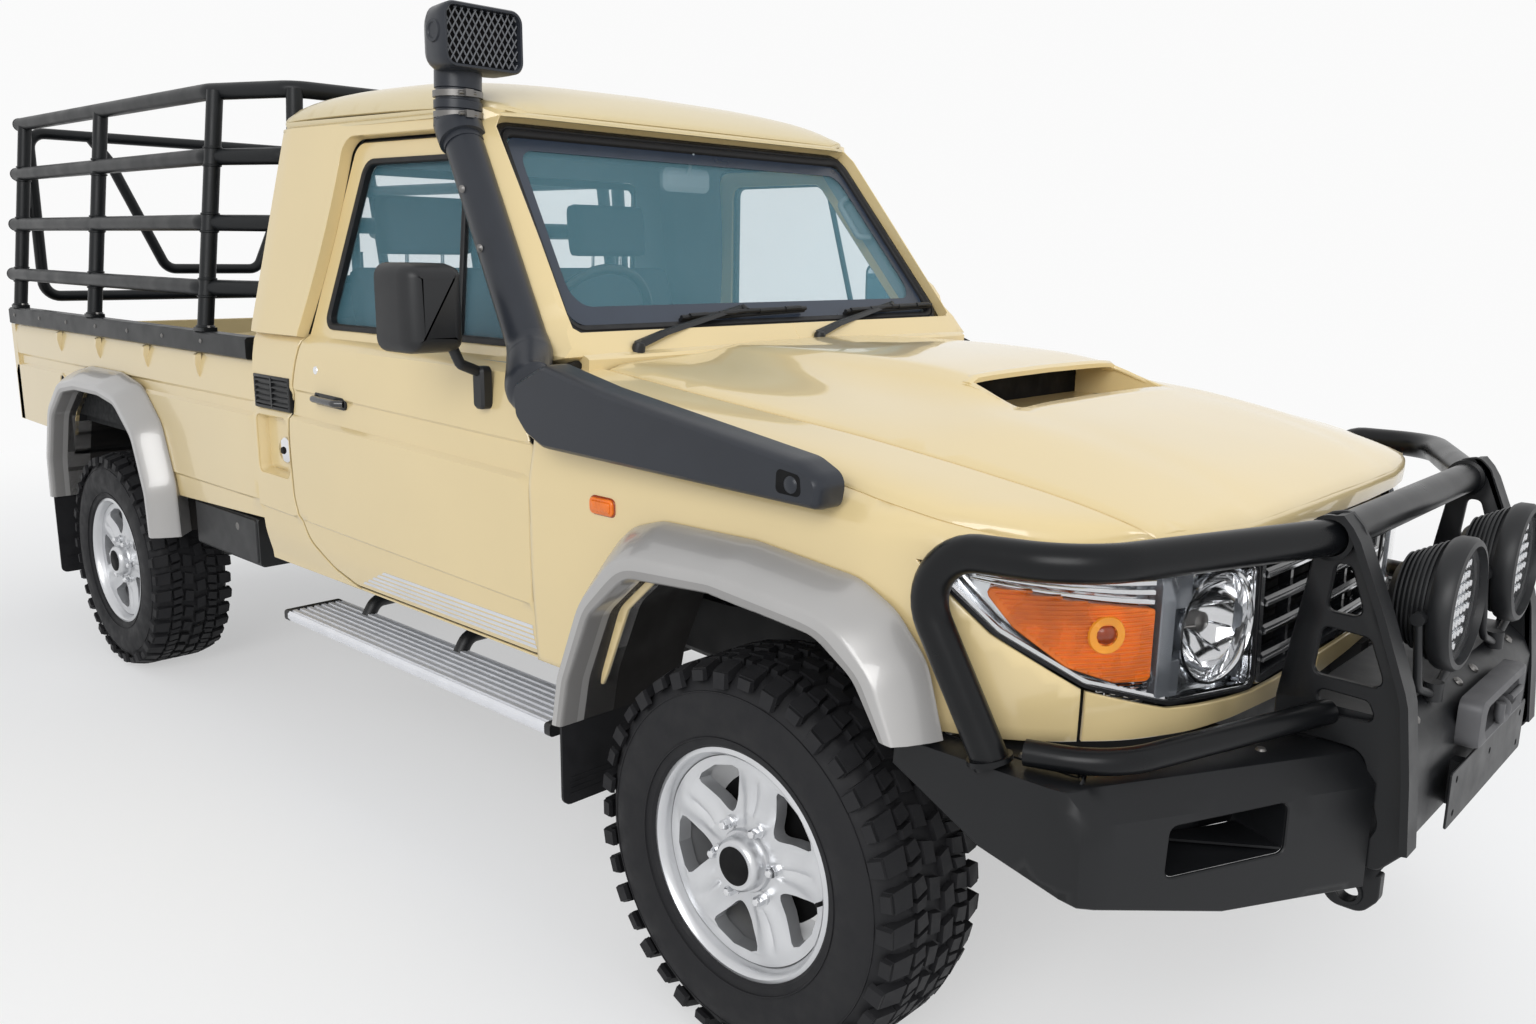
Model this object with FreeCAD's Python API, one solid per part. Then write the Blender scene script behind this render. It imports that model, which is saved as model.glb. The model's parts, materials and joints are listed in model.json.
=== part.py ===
import FreeCAD, Part
import math
import os

os.makedirs("parts", exist_ok=True)
V = FreeCAD.Vector

# Driving dimensions in millimetres. X points forward, Y to the left and Z up from the ground,
# with the origin under the middle of the vehicle. Right-hand pieces are drawn and mirrored.
wheelbase = 3180
front_axle_x = 1640
rear_axle_x = front_axle_x - wheelbase
hub_height = 388

tyre_radius = 388
tyre_width = 265
bead_radius = 216
front_half_track = 770
rear_half_track = 730
spoke_count = 5
wheel_sides = 24
disc_sides = 10

kingpin_y = 690
steering_arm_length = 125
steering_arm_drop = 70

rail_outer_y = 410
rail_width = 70
rail_low = 560
rail_high = 690

cab_rear_x = -370
cab_front_x = 1012
cab_half_width = 836
cab_sill_low = 600
floor_low = 700
belt_height = 1262
gutter_height = 1818
door_thickness = 70
door_gap = 6
glass_thickness = 6

bed_front_x = -395
bed_rear_x = -2560
bed_half_width = 815
bed_floor_low = 850
bed_top = 1184
bed_wall = 42
cheek_thickness = 15

fender_half_width = 848
fender_rear_x = 958
body_front_x = 2352
panel_thickness = 16
flare_reach = 935
rear_flare_reach = 900

eye_x = 2555
eye_y = 350
eye_z = 482
eye_radius = 18

cage_tube_radius = 25
bar_radius = 30
bar_sides = 8
centre_half_width = 372

mouth_x = 617
mouth_y = -682
mouth_z = 1978


def wire_of(points):
    return Part.makePolygon(points + [points[0]])


def plate_xz(outline, y0, y1):
    face = Part.Face(wire_of([V(x, y0, z) for x, z in outline]))
    return face.extrude(V(0, y1 - y0, 0))


def plate_yz(outline, x0, x1):
    face = Part.Face(wire_of([V(x0, y, z) for y, z in outline]))
    return face.extrude(V(x1 - x0, 0, 0))


def plate_xy(outline, z0, z1):
    face = Part.Face(wire_of([V(x, y, z0) for x, y in outline]))
    return face.extrude(V(0, 0, z1 - z0))


def block(x0, x1, y0, y1, z0, z1):
    return Part.makeBox(x1 - x0, y1 - y0, z1 - z0, V(x0, y0, z0))


def across(axis):
    # Two directions square to an axis
    helper = V(0, 0, 1) if abs(axis.z) < 0.9 * axis.Length else V(1, 0, 0)
    first = axis.cross(helper).normalize()
    return first, axis.cross(first).normalize()


def ring_points(centre, axis, radius, sides):
    first, second = across(axis)
    points = []
    for i in range(sides):
        angle = 2 * math.pi * (i + 0.5) / sides
        points.append(centre + first * (radius * math.cos(angle)) + second * (radius * math.sin(angle)))
    return points


def rod(start, end, radius, sides=10):
    face = Part.Face(wire_of(ring_points(start, end - start, radius, sides)))
    return face.extrude(end - start)


def pin(start, end, radius):
    # A true cylinder, for the pieces that turn about an axis
    return Part.makeCylinder(radius, (end - start).Length, start, end - start)


def hollow(start, end, outer, inner):
    return rod(start, end, outer).cut(rod(start, end, inner))


def closed_solid(faces):
    shell = Part.makeShell([Part.Face(wire_of(points)) for points in faces])
    shell.sewShape()
    solid = Part.makeSolid(shell)
    if solid.Volume < 0:
        solid.reverse()
    return solid


def mirrored(shape):
    return shape.mirror(V(0, 0, 0), V(0, 1, 0))


def joined(shapes):
    if len(shapes) == 1:
        return shapes[0]
    return shapes[0].multiFuse(shapes[1:]).removeSplitter()


def pair(shape):
    return Part.makeCompound([shape, mirrored(shape)])


def save(name, shape):
    shape.exportStep("parts/" + name + ".step")


# Bent tube: runs joined by bends of one radius, each bend drawn as a few mitred chords
def rounded_route(points, bend, chords):
    route = [points[0]]
    for before, corner, after in zip(points, points[1:], points[2:]):
        into = (corner - before).normalize()
        out = (after - corner).normalize()
        turn = into.getAngle(out)
        inward = (out - into).normalize()
        centre = corner + inward * (bend / math.cos(turn / 2))
        first = corner - into * (bend * math.tan(turn / 2))
        side = (first - centre).normalize()
        for i in range(chords + 1):
            angle = turn * i / chords
            route.append(centre + side * (bend * math.cos(angle)) + into * (bend * math.sin(angle)))
    route.append(points[-1])
    return route


def bent_tube(points, radius, bend, sides=6, chords=1):
    route = rounded_route(points, bend, chords)
    direction = (route[1] - route[0]).normalize()
    rings = [ring_points(route[0], direction, radius, sides)]
    for i in range(1, len(route)):
        direction = (route[i] - route[i - 1]).normalize()
        facing = direction
        if i < len(route) - 1:
            facing = direction + (route[i + 1] - route[i]).normalize()
        ring = []
        for point in rings[-1]:
            reach = facing.dot(route[i] - point) / facing.dot(direction)
            ring.append(point + direction * reach)
        rings.append(ring)
    faces = [rings[0], rings[-1]]
    for lower, upper in zip(rings, rings[1:]):
        for i in range(sides):
            j = (i + 1) % sides
            faces.append([lower[i], lower[j], upper[j], upper[i]])
    return closed_solid(faces)


# Solid between two polygons with the same number of corners
def between(lower, upper):
    faces = [lower, upper]
    count = len(lower)
    for i in range(count):
        j = (i + 1) % count
        faces.append([lower[i], lower[j], upper[j], upper[i]])
    return closed_solid(faces)


def turned(profile, centre, axis, lay, sides=12):
    # Turn a closed outline of (radius, offset) points about an axis, in flat-sided steps
    side = axis.cross(lay)
    spokes = []
    for i in range(sides):
        angle = 2 * math.pi * (i + 0.5) / sides
        spokes.append(lay * math.cos(angle) + side * math.sin(angle))
    faces = []
    for (r0, s0), (r1, s1) in zip(profile, profile[1:] + profile[:1]):
        if r0 == 0 and r1 == 0:
            continue
        if min(r0, r1) == 0 and s0 == s1:
            faces.append([centre + spoke * max(r0, r1) + axis * s0 for spoke in spokes])
            continue
        for here, there in zip(spokes, spokes[1:] + spokes[:1]):
            corners = [centre + here * r0 + axis * s0, centre + there * r0 + axis * s0,
                       centre + there * r1 + axis * s1, centre + here * r1 + axis * s1]
            if r0 == 0:
                corners = corners[1:]
            if r1 == 0:
                corners = corners[:3]
            faces.append(corners)
    return closed_solid(faces)


# Wheels

def tyre(x, half_track):
    # The corners lie a little outside the true radius, so that the lowest flat rests on the ground
    half = tyre_width / 2
    corner = 1 / math.cos(math.pi / wheel_sides)
    tread_radius = tyre_radius * corner
    section = [(bead_radius, half - 24), (300, half), (356, half - 10), (382 * corner, half - 34),
               (tread_radius, half - 70), (tread_radius, 70 - half), (382 * corner, 34 - half), (356, 10 - half),
               (300, -half), (bead_radius, 24 - half)]
    return turned(section, V(x, -half_track, hub_height), V(0, -1, 0), V(0, 0, 1), wheel_sides)


def rim(x, half_track, brake_radius, brake_from, brake_to):
    centre = V(x, -half_track, hub_height)
    out = V(0, -1, 0)
    up = V(0, 0, 1)
    bead = bead_radius - 1
    barrel = turned([(bead, -108), (192, 0), (bead, 108), (bead - 12, 108), (180, 0), (bead - 12, -108)],
                    centre, out, up, wheel_sides)
    disc = turned([(206, 66), (206, 92), (100, 66), (58, 66), (58, 38), (110, 42)], centre, out, up, disc_sides)
    windows = []
    for i in range(spoke_count):
        angle = 2 * math.pi * (i + 0.5) / spoke_count
        along = V(math.sin(angle), 0, math.cos(angle))
        aside = V(math.cos(angle), 0, -math.sin(angle))
        outline = [(98, 0), (158, 64), (178, 50), (178, -50), (158, -64)]
        points = [centre + along * r + aside * s + out * 20 for r, s in outline]
        windows.append(Part.Face(wire_of(points)).extrude(out * 100))
    disc = disc.cut(Part.makeCompound(windows))
    cap = rod(centre + out * 24, centre + out * 102, 62)
    stub = pin(centre + out * 96, centre + out * 106, 22)
    brake = turned([(0, brake_from), (brake_radius, brake_from), (brake_radius, brake_to), (44, brake_to), (44, 30),
                    (0, 30)], centre, out, up, 10)
    return joined([barrel, disc, cap, stub, brake])


# Axles, knuckles and steering

def front_axle():
    pin_x = front_axle_x
    tube = rod(V(pin_x, -600, hub_height), V(pin_x, 600, hub_height), 45)
    housing = turned([(0, -120), (60, -114), (98, -78), (115, -26), (115, 26), (98, 78), (60, 114),
                      (0, 120)], V(pin_x, -120, hub_height), V(1, 0, 0), V(0, 0, 1))
    parts = [tube, housing]
    for side in (-1, 1):
        fork = plate_yz([(side * 560, hub_height - 45), (side * 560, hub_height + 45),
                         (side * 600, hub_height + 130), (side * 712, hub_height + 130),
                         (side * 712, hub_height + 100), (side * 622, hub_height + 100),
                         (side * 622, hub_height - 100), (side * 712, hub_height - 100),
                         (side * 712, hub_height - 130), (side * 600, hub_height - 130)],
                        pin_x - 28, pin_x + 28)
        parts.append(fork)
        parts.append(block(pin_x - 60, pin_x + 60, min(side * 400, side * 520), max(side * 400, side * 520),
                           hub_height + 30, hub_height + 62))
    return joined(parts)


def knuckle():
    pin_x = front_axle_x
    low = hub_height - 94
    high = hub_height + 94
    upright = rod(V(pin_x, -kingpin_y, low), V(pin_x, -kingpin_y, high), 34)
    kingpins = [pin(V(pin_x, -kingpin_y, z - 4), V(pin_x, -kingpin_y, z + 4), 16) for z in (low, high)]
    hub = rod(V(pin_x, -kingpin_y, hub_height), V(pin_x, -front_half_track + 40, hub_height), 52)
    arm_z = hub_height - steering_arm_drop
    arm = block(pin_x - steering_arm_length, pin_x, -kingpin_y - 14, -kingpin_y + 14, arm_z - 12, arm_z + 12)
    end = rod(V(pin_x - steering_arm_length, -kingpin_y, arm_z - 12),
              V(pin_x - steering_arm_length, -kingpin_y, arm_z + 12), 20)
    return joined([upright, hub, arm, end] + kingpins)


def tie_rod():
    x = front_axle_x - steering_arm_length
    z = hub_height - steering_arm_drop - 34
    bar = rod(V(x, -kingpin_y, z), V(x, kingpin_y, z), 14)
    right_end = pin(V(x, -kingpin_y, z - 18), V(x, -kingpin_y, z + 21.5), 18)
    left_end = pin(V(x, kingpin_y, z - 18), V(x, kingpin_y, z + 14), 18)
    return joined([bar, right_end, left_end])


def rear_axle():
    x = rear_axle_x
    tube = rod(V(x, -600, hub_height), V(x, 600, hub_height), 50)
    housing = turned([(0, -130), (80, -125), (140, -80), (158, -30), (158, 30), (140, 80), (80, 125),
                      (0, 130)], V(x, 0, hub_height), V(1, 0, 0), V(0, 0, 1))
    nose = rod(V(x, 0, hub_height), V(x + 230, 0, hub_height + 20), 60)
    parts = [tube, housing, nose]
    for side in (-1, 1):
        parts.append(rod(V(x, side * 600, hub_height), V(x, side * 616, hub_height), 140))
        parts.append(block(x - 90, x + 90, min(side * 455, side * 535), max(side * 455, side * 535),
                           hub_height + 40, hub_height + 70))
    return joined(parts)


# Ladder frame with the rails kicked up over the axles

def chassis_frame():
    outline = [(-2540, 640), (-2540, 750), (-1000, 750), (-780, rail_high), (1150, rail_high),
               (1350, 720), (1950, 720), (2120, 700), (2330, 700), (2330, 600), (2120, 600),
               (1950, 600), (1350, 600), (1150, rail_low), (-780, rail_low), (-1100, 640)]
    parts = [plate_xz(outline, -rail_outer_y, rail_width - rail_outer_y)]
    for x, reach, half, top in ((-300, 640, 50, rail_high), (900, 640, 50, rail_high), (-700, 560, 45, rail_high),
                                (-2350, 560, 45, 750)):
        parts.append(block(x - half, x + half, -reach, -rail_outer_y, top - 60, top))
    return pair(joined(parts))


def crossmembers():
    # Straight members between the rails, and a sling that carries the gearbox
    inner = rail_outer_y - rail_width
    parts = []
    for x, low, high in ((-2500, 650, 730), (-1780, 650, 740), (-1180, 660, 740), (-560, 580, 670),
                         (2230, 610, 690)):
        parts.append(block(x - 40, x + 40, -inner, inner, low, high))
    sling = [(-inner, 650), (-inner, 400), (inner, 400), (inner, 650), (inner - 28, 650), (inner - 28, 428),
             (28 - inner, 428), (28 - inner, 650)]
    parts.append(plate_yz(sling, 600, 680))
    return Part.makeCompound(parts)


def suspension():
    parts = []
    for side in (-1, 1):
        # Coil spring envelope between the axle seat and the rail's tower, with a bump stop inside
        spring_y = side * 462
        parts.append(hollow(V(front_axle_x, spring_y, hub_height + 62), V(front_axle_x, spring_y, 700), 46, 34))
        tower = block(front_axle_x - 62, front_axle_x + 62, min(side * 410, side * 524),
                      max(side * 410, side * 524), 700, 716)
        parts.append(tower)
        arm = plate_xz([(front_axle_x + 50, 352), (front_axle_x - 60, 340), (1080, 486), (1060, 520),
                        (1080, 548), (1120, 540), (front_axle_x - 60, 400), (front_axle_x + 50, 390)],
                       min(side * 372, side * 400), max(side * 372, side * 400))
        arm = arm.cut(rod(V(front_axle_x, -700, hub_height), V(front_axle_x, 700, hub_height), 46))
        # Leaf pack from the front hanger over the axle to the rear shackle
        leaf = plate_xz([(rear_axle_x + 640, 600), (rear_axle_x + 300, 492), (rear_axle_x, 458),
                         (rear_axle_x - 300, 492), (rear_axle_x - 640, 600), (rear_axle_x - 640, 616),
                         (rear_axle_x - 300, 512), (rear_axle_x, 496), (rear_axle_x + 300, 512),
                         (rear_axle_x + 640, 616)], min(side * 460, side * 530), max(side * 460, side * 530))
        front_hanger = block(rear_axle_x + 610, rear_axle_x + 670, min(side * 410, side * 530),
                             max(side * 410, side * 530), 600, 690)
        rear_hanger = block(rear_axle_x - 670, rear_axle_x - 610, min(side * 410, side * 530),
                            max(side * 410, side * 530), 600, 690)
        parts.append(arm)
        parts.append(joined([leaf, front_hanger, rear_hanger]))
    return Part.makeCompound(parts)


def driveline():
    engine = plate_xz([(1090, 620), (1180, 580), (1260, 600), (1900, 600), (1930, 700), (1930, 1000),
                       (1850, 1100), (1200, 1110), (1090, 1060)], -210, 210)
    gearbox = plate_xz([(1090, 680), (560, 640), (120, 660), (60, 600), (60, 500), (300, 430),
                        (560, 470), (1090, 560)], -130, 130)
    return joined([engine, gearbox])


def propshafts():
    rear = rod(V(55, 0, 520), V(rear_axle_x + 240, 0, hub_height + 24), 38)
    front = rod(V(420, -190, 500), V(front_axle_x - 180, -120, hub_height + 10), 30)
    drop = block(380, 440, -230, -136, 460, 560)
    neck = rod(V(front_axle_x - 180, -120, hub_height + 10), V(front_axle_x - 134, -120, hub_height), 36)
    return Part.makeCompound([rear, joined([front, drop, neck])])


def fuel_tank():
    return plate_yz([(-330, 520), (-330, 640), (330, 640), (330, 470), (-180, 470)], -2420, -1850)


def exhaust():
    run = bent_tube([V(1000, 270, 500), V(300, 270, 480), V(-560, 400, 460), V(-1090, 510, 460)], 30, 90)
    muffler = rod(V(-200, 343, 467), V(120, 296, 475), 80, 16)
    return joined([run, muffler])


# Cab: a glasshouse with flat leaning sides on a slab-sided lower body

def glasshouse_side(x, z, inset):
    return 800 - inset - 0.0497 * (x - cab_rear_x) - 0.202 * (z - 1285)


def windscreen_x(z, inset):
    return 938 - 1.25 * inset - 0.7534 * (z - 1299)


def rear_wall_x(z, inset):
    return cab_rear_x + inset + 0.088 * (z - 1285)


def glasshouse(inset, low, high):
    levels = []
    for z in (low, high):
        back = rear_wall_x(z, inset)
        front = windscreen_x(z, inset)
        levels.append([V(back, -glasshouse_side(back, z, inset), z), V(front, -glasshouse_side(front, z, inset), z),
                       V(front, glasshouse_side(front, z, inset), z), V(back, glasshouse_side(back, z, inset), z)])
    return between(levels[0], levels[1])


def lower_cab(inset, x0, x1, low, high):
    half = [(cab_half_width - 30, low), (cab_half_width - 6, 690), (cab_half_width, 800),
            (cab_half_width, 1010), (cab_half_width - 8, 1060), (cab_half_width - 14, 1180),
            (cab_half_width - 26, high)]
    right = [(inset - y, z) for y, z in half]
    left = [(y - inset, z) for y, z in reversed(half)]
    return plate_yz(right + left, x0, x1)


def cab_outer():
    body = lower_cab(0, cab_rear_x, 950, cab_sill_low, belt_height)
    cowl = plate_xz([(940, cab_sill_low + 40), (cab_front_x, cab_sill_low + 100), (cab_front_x, 1245),
                     (940, belt_height)], -800, 800)
    plenum = plate_xz([(860, 1255), (cab_front_x, 1240), (cab_front_x, 1272), (938, 1296), (860, 1296)],
                      -664, 664)
    return joined([body, cowl, plenum, glasshouse(0, belt_height - 12, gutter_height)])


def cab_room():
    lower = plate_xz([(cab_rear_x + 45, floor_low + 12), (900, floor_low + 12), (985, 820), (985, 1190),
                      (900, 1240), (900, 1300), (cab_rear_x + 45, 1300)], -735, 735)
    wheel_side = glasshouse(62, 1215, gutter_height + 1)
    return lower.fuse(wheel_side)


def under_floor():
    return block(cab_rear_x - 5, cab_front_x + 5, -680, 680, cab_sill_low - 10, floor_low)


door_outline = [(123, 615), (18, 645), (-106, 718), (-145, 824), (-154, 1020), (-93, belt_height),
                (20, 1775), (494, 1775), (852, 1290), (868, belt_height), (950, 1100), (950, 615)]
door_opening = [(190, 730), (70, 745), (-60, 790), (-105, 860), (-112, 1010), (-50, belt_height),
                (52, 1745), (468, 1745), (800, 1290), (816, belt_height), (890, 1110), (905, 730)]
door_daylight = [(-18, 1296), (76, 1728), (478, 1728), (797, 1296)]


def grown(outline, gap):
    # Move each corner of a closed XZ outline outward by the gap
    result = []
    count = len(outline)
    area = sum(a[0] * b[1] - b[0] * a[1] for a, b in zip(outline, outline[1:] + outline[:1]))
    sign = 1 if area > 0 else -1
    for i in range(count):
        before, here, after = outline[i - 1], outline[i], outline[(i + 1) % count]
        first = math.atan2(here[1] - before[1], here[0] - before[0])
        second = math.atan2(after[1] - here[1], after[0] - here[0])
        turn = (second - first + math.pi) % (2 * math.pi) - math.pi
        middle = first + turn / 2 - sign * math.pi / 2
        step = gap / math.cos(turn / 2)
        result.append((here[0] + step * math.cos(middle), here[1] + step * math.sin(middle)))
    return result


def door_core(extra):
    # Space behind the door, which the body's jamb may use
    lower = block(cab_rear_x - 10, 1100, extra - cab_half_width + door_thickness,
                  cab_half_width - door_thickness - extra, 500, belt_height + 1)
    return lower.fuse(glasshouse(38 + extra, belt_height, gutter_height + 5))


def cab_shell(outer):
    shell = outer.cut(cab_room())
    shell = shell.cut(under_floor())
    hole = plate_xz(grown(door_outline, door_gap), -900, -500)
    hole = hole.cut(door_core(door_gap))
    through = plate_xz(door_opening, -900, -500)
    screen = plate_yz([(-712, 1312), (-640, 1804), (640, 1804), (712, 1312)], 480, 1100)
    back = plate_yz([(-600, 1400), (-585, 1742), (585, 1742), (600, 1400)], -450, -250)
    filler = block(-359, -146, -900, -808, 867, 1043)
    cuts = [hole, through, mirrored(hole), mirrored(through), screen, back, filler]
    for cut in cuts:
        shell = shell.cut(cut)
    return shell


def door(outer):
    body = plate_xz(door_outline, -900, -500).common(outer)
    body = body.cut(door_core(0))
    body = body.cut(plate_xz(door_daylight, -900, -500))
    crease = plate_xz([(-200, 1048), (1000, 1022), (1000, 1010), (-200, 1036)], -900, -833)
    return body.cut(crease)


def pane(outline_prism, depth):
    return glasshouse(depth, 1280, gutter_height).cut(
        glasshouse(depth + glass_thickness, 1270, gutter_height + 5)).common(outline_prism)


def door_glass():
    return pane(plate_xz(grown(door_daylight, -1), -900, -500), 16)


def windscreen():
    return pane(plate_yz([(-674, 1352), (-612, 1772), (612, 1772), (674, 1352)], 480, 1100), 8)


def windscreen_seal():
    outer_edge = plate_yz([(-711, 1313), (-639, 1803), (639, 1803), (711, 1313)], 480, 1100)
    inner_edge = plate_yz([(-675, 1351), (-613, 1773), (613, 1773), (675, 1351)], 480, 1100)
    band = glasshouse(-4, 1280, gutter_height).cut(glasshouse(16, 1270, gutter_height + 5))
    seal = band.common(outer_edge.cut(inner_edge))
    doorway = plate_xz(grown(door_outline, 2 * door_gap), -900, 900)
    return seal.cut(doorway)


def rear_window():
    return pane(plate_yz([(-575, 1425), (-562, 1718), (562, 1718), (575, 1425)], -450, -250), 10)


def rear_window_seal():
    outer_edge = plate_yz([(-599, 1401), (-584, 1741), (584, 1741), (599, 1401)], -450, -250)
    inner_edge = plate_yz([(-576, 1424), (-563, 1719), (563, 1719), (576, 1424)], -450, -250)
    band = glasshouse(-3, 1280, gutter_height).cut(glasshouse(18, 1270, gutter_height + 5))
    return band.common(outer_edge.cut(inner_edge))


def roof_block(drop):
    side = [(-345 + drop, 1818), (-345 + drop, 1850 - drop), (-325 + drop, 1905 - drop), (-220, 1935 - drop),
            (0, 1946 - drop), (250, 1942 - drop), (430, 1915 - drop), (545 - drop, 1868 - drop),
            (588 - drop, 1836 - drop / 2), (592 - drop, 1818)]
    front = [(-704 + drop, 1818), (-702 + drop, 1836 - drop / 2), (-672 + drop, 1884 - drop),
             (-560, 1921 - drop), (-300, 1942 - drop), (0, 1947 - drop)]
    front = front + [(-y, z) for y, z in reversed(front[:-1])]
    plan = [(-345, -640), (-300, -704), (440, -704), (560, -640), (592, -560)]
    plan = plan + [(x, -y) for x, y in reversed(plan)]
    return plate_xz(side, -720, 720).common(plate_yz(front, -400, 700)).common(plate_xy(plan, 1800, 1960))


def roof_panel():
    shell = roof_block(0).cut(roof_block(18).cut(block(-900, 900, -900, 900, 1700, 1818)))
    gutter = plate_xz([(-330, 1818), (-330, 1827), (500, 1827), (520, 1818)], -716, -690)
    ring_room = block(-300, 500, -640, 640, 1810, 1819)
    return joined([shell, gutter, mirrored(gutter)]).cut(ring_room)


# Nose: cross-sections from the cab to the grille, as (x, shut line y, shut line z, side z, crown z)
nose_stations = [(950, 672, 1262, 1281, 1292), (1300, 660, 1224, 1258, 1296), (1550, 648, 1198, 1238, 1288),
                 (1718, 640, 1181, 1225, 1266), (1852, 634, 1164, 1213, 1218), (2002, 628, 1143, 1190, 1198),
                 (2139, 622, 1121, 1160, 1170), (2250, 616, 1095, 1128, 1138), (2360, 610, 1045, 1068, 1076)]


def nose_section(station, inset):
    x, shut_y, shut_z, side_z, crown_z = station
    crease_z = min(1012 + 0.074 * (x - 950), 1076, shut_z - 45)
    half = [(fender_half_width - 14 - inset, 560), (fender_half_width - 2 - inset, 820),
            (fender_half_width - inset, crease_z), (fender_half_width - 24 - inset, (crease_z + shut_z) / 2 + 6),
            (fender_half_width - 80 - inset, shut_z - 16 - inset), (shut_y, shut_z - inset),
            (shut_y - 40, shut_z + 10 - inset), (400, side_z - inset), (330, (side_z + crown_z) / 2 - inset),
            (285, crown_z - inset)]
    left = [V(x, y, z) for y, z in half]
    right = [V(x, -y, z) for y, z in reversed(half)]
    return left + right


def nose_plan(inset):
    half = [(900, fender_half_width + 20), (1880, fender_half_width + 20), (2000, 834), (2100, 800),
            (2190, 742), (2270, 645), (2325, 505), (2345, 400), (body_front_x, 200)]
    right = [(x - inset, inset - y) for x, y in half]
    left = [(x, -y) for x, y in reversed(right)]
    return plate_xy(right + left, 500, 1400)


def nose_block(inset):
    # Each quad between two cross-sections is folded along its diagonal, so every facet is flat
    sections = [nose_section(station, inset) for station in nose_stations]
    faces = [sections[0], sections[-1]]
    count = len(sections[0])
    for here, there in zip(sections, sections[1:]):
        for i in range(count):
            j = (i + 1) % count
            faces.append([here[i], here[j], there[j]])
            faces.append([here[i], there[j], there[i]])
    return closed_solid(faces).common(nose_plan(inset))


lamp_outline = [(-832, 1030), (-487, 1038), (-335, 1006), (-308, 772), (-560, 796), (-700, 842), (-790, 925)]
grille_outline = [(-300, 770), (-318, 1002), (-250, 1016), (250, 1016), (318, 1002), (300, 770)]
front_arch = [(1190, 480), (1205, 640), (1285, 800), (1395, 898), (1600, 914), (1850, 892), (1935, 840),
              (2010, 740), (2040, 660), (2045, 480)]


def bonnet_region(gap):
    plan = [(1022, gap - 668), (2216, gap - 622), (2420, gap - 612)]
    plan = plan + [(x, -y) for x, y in reversed(plan)]
    return plate_xy(plan, 1042, 1400)


def scoop_cut():
    return plate_xz([(1870, 1300), (1718, 1300), (1718, 1250), (1650, 1244), (1650, 1200), (1720, 1188),
                     (1846, 1206), (1858, 1222)], -300, 300)


def bonnet(outer, inner):
    skin = outer.cut(inner).common(bonnet_region(0)).cut(scoop_cut())
    tray = plate_xz([(1852, 1200), (1720, 1182), (1644, 1194), (1644, 1250), (1650, 1250), (1650, 1200),
                     (1720, 1188), (1852, 1206)], -306, 306)
    walls = [plate_xz([(1852, 1203), (1720, 1184), (1648, 1198), (1648, 1246), (1718, 1254), (1780, 1232),
                       (1852, 1212)], side - 3, side + 3) for side in (-303, 303)]
    hinges = [pin(V(1028, y - 30, 1284), V(1028, y + 30, 1284), 6) for y in (-310, 310)]
    return joined([skin, tray] + walls + hinges)


def fender(outer, inner, lamp_gap_prism):
    skin = outer.cut(inner)
    skin = skin.cut(block(900, 2500, -600, 1000, 400, 1500))
    skin = skin.cut(bonnet_region(-6))
    skin = skin.cut(block(900, 1022, -806, 0, 400, 1500))
    skin = skin.cut(block(900, fender_rear_x, -1000, 0, 400, 1500))
    skin = skin.cut(plate_xz(front_arch, -900, -560))
    skin = skin.cut(lamp_gap_prism)
    skin = skin.cut(block(2060, 2500, -703, 0, 400, 1045))
    skin = skin.cut(block(1960, 2500, -1000, 0, 400, 744))
    return skin.cut(block(900, 1200, -1000, 0, 400, 615))


def front_panel(outer, inner, lamp_gap_prism):
    skin = outer.cut(inner).common(block(2060, 2500, -700, 700, 700, 1039))
    skin = skin.cut(lamp_gap_prism).cut(mirrored(lamp_gap_prism))
    return skin.cut(plate_yz(grown(grille_outline, 3), 2100, 2500))


def headlamp(outer, deep):
    return outer.cut(deep).common(plate_yz(lamp_outline, 1940, 2420)).cut(block(1800, 2040, -700, 0, 600, 1200))


def grille(outer):
    frame_outer = outer.common(plate_yz(grille_outline, 2300, 2360))
    frame = frame_outer.cut(plate_yz([(-276, 794), (-292, 984), (-246, 994), (246, 994), (292, 984),
                                      (276, 794)], 2200, 2400))
    slats = []
    for i in range(5):
        z = 808 + 38 * i
        slats.append(plate_xz([(2304, z + 14), (2336, z + 6), (2336, z - 2), (2304, z + 2)], -290, 290))
    back = plate_yz([(-296, 774), (-314, 1000), (314, 1000), (296, 774)], 2296, 2304)
    return joined([frame, back] + slats)


def arch_ring(outer_outline, opening, reach, taper, centre_x):
    inner_y = fender_half_width - 60
    levels = [(inner_y, 1.0), (fender_half_width + 8, 1.0), (reach - 14, 1 - taper), (reach, 1 - 2.2 * taper)]
    solids = []
    for (y0, s0), (y1, s1) in zip(levels, levels[1:]):
        lower = [V(centre_x + (x - centre_x) * s0, -y0, 500 + (z - 500) * s0) for x, z in outer_outline]
        upper = [V(centre_x + (x - centre_x) * s1, -y1, 500 + (z - 500) * s1) for x, z in outer_outline]
        solids.append(between(lower, upper))
    return joined(solids).cut(plate_xz(opening, -reach - 5, -500))


def front_flare(outer):
    outline = [(1122, 540), (1140, 660), (1205, 828), (1310, 972), (1400, 1005), (1650, 1010), (1890, 985),
               (1965, 950), (2024, 885), (2058, 800), (2066, 720), (2068, 640), (2040, 540)]
    ring = arch_ring(outline, front_arch, flare_reach, 0.035, front_axle_x)
    return ring.cut(outer).cut(block(900, 2400, -fender_half_width + 20, 0, 400, 1200)).cut(
        block(2000, 2100, -1000, 0, 400, 745))


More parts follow.
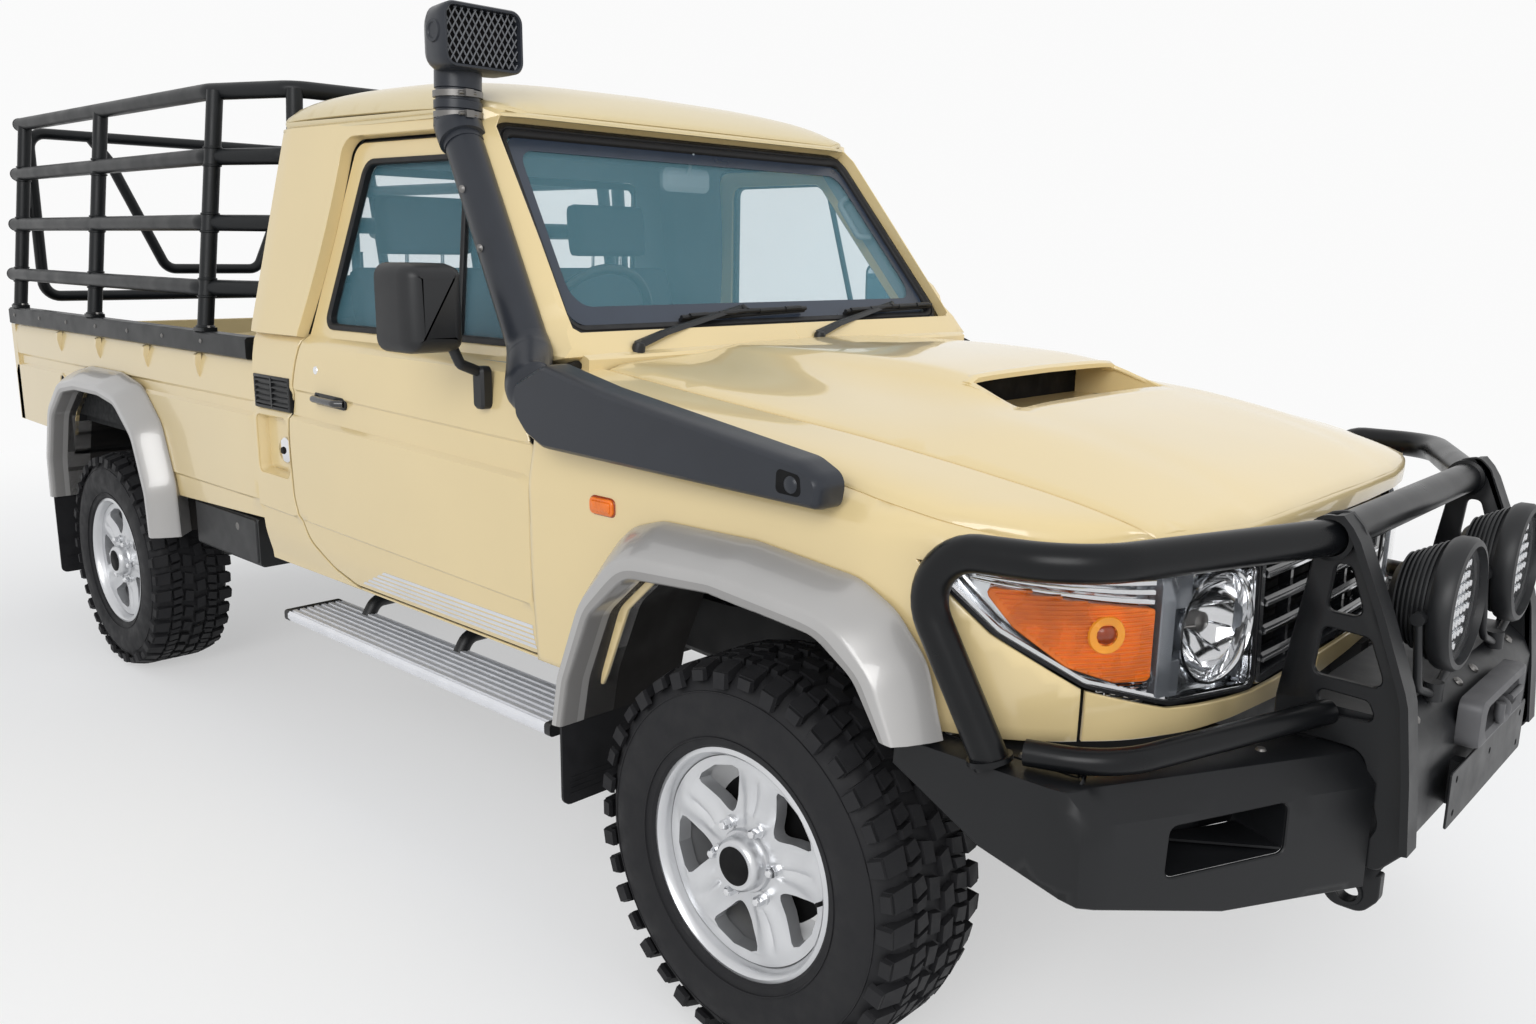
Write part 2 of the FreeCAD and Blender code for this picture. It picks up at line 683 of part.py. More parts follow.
rear_arch = [(-1990, 560), (-1985, 700), (-1915, 880), (-1790, 975), (-1650, 995), (-1430, 995), (-1290, 975),
             (-1165, 880), (-1095, 700), (-1090, 560)]


def rear_flare():
    outline = [(-2075, 640), (-2060, 760), (-1985, 930), (-1850, 1045), (-1680, 1075), (-1400, 1075),
               (-1230, 1045), (-1095, 930), (-1020, 760), (-1005, 640)]
    levels = [(bed_half_width + 2, 1.0), (rear_flare_reach - 14, 0.97), (rear_flare_reach, 0.93)]
    solids = []
    for (y0, s0), (y1, s1) in zip(levels, levels[1:]):
        lower = [V(rear_axle_x + (x - rear_axle_x) * s0, -y0, 500 + (z - 500) * s0) for x, z in outline]
        upper = [V(rear_axle_x + (x - rear_axle_x) * s1, -y1, 500 + (z - 500) * s1) for x, z in outline]
        solids.append(between(lower, upper))
    return joined(solids).cut(plate_xz(rear_arch, -1000, -500))


# Load bed

def bed_box():
    side = plate_xz([(bed_front_x, 718), (bed_front_x, bed_top), (bed_rear_x + 50, bed_top),
                     (bed_rear_x + 50, 800), (-2075, 790), (-2000, 700), (-1080, 700), (-1000, 730)],
                    -bed_half_width, bed_wall - bed_half_width)
    side = side.cut(plate_xz(rear_arch, -900, -500))
    lamp_cheek = block(bed_rear_x + 8, bed_rear_x + 52, -bed_half_width, cheek_thickness - bed_half_width,
                       800, bed_top)
    side = joined([side, lamp_cheek])
    floor = block(bed_rear_x + 50, bed_front_x, bed_wall - bed_half_width - 2, bed_half_width - bed_wall + 2,
                  bed_floor_low, bed_floor_low + 30)
    front = block(bed_front_x - 40, bed_front_x, bed_wall - bed_half_width - 2, bed_half_width - bed_wall + 2,
                  bed_floor_low, bed_top)
    parts = [side, mirrored(side), floor, front]
    body = joined(parts)
    house_outer = plate_xz(grown(rear_arch, 12), -bed_half_width + 4, -560)
    house_room = plate_xz(rear_arch, -bed_half_width - 4, -566)
    body = body.fuse(house_outer).fuse(mirrored(house_outer))
    body = body.cut(house_room).cut(mirrored(house_room))
    body = body.cut(block(-2100, -1000, -900, 900, 500, 690))
    supports = []
    for x in (-700, -2350):
        top = 690 if x > -1000 else 750
        supports.append(block(x - 40, x + 40, -560, 560, top, bed_floor_low))
    body = joined([body] + supports)
    return body


def tailgate():
    panel = plate_yz([(-770, 800), (-770, bed_top - 4), (770, bed_top - 4), (770, 800)], bed_rear_x, bed_rear_x + 40)
    recess = plate_yz([(-640, 880), (-640, 1100), (640, 1100), (640, 880)], bed_rear_x - 5, bed_rear_x + 12)
    hinges = [pin(V(-2540, y - 60, 790), V(-2540, y + 60, 790), 12) for y in (-620, 620)]
    return joined([panel.cut(recess)] + hinges)


def bed_rails():
    parts = []
    for side in (-1, 1):
        near, far = side * (bed_half_width - 40), side * (bed_half_width + 18)
        parts.append(block(bed_rear_x + 52, bed_front_x - 4, min(near, far), max(near, far), bed_top, 1250))
    front = block(bed_front_x - 44, bed_front_x - 4, -bed_half_width + 40, bed_half_width - 40, bed_top, 1250)
    return joined(parts + [front])


def cage_side():
    levels = [(1380, 800), (1572, 775), (1765, 750), (1955, 722)]
    parts = []
    for z, y in levels:
        inner = y - 120
        points = [V(-2500, -y, z), V(-760, -y, z), V(-470, -inner, z), V(-470, 0, z)]
        parts.append(bent_tube(points, cage_tube_radius, 70))
    for x, low_y, high_y in ((-720, 806, 722), (-1640, 806, 722), (-2440, 806, 722), (-470, 640, 600)):
        parts.append(rod(V(x, -low_y, 1256), V(x, -high_y, 1955), 24, 6))
        parts.append(block(x - 34, x + 34, -low_y - 24, -low_y + 24, 1250, 1262))
    return joined(parts)


def cage():
    right = cage_side()
    return joined([right, mirrored(right)])


def cage_gate():
    x = -2530
    outer_y = 690
    frame = bent_tube([V(x, 0, 1930), V(x, -outer_y, 1930), V(x, -outer_y, 1290), V(x, 0, 1290)], 22, 60)
    vee = bent_tube([V(x, -463, 1930), V(x, -396, 1840), V(x, -200, 1400), V(x, 0, 1400)], 22, 60)
    half = joined([frame, vee])
    hinges = [pin(V(x, 716, z - 40), V(x, 716, z + 40), 10) for z in (1440, 1780)]
    return joined([half, mirrored(half)] + hinges)


# Front bars

def bumper_mount():
    return block(2330, 2450, -rail_outer_y, rail_width - rail_outer_y, 604, 696)


def bumper_wing():
    plan = [(1976, -868), (2325, -868), (2590, -395), (2590, -centre_half_width), (2440, -centre_half_width),
            (2380, -560), (2290, -700), (1976, -760)]
    side_shape = plate_xz([(1976, 690), (2150, 600), (2330, 560), (2460, 512), (2700, 512), (2700, 740),
                           (1976, 740)], -900, 0)
    wing = plate_xy(plan, 500, 740).common(side_shape)
    pocket = between([V(2400, -760, 590), V(2400, -760, 680), V(2400, -560, 690), V(2400, -560, 600)],
                     [V(2620, -760, 590), V(2620, -760, 680), V(2620, -560, 690), V(2620, -560, 600)])
    return wing.cut(pocket).cut(bumper_mount())


def front_bumper():
    centre = plate_xz([(2440, 520), (2600, 520), (2640, 600), (2640, 780), (2590, 800), (2440, 800)],
                      -centre_half_width, centre_half_width)
    fairlead = block(2640, 2680, -160, 160, 700, 790)
    bracket = block(2640, 2664, -250, 250, 585, 690)
    eye = plate_xz([(2500, 505), (2500, 480), (2530, 450), (2575, 450), (2600, 480), (2600, 525), (2560, 545)],
                   -eye_y - 12, 12 - eye_y)
    eye = eye.cut(Part.makeCylinder(eye_radius, 60, V(eye_x, -eye_y - 30, eye_z), V(0, 1, 0)))
    mount = bumper_mount()
    return joined([centre, mount, mirrored(mount), fairlead, bracket, eye, mirrored(eye)])


def bull_bar():
    side_plate = plate_xz([(2475, 1122), (2522, 1106), (2625, 848), (2650, 600), (2600, 545), (2560, 545),
                           (2595, 620), (2560, 740), (2415, 745), (2415, 800)], -390, -376)
    side_plate = side_plate.cut(plate_xz([(2488, 1040), (2514, 1038), (2542, 958), (2481, 959)], -400, -370))
    side_plate = side_plate.cut(plate_xz([(2477, 933), (2554, 927), (2585, 848), (2469, 850)], -400, -370))
    top = bent_tube([V(2480, 0, 1082), V(2480, -400, 1082), V(2290, -845, 1076), V(1995, -885, 1068),
                     V(2160, -850, 736)], bar_radius, 75, bar_sides, 2)
    low = bent_tube([V(2180, -835, 765), V(2330, -800, 765), V(2500, -384, 790)], 22, 60)
    parts = [side_plate, top, low]
    right = joined(parts)
    return joined([right, mirrored(right)])


def spot_lamps():
    lamps = []
    for side in (-1, 1):
        centre = V(2610, side * 200, 962)
        lamps.append(turned([(0, -70), (50, -66), (96, -20), (110, 6), (110, 26), (0, 30)], centre,
                            V(1, 0, 0), V(0, 0, 1)))
        lamps.append(block(2590, 2630, side * 200 - 12, side * 200 + 12, 802, 850))
    return joined(lamps[:2]).fuse(joined(lamps[2:]))


def rear_bumper():
    parts = []
    for z in (560, 626):
        parts.append(bent_tube([V(-2480, -640, z), V(-2655, -640, z), V(-2655, 640, z), V(-2480, 640, z)], 22, 45))
    for side in (-1, 1):
        parts.append(block(-2680, -2540, side * 380 - 30, side * 380 + 30, 540, 720))
    return joined(parts)


def mouth_section(x, half_width, low, high, corner):
    # Upright rounded rectangle across the air stream
    y0, y1 = mouth_y - half_width, mouth_y + half_width
    return [V(x, y, z) for y, z in ((y0, low + corner), (y0 + corner, low), (y1 - corner, low), (y1, low + corner),
                                    (y1, high - corner), (y1 - corner, high), (y0 + corner, high),
                                    (y0, high - corner))]


def snorkel():
    low = V(905, -790, 1292)
    high = V(533, -706, 1787)
    pipe = bent_tube([high, low, V(1010, -862, 1215)], 46, 70, 10, 2)
    collar = rod(V(560, -712, 1751), V(523, -704, 1800), 56)
    outline = [(985, 1262), (1000, 1170), (1041, 1135), (1098, 1111), (1838, 1095), (1846, 1150), (1792, 1177),
               (1277, 1250), (1100, 1285)]
    body = plate_xz(outline, -912, -fender_half_width - 2)
    # Ram head: a rounded scoop that opens forward, on a clamped neck
    front = mouth_section(mouth_x, 106, mouth_z - 70, mouth_z + 70, 22)
    middle = mouth_section(mouth_x - 76, 106, mouth_z - 74, mouth_z + 68, 26)
    back = mouth_section(mouth_x - 150, 66, mouth_z - 60, mouth_z + 36, 26)
    head = joined([between(front, middle), between(middle, back)])
    opening = between(mouth_section(mouth_x + 1, 96, mouth_z - 60, mouth_z + 60, 18),
                      mouth_section(mouth_x - 34, 90, mouth_z - 56, mouth_z + 56, 18))
    neck = rod(V(530, -705, 1790), V(528, -698, 1930), 56)
    return joined([pipe, collar, body, neck, head]).cut(opening)


def side_step():
    tread = block(-170, 1060, -878, -708, 470, 500)
    arms = [block(x - 25, x + 25, -720, -rail_outer_y, 500, 560) for x in (20, 480, 930)]
    risers = [block(x - 25, x + 25, -rail_outer_y - 14, -rail_outer_y, 500, 600) for x in (20, 480, 930)]
    return joined([tread] + arms + risers)


def side_box():
    return block(-957, -500, -790, -560, 540, 700)


def mudflaps():
    front = block(1160, 1168, -926, -650, 361, 610)
    rear = block(-2010, -2002, -890, -640, 262, 690)
    return Part.makeCompound([front, mirrored(front), rear, mirrored(rear)])


def mirror_open():
    # Right mirror, swung out as it is driven
    head = plate_xz([(700, 1310), (715, 1290), (830, 1290), (845, 1310), (845, 1460), (830, 1478), (715, 1478),
                     (700, 1460)], -1040, -900)
    arm = bent_tube([V(790, -915, 1300), V(790, -890, 1265), V(790, -838, 1240)], 12, 16)
    foot = block(770, 810, -852, -832, 1160, 1255)
    return joined([head, arm, foot])


def mirror_folded():
    # Left mirror, swung back along the door glass
    head = plate_yz([(895, 1310), (905, 1290), (970, 1290), (985, 1310), (985, 1460), (970, 1478), (905, 1478),
                     (895, 1460)], 475, 620)
    arm = bent_tube([V(612, 930, 1320), V(680, 900, 1280), V(790, 838, 1240)], 12, 16)
    foot = block(770, 810, 832, 852, 1160, 1255)
    return joined([head, arm, foot])


def dashboard():
    top = plate_xz([(960, 1100), (960, 1235), (880, 1262), (760, 1262), (700, 1230), (690, 1130), (760, 1020),
                    (860, 960)], -700, 700)
    return top


def steering_wheel():
    centre = V(560, -340, 1300)
    axis = V(-0.906, 0, 0.423)
    forward = V(0.423, 0, 0.906)
    ring = turned([(166, 0), (180, 14), (194, 0), (180, -14)], centre, axis, forward, 16)
    hub = rod(centre - axis * 25, centre + axis * 10, 55)
    spokes = [rod(centre, centre + V(0, side, 0) * 178, 12) for side in (-1, 1)]
    spokes.append(rod(centre, centre - forward * 178, 12))
    column = rod(centre - axis * 20, centre - axis * 170, 30)
    return joined([ring, hub, column] + spokes)


def seat(side):
    y0, y1 = side * 350 - 255, side * 350 + 255
    cushion = plate_xz([(-160, 930), (-160, 1030), (330, 1060), (370, 1020), (360, 920)], y0, y1)
    back = plate_xz([(-170, 1034), (-280, 1440), (-230, 1470), (-150, 1440), (-40, 1040)], y0, y1)
    head = plate_xz([(-250, 1490), (-262, 1640), (-180, 1650), (-150, 1500)], side * 350 - 130, side * 350 + 130)
    posts = [rod(V(-220, side * 350 + d, 1440), V(-215, side * 350 + d, 1500), 8) for d in (-60, 60)]
    base = block(-120, 320, y0 + 40, y1 - 40, floor_low + 12, 932)
    return joined([cushion, back, head] + posts), base


def radiator():
    return block(2170, 2225, -330, 330, 700, 1030)


def tail_lamps():
    # Upright lamps beside the tailgate, behind the cheeks of the bed's sides
    outer_y = bed_half_width - cheek_thickness
    return pair(block(bed_rear_x + 10, bed_rear_x + 50, -outer_y, 24 - outer_y, 900, 1120))


def wipers():
    arms = []
    for y0, y1 in ((-563, -60), (58, 540)):
        foot = rod(V(985, y0, 1270), V(985, y0, 1320), 14)
        arms.append(joined([foot, rod(V(985, y0, 1308), V(944, y1, 1332), 7)]))
    return Part.makeCompound(arms)


def build():
    outer = cab_outer()
    nose = nose_block(0)
    nose_inner = nose_block(panel_thickness)
    nose_deep = nose_block(75)
    lamp_gap = plate_yz(grown(lamp_outline, 3), 1930, 2450)
    for end, x, half_track, brake in (("front", front_axle_x, front_half_track, (145, -24, -8)),
                                      ("rear", rear_axle_x, rear_half_track, (140, -100, -30))):
        right_tyre = tyre(x, half_track)
        right_rim = rim(x, half_track, *brake)
        save("tyre_" + end + "_right", right_tyre)
        save("tyre_" + end + "_left", mirrored(right_tyre))
        save("rim_" + end + "_right", right_rim)
        save("rim_" + end + "_left", mirrored(right_rim))
    beam = front_axle()
    save("front_axle", beam)
    save("rear_axle", rear_axle())
    right_knuckle = knuckle()
    save("knuckle_right", right_knuckle)
    save("knuckle_left", mirrored(right_knuckle))
    save("tie_rod", tie_rod())
    save("chassis_frame", chassis_frame())
    save("crossmembers", crossmembers())
    save("suspension", suspension())
    save("engine_gearbox", driveline())
    save("propshafts", propshafts().cut(beam))
    save("fuel_tank", fuel_tank())
    save("exhaust", exhaust())
    save("radiator", radiator())
    cab = cab_shell(outer)
    roof = roof_panel()
    save("cab_shell", cab)
    save("roof_panel", roof)
    right_door = door(outer)
    save("door_right", right_door)
    save("door_left", mirrored(right_door))
    save("door_glass_right", door_glass())
    save("door_glass_left", mirrored(door_glass()))
    save("cab_windows", Part.makeCompound([windscreen(), rear_window()]))
    save("window_seals", Part.makeCompound([windscreen_seal(), rear_window_seal()]))
    save("bonnet", bonnet(nose, nose_inner))
    right_fender = fender(nose, nose_inner, lamp_gap)
    save("fender_right", right_fender)
    save("fender_left", mirrored(right_fender))
    save("front_panel", front_panel(nose, nose_inner, lamp_gap))
    save("headlamps", pair(headlamp(nose, nose_deep)))
    save("grille", grille(nose))
    flares = pair(front_flare(nose))
    rear_flares = pair(rear_flare())
    save("front_flares", flares)
    save("rear_flares", rear_flares)
    save("mudflaps", mudflaps().cut(flares).cut(rear_flares))
    save("bed_box", bed_box())
    save("tailgate", tailgate())
    save("bed_rails", bed_rails())
    save("cage", cage())
    save("cage_gate", cage_gate())
    save("tail_lamps", tail_lamps())
    bar = bull_bar()
    save("bull_bar", bar)
    save("front_bumper", front_bumper().cut(bar))
    save("bumper_wings", pair(bumper_wing().cut(bar)))
    save("spot_lamps", spot_lamps())
    save("rear_bumper", rear_bumper())
    save("snorkel", snorkel().cut(cab).cut(roof).cut(right_fender))
    save("side_steps", pair(side_step()))
    save("side_boxes", pair(side_box()))
    save("mirror_right", mirror_open())
    save("mirror_left", mirror_folded())
    wheel = steering_wheel()
    save("dashboard", dashboard().cut(cab).cut(wheel))
    save("steering_wheel", wheel)
    seat_bases = []
    for name, side in (("seat_right", -1), ("seat_left", 1)):
        padding, base = seat(side)
        save(name, padding)
        seat_bases.append(base.cut(padding))
    save("seat_bases", Part.makeCompound(seat_bases))
    save("wipers", wipers().cut(cab))


build()
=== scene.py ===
import json
import math

import bpy
import numpy as np
from mathutils import Matrix, Vector
from mathutils.geometry import delaunay_2d_cdt


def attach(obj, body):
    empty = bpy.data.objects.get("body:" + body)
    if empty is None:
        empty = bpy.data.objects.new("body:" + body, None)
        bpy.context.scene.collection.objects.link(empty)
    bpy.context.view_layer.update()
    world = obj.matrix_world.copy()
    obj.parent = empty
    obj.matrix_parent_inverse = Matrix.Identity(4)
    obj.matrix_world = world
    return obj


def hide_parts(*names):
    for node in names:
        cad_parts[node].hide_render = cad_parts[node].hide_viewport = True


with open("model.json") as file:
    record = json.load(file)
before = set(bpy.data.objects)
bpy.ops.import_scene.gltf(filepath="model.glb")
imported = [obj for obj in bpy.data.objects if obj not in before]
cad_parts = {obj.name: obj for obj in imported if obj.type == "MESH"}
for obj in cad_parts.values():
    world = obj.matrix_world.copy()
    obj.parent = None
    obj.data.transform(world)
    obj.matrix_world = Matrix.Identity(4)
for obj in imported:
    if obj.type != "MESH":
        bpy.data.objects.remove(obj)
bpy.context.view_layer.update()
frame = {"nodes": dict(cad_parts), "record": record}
nodes = frame["nodes"]

# Places shared with the frame, in metres
FRONT_AXLE_X = 1.64
REAR_AXLE_X = -1.54
HUB_Z = 0.388
FRONT_TRACK = 0.77
REAR_TRACK = 0.73
TYRE_RADIUS = 0.388

# Directions
AHEAD = (1, 0, 0)
LEFT = (0, 1, 0)
RIGHT = (0, -1, 0)
UP = (0, 0, 1)


# Materials

def linear(value):
    value /= 255.0
    return value / 12.92 if value <= 0.04045 else ((value + 0.055) / 1.055) ** 2.4


def shade(red, green, blue):
    return (linear(red), linear(green), linear(blue), 1.0)


def node_in(tree, kind, **values):
    """A new shader node; the values are set on the inputs with those names, underscores read as spaces."""
    made = tree.nodes.new("ShaderNode" + kind)
    for name, value in values.items():
        made.inputs[name.replace("_", " ")].default_value = value
    return made


def join(tree, *pairs):
    for source, target in pairs:
        tree.links.new(source, target)


def material(name, colour, rough=0.5, metal=0.0, coat=0.0, coat_rough=0.05, specular=0.5, bump=None,
             alpha=1.0, spread=0.05, grain=5.0):
    """A finish whose tint and roughness drift over the surface, with a fine bump if one is given."""
    made = bpy.data.materials.new(name)
    made.use_nodes = True
    tree = made.node_tree
    shader = tree.nodes["Principled BSDF"]
    base = shade(*colour)
    place = node_in(tree, "TexCoord")
    drift = node_in(tree, "TexNoise", Scale=grain, Detail=5.0)
    tint = node_in(tree, "ValToRGB")
    for stop, place_on, share in zip(tint.color_ramp.elements, (0.3, 0.7), (1 - spread, 1 + spread)):
        stop.position = place_on
        stop.color = tuple(min(1.0, value * share) for value in base[:3]) + (1.0,)
    polish = node_in(tree, "MapRange", From_Min=0.3, From_Max=0.7, To_Min=rough * (1 - 1.5 * spread),
                     To_Max=rough * (1 + 1.5 * spread))
    join(tree, (place.outputs["Object"], drift.inputs["Vector"]), (drift.outputs["Fac"], tint.inputs["Fac"]),
         (drift.outputs["Fac"], polish.inputs["Value"]), (tint.outputs["Color"], shader.inputs["Base Color"]),
         (polish.outputs["Result"], shader.inputs["Roughness"]))
    for socket, value in (("Metallic", metal), ("Coat Weight", coat), ("Coat Roughness", coat_rough),
                          ("Specular IOR Level", specular), ("Alpha", alpha)):
        shader.inputs[socket].default_value = value
    if bump:
        scale, strength, distance = bump
        noise = node_in(tree, "TexNoise", Scale=scale, Detail=3.0)
        rise = node_in(tree, "Bump", Strength=strength, Distance=distance)
        join(tree, (place.outputs["Object"], noise.inputs["Vector"]),
             (noise.outputs["Fac"], rise.inputs["Height"]),
             (rise.outputs["Normal"], shader.inputs["Normal"]))
    return made


PAINT = material("sand_paint", (219, 197, 146), rough=0.32, coat=0.8, coat_rough=0.03, spread=0.02, grain=2.5)
# A darker copy of the sand paint for the roof: painted shade.
ROOF_PAINT_SHADED = material("roof_paint_painted_shade", (208, 191, 148), rough=0.34, coat=0.5, coat_rough=0.06, spread=0.02,
                      grain=2.5)
FLARE = material("light_grey_paint", (168, 166, 164), rough=0.34, metal=0.2, coat=0.7, spread=0.03)
# A darker copy of the grey flare paint: painted shade for the flare's fascia faces.
FLARE_PAINTED_SHADE = material("grey_paint_painted_shade", (140, 138, 136), rough=0.38, metal=0.2, coat=0.5, spread=0.03)
FLARE_EDGE = material("dark_liner", (38, 36, 35), rough=0.7, specular=0.2, spread=0.12, grain=14)
BAR = material("black_powder_coat", (20, 21, 23), rough=0.42, specular=0.3, bump=(900, 0.12, 0.0004),
               spread=0.1, grain=12)
TUBE = material("bright_powder_coat", (14, 15, 17), rough=0.3, specular=0.24, bump=(900, 0.08, 0.0003),
                spread=0.08, grain=12)
CAGE = material("cage_coat", (22, 24, 26), rough=0.4, specular=0.28, bump=(900, 0.1, 0.0004), spread=0.1,
                grain=12)
UNDER = material("underbody_black", (22, 22, 23), rough=0.6, specular=0.3, spread=0.15, grain=9)
SILVER = material("wheel_silver_paint", (205, 206, 208), rough=0.3, metal=0.75, spread=0.03, grain=20)
RUBBER = material("tyre_rubber", (30, 30, 32), rough=0.66, specular=0.25, bump=(260, 0.12, 0.0005),
                  spread=0.14, grain=22)
# Black rubber for the real seals, also laid on the post, the door's edge face and the gap behind it as
# painted shade.
SEAL_AND_SHADE = material("rubber_seal_and_painted_shade", (22, 22, 24), specular=0.3, spread=0.1, grain=30)
SNORKEL = material("snorkel_plastic", (40, 43, 49), rough=0.34, specular=0.32, bump=(1500, 0.1, 0.0004),
                   spread=0.06, grain=14)
PLASTIC = material("black_plastic", (26, 27, 29), rough=0.45, specular=0.4, bump=(1200, 0.06, 0.0003),
                   spread=0.08, grain=18)
MATTE = material("matte_black", (14, 14, 15), rough=0.8, specular=0.2, spread=0.15, grain=20)
GLASS = material("window_glass", (132, 192, 210), rough=0.02, alpha=0.14, specular=0.6, spread=0.03, grain=3)
CHROME = material("bright_metal", (225, 226, 228), rough=0.1, metal=1.0, spread=0.02, grain=25)
STEP = material("step_metal", (224, 225, 229), rough=0.38, metal=0.35, spread=0.04, grain=18)
AMBER = material("amber_lens", (232, 112, 6), rough=0.28, coat=0.2, spread=0.3, grain=13)
AMBER_DARK = material("amber_bulb", (150, 56, 3), rough=0.25, coat=0.3, spread=0.14, grain=30)
AMBER_LIGHT = material("amber_ring", (246, 158, 30), rough=0.25, coat=0.3, spread=0.1, grain=30)
BEZEL = material("lamp_bezel", (132, 136, 142), rough=0.25, metal=0.6, coat=0.6, grain=20)
RED = material("red_lens", (150, 16, 14), rough=0.15, coat=1.0, spread=0.08, grain=16)
CLEAR = material("clear_lens", (46, 50, 54), rough=0.02, alpha=0.06, specular=0.6, spread=0.04, grain=6)
CLEAR_SOLID = material("reversing_lens", (214, 216, 218), rough=0.15, coat=1.0, spread=0.03, grain=16)
MIRROR = material("mirror_glass", (214, 220, 226), rough=0.02, metal=1.0, spread=0.01, grain=4)
REFLECTOR = material("lamp_reflector", (220, 223, 226), rough=0.14, metal=0.95, spread=0.04, grain=30)
GRILLE = material("grille_plastic", (34, 35, 38), rough=0.25, coat=0.6, spread=0.06, grain=16)
SEAT = material("seat_fabric", (70, 74, 80), rough=0.9, specular=0.2, bump=(700, 0.25, 0.0006), spread=0.14,
                grain=60)
INSIDE = material("cabin_plastic", (130, 140, 146), rough=0.7, bump=(800, 0.1, 0.0004), grain=10)
LINER = material("tray_coating", (28, 29, 30), rough=0.75, specular=0.2, bump=(400, 0.3, 0.0008),
                 spread=0.12, grain=40)
NET = material("net_grey", (96, 98, 102), spread=0.06, grain=20)
STRIPE = material("pale_stripe", (212, 214, 219), rough=0.35, metal=0.3, coat=0.6, spread=0.03, grain=10)
BORDER = material("screen_border", (43, 52, 66), rough=0.3, spread=0.06, grain=14)
STEEL = material("plain_steel", (120, 118, 116), rough=0.4, metal=0.8, spread=0.1, grain=30)
CAST = material("cast_metal", (92, 92, 94), rough=0.55, metal=0.6, bump=(500, 0.15, 0.0004), spread=0.12,
                grain=30)

slot_materials = {"paint": PAINT, "flare_grey": FLARE, "black_steel": BAR, "chassis_black": UNDER,
                  "wheel_silver": SILVER, "tyre": RUBBER, "glass": GLASS, "seal_rubber": SEAL_AND_SHADE,
                  "black_plastic": PLASTIC, "lamp": CLEAR, "tail_red": RED, "grille_black": GRILLE,
                  "step_aluminium": STEP, "upholstery": SEAT, "cast_metal": CAST, "steel": STEEL}
special = {"cage": CAGE, "cage_gate": CAGE, "bed_rails": CAGE, "roof_panel": ROOF_PAINT_SHADED, "snorkel": SNORKEL,
           "dashboard": INSIDE}
for part in frame["record"]["subparts"]:
    node = nodes[part["node"]]
    node.data.materials.clear()
    node.data.materials.append(special.get(part["node"], slot_materials[part["material_slot"]]))


# Mesh building

class Geometry:
    """Corners and faces, each face with the index of its material."""

    def __init__(self):
        self.points = []
        self.faces = []
        self.marks = []

    def add(self, points, faces, mark=0):
        base = len(self.points)
        self.points.extend([tuple(float(value) for value in point) for point in points])
        self.faces.extend([tuple(base + index for index in face) for face in faces])
        self.marks.extend([mark] * len(faces))
        return self

    def mirrored(self):
        other = Geometry()
        other.points = [(x, -y, z) for x, y, z in self.points]
        other.faces = [face[::-1] for face in self.faces]
        other.marks = self.marks[:]
        return other

    def with_mirror(self):
        both, other, base = Geometry(), self.mirrored(), len(self.points)
        both.points = self.points + other.points
        both.faces = self.faces + [tuple(base + index for index in face) for face in other.faces]
        both.marks = self.marks + other.marks
        return both


def piece(name, geometry, materials, body="vehicle", angle=40, bevel=0.0, stands_for=()):
    """One finished mesh: the body it rides on and the CAD nodes it stands for."""
    mesh = bpy.data.meshes.new(name)
    mesh.from_pydata(geometry.points, [], geometry.faces)
    for item in materials:
        mesh.materials.append(item)
    mesh.polygons.foreach_set("material_index", geometry.marks)
    mesh.polygons.foreach_set("use_smooth", [True] * len(mesh.polygons))
    mesh.update()
    mesh.validate()
    mesh.set_sharp_from_angle(angle=math.radians(angle))
    made = bpy.data.objects.new(name, mesh)
    bpy.context.scene.collection.objects.link(made)
    if bevel:
        rounding = made.modifiers.new("edge_rounding", "BEVEL")
        rounding.width = bevel
        rounding.segments = 2
        rounding.limit_method = "ANGLE"
        rounding.angle_limit = math.radians(angle)
        rounding.harden_normals = True
        rounding.use_clamp_overlap = True
    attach(made, body)
    if stands_for:
        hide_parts(*stands_for)
    return made


def on_both_sides(parts, body, angle):
    """Each part as a right-hand piece and as its mirror image; {} in a name stands for the hand."""
    for hand in ("right", "left"):
        for name, shape, finishes, slot, nodes_for in parts:
            piece(name.format(hand), shape if hand == "right" else shape.mirrored(), finishes,
                  body.format(hand), angle, stands_for=[node.format(hand) for node in nodes_for])


def unit(vector):
    vector = np.array(vector, float)
    return vector / np.linalg.norm(vector)


def rounded(points, bend, chords=8):
    """The route through the points with each corner drawn as an arc."""
    points = [np.array(point, float) for point in points]
    bends = bend if isinstance(bend, (list, tuple)) else [bend] * (len(points) - 2)
    route = [points[0]]
    for before, corner, after, radius in zip(points, points[1:], points[2:], bends):
        into = unit(corner - before)
        out = unit(after - corner)
        turn = math.acos(max(-1.0, min(1.0, float(into @ out))))
        if turn < 0.02 or radius <= 0:
            route.append(corner)
            continue
        inward = unit(out - into)
        centre = corner + inward * (radius / math.cos(turn / 2))
        side = unit(corner - into * (radius * math.tan(turn / 2)) - centre)
        for step in range(chords + 1):
            angle = turn * step / chords
            route.append(centre + side * (radius * math.cos(angle)) + into * (radius * math.sin(angle)))
    route.append(points[-1])
    return route


def loft(shape, rings, mark=0, caps=True):
    """A skin over closed rings of points, one after the other, with the first and last ring filled in."""
    sides = len(rings[0])
    points = [point for ring in rings for point in ring]
    faces = []
    for start in range(0, (len(rings) - 1) * sides, sides):
        for side in range(sides):
            other = (side + 1) % sides
            faces.append((start + side, start + other, start + sides + other, start + sides + side))
    if caps:
        faces.append(tuple(reversed(range(sides))))
        faces.append(tuple((len(rings) - 1) * sides + side for side in range(sides)))
    return shape.add(points, faces, mark)


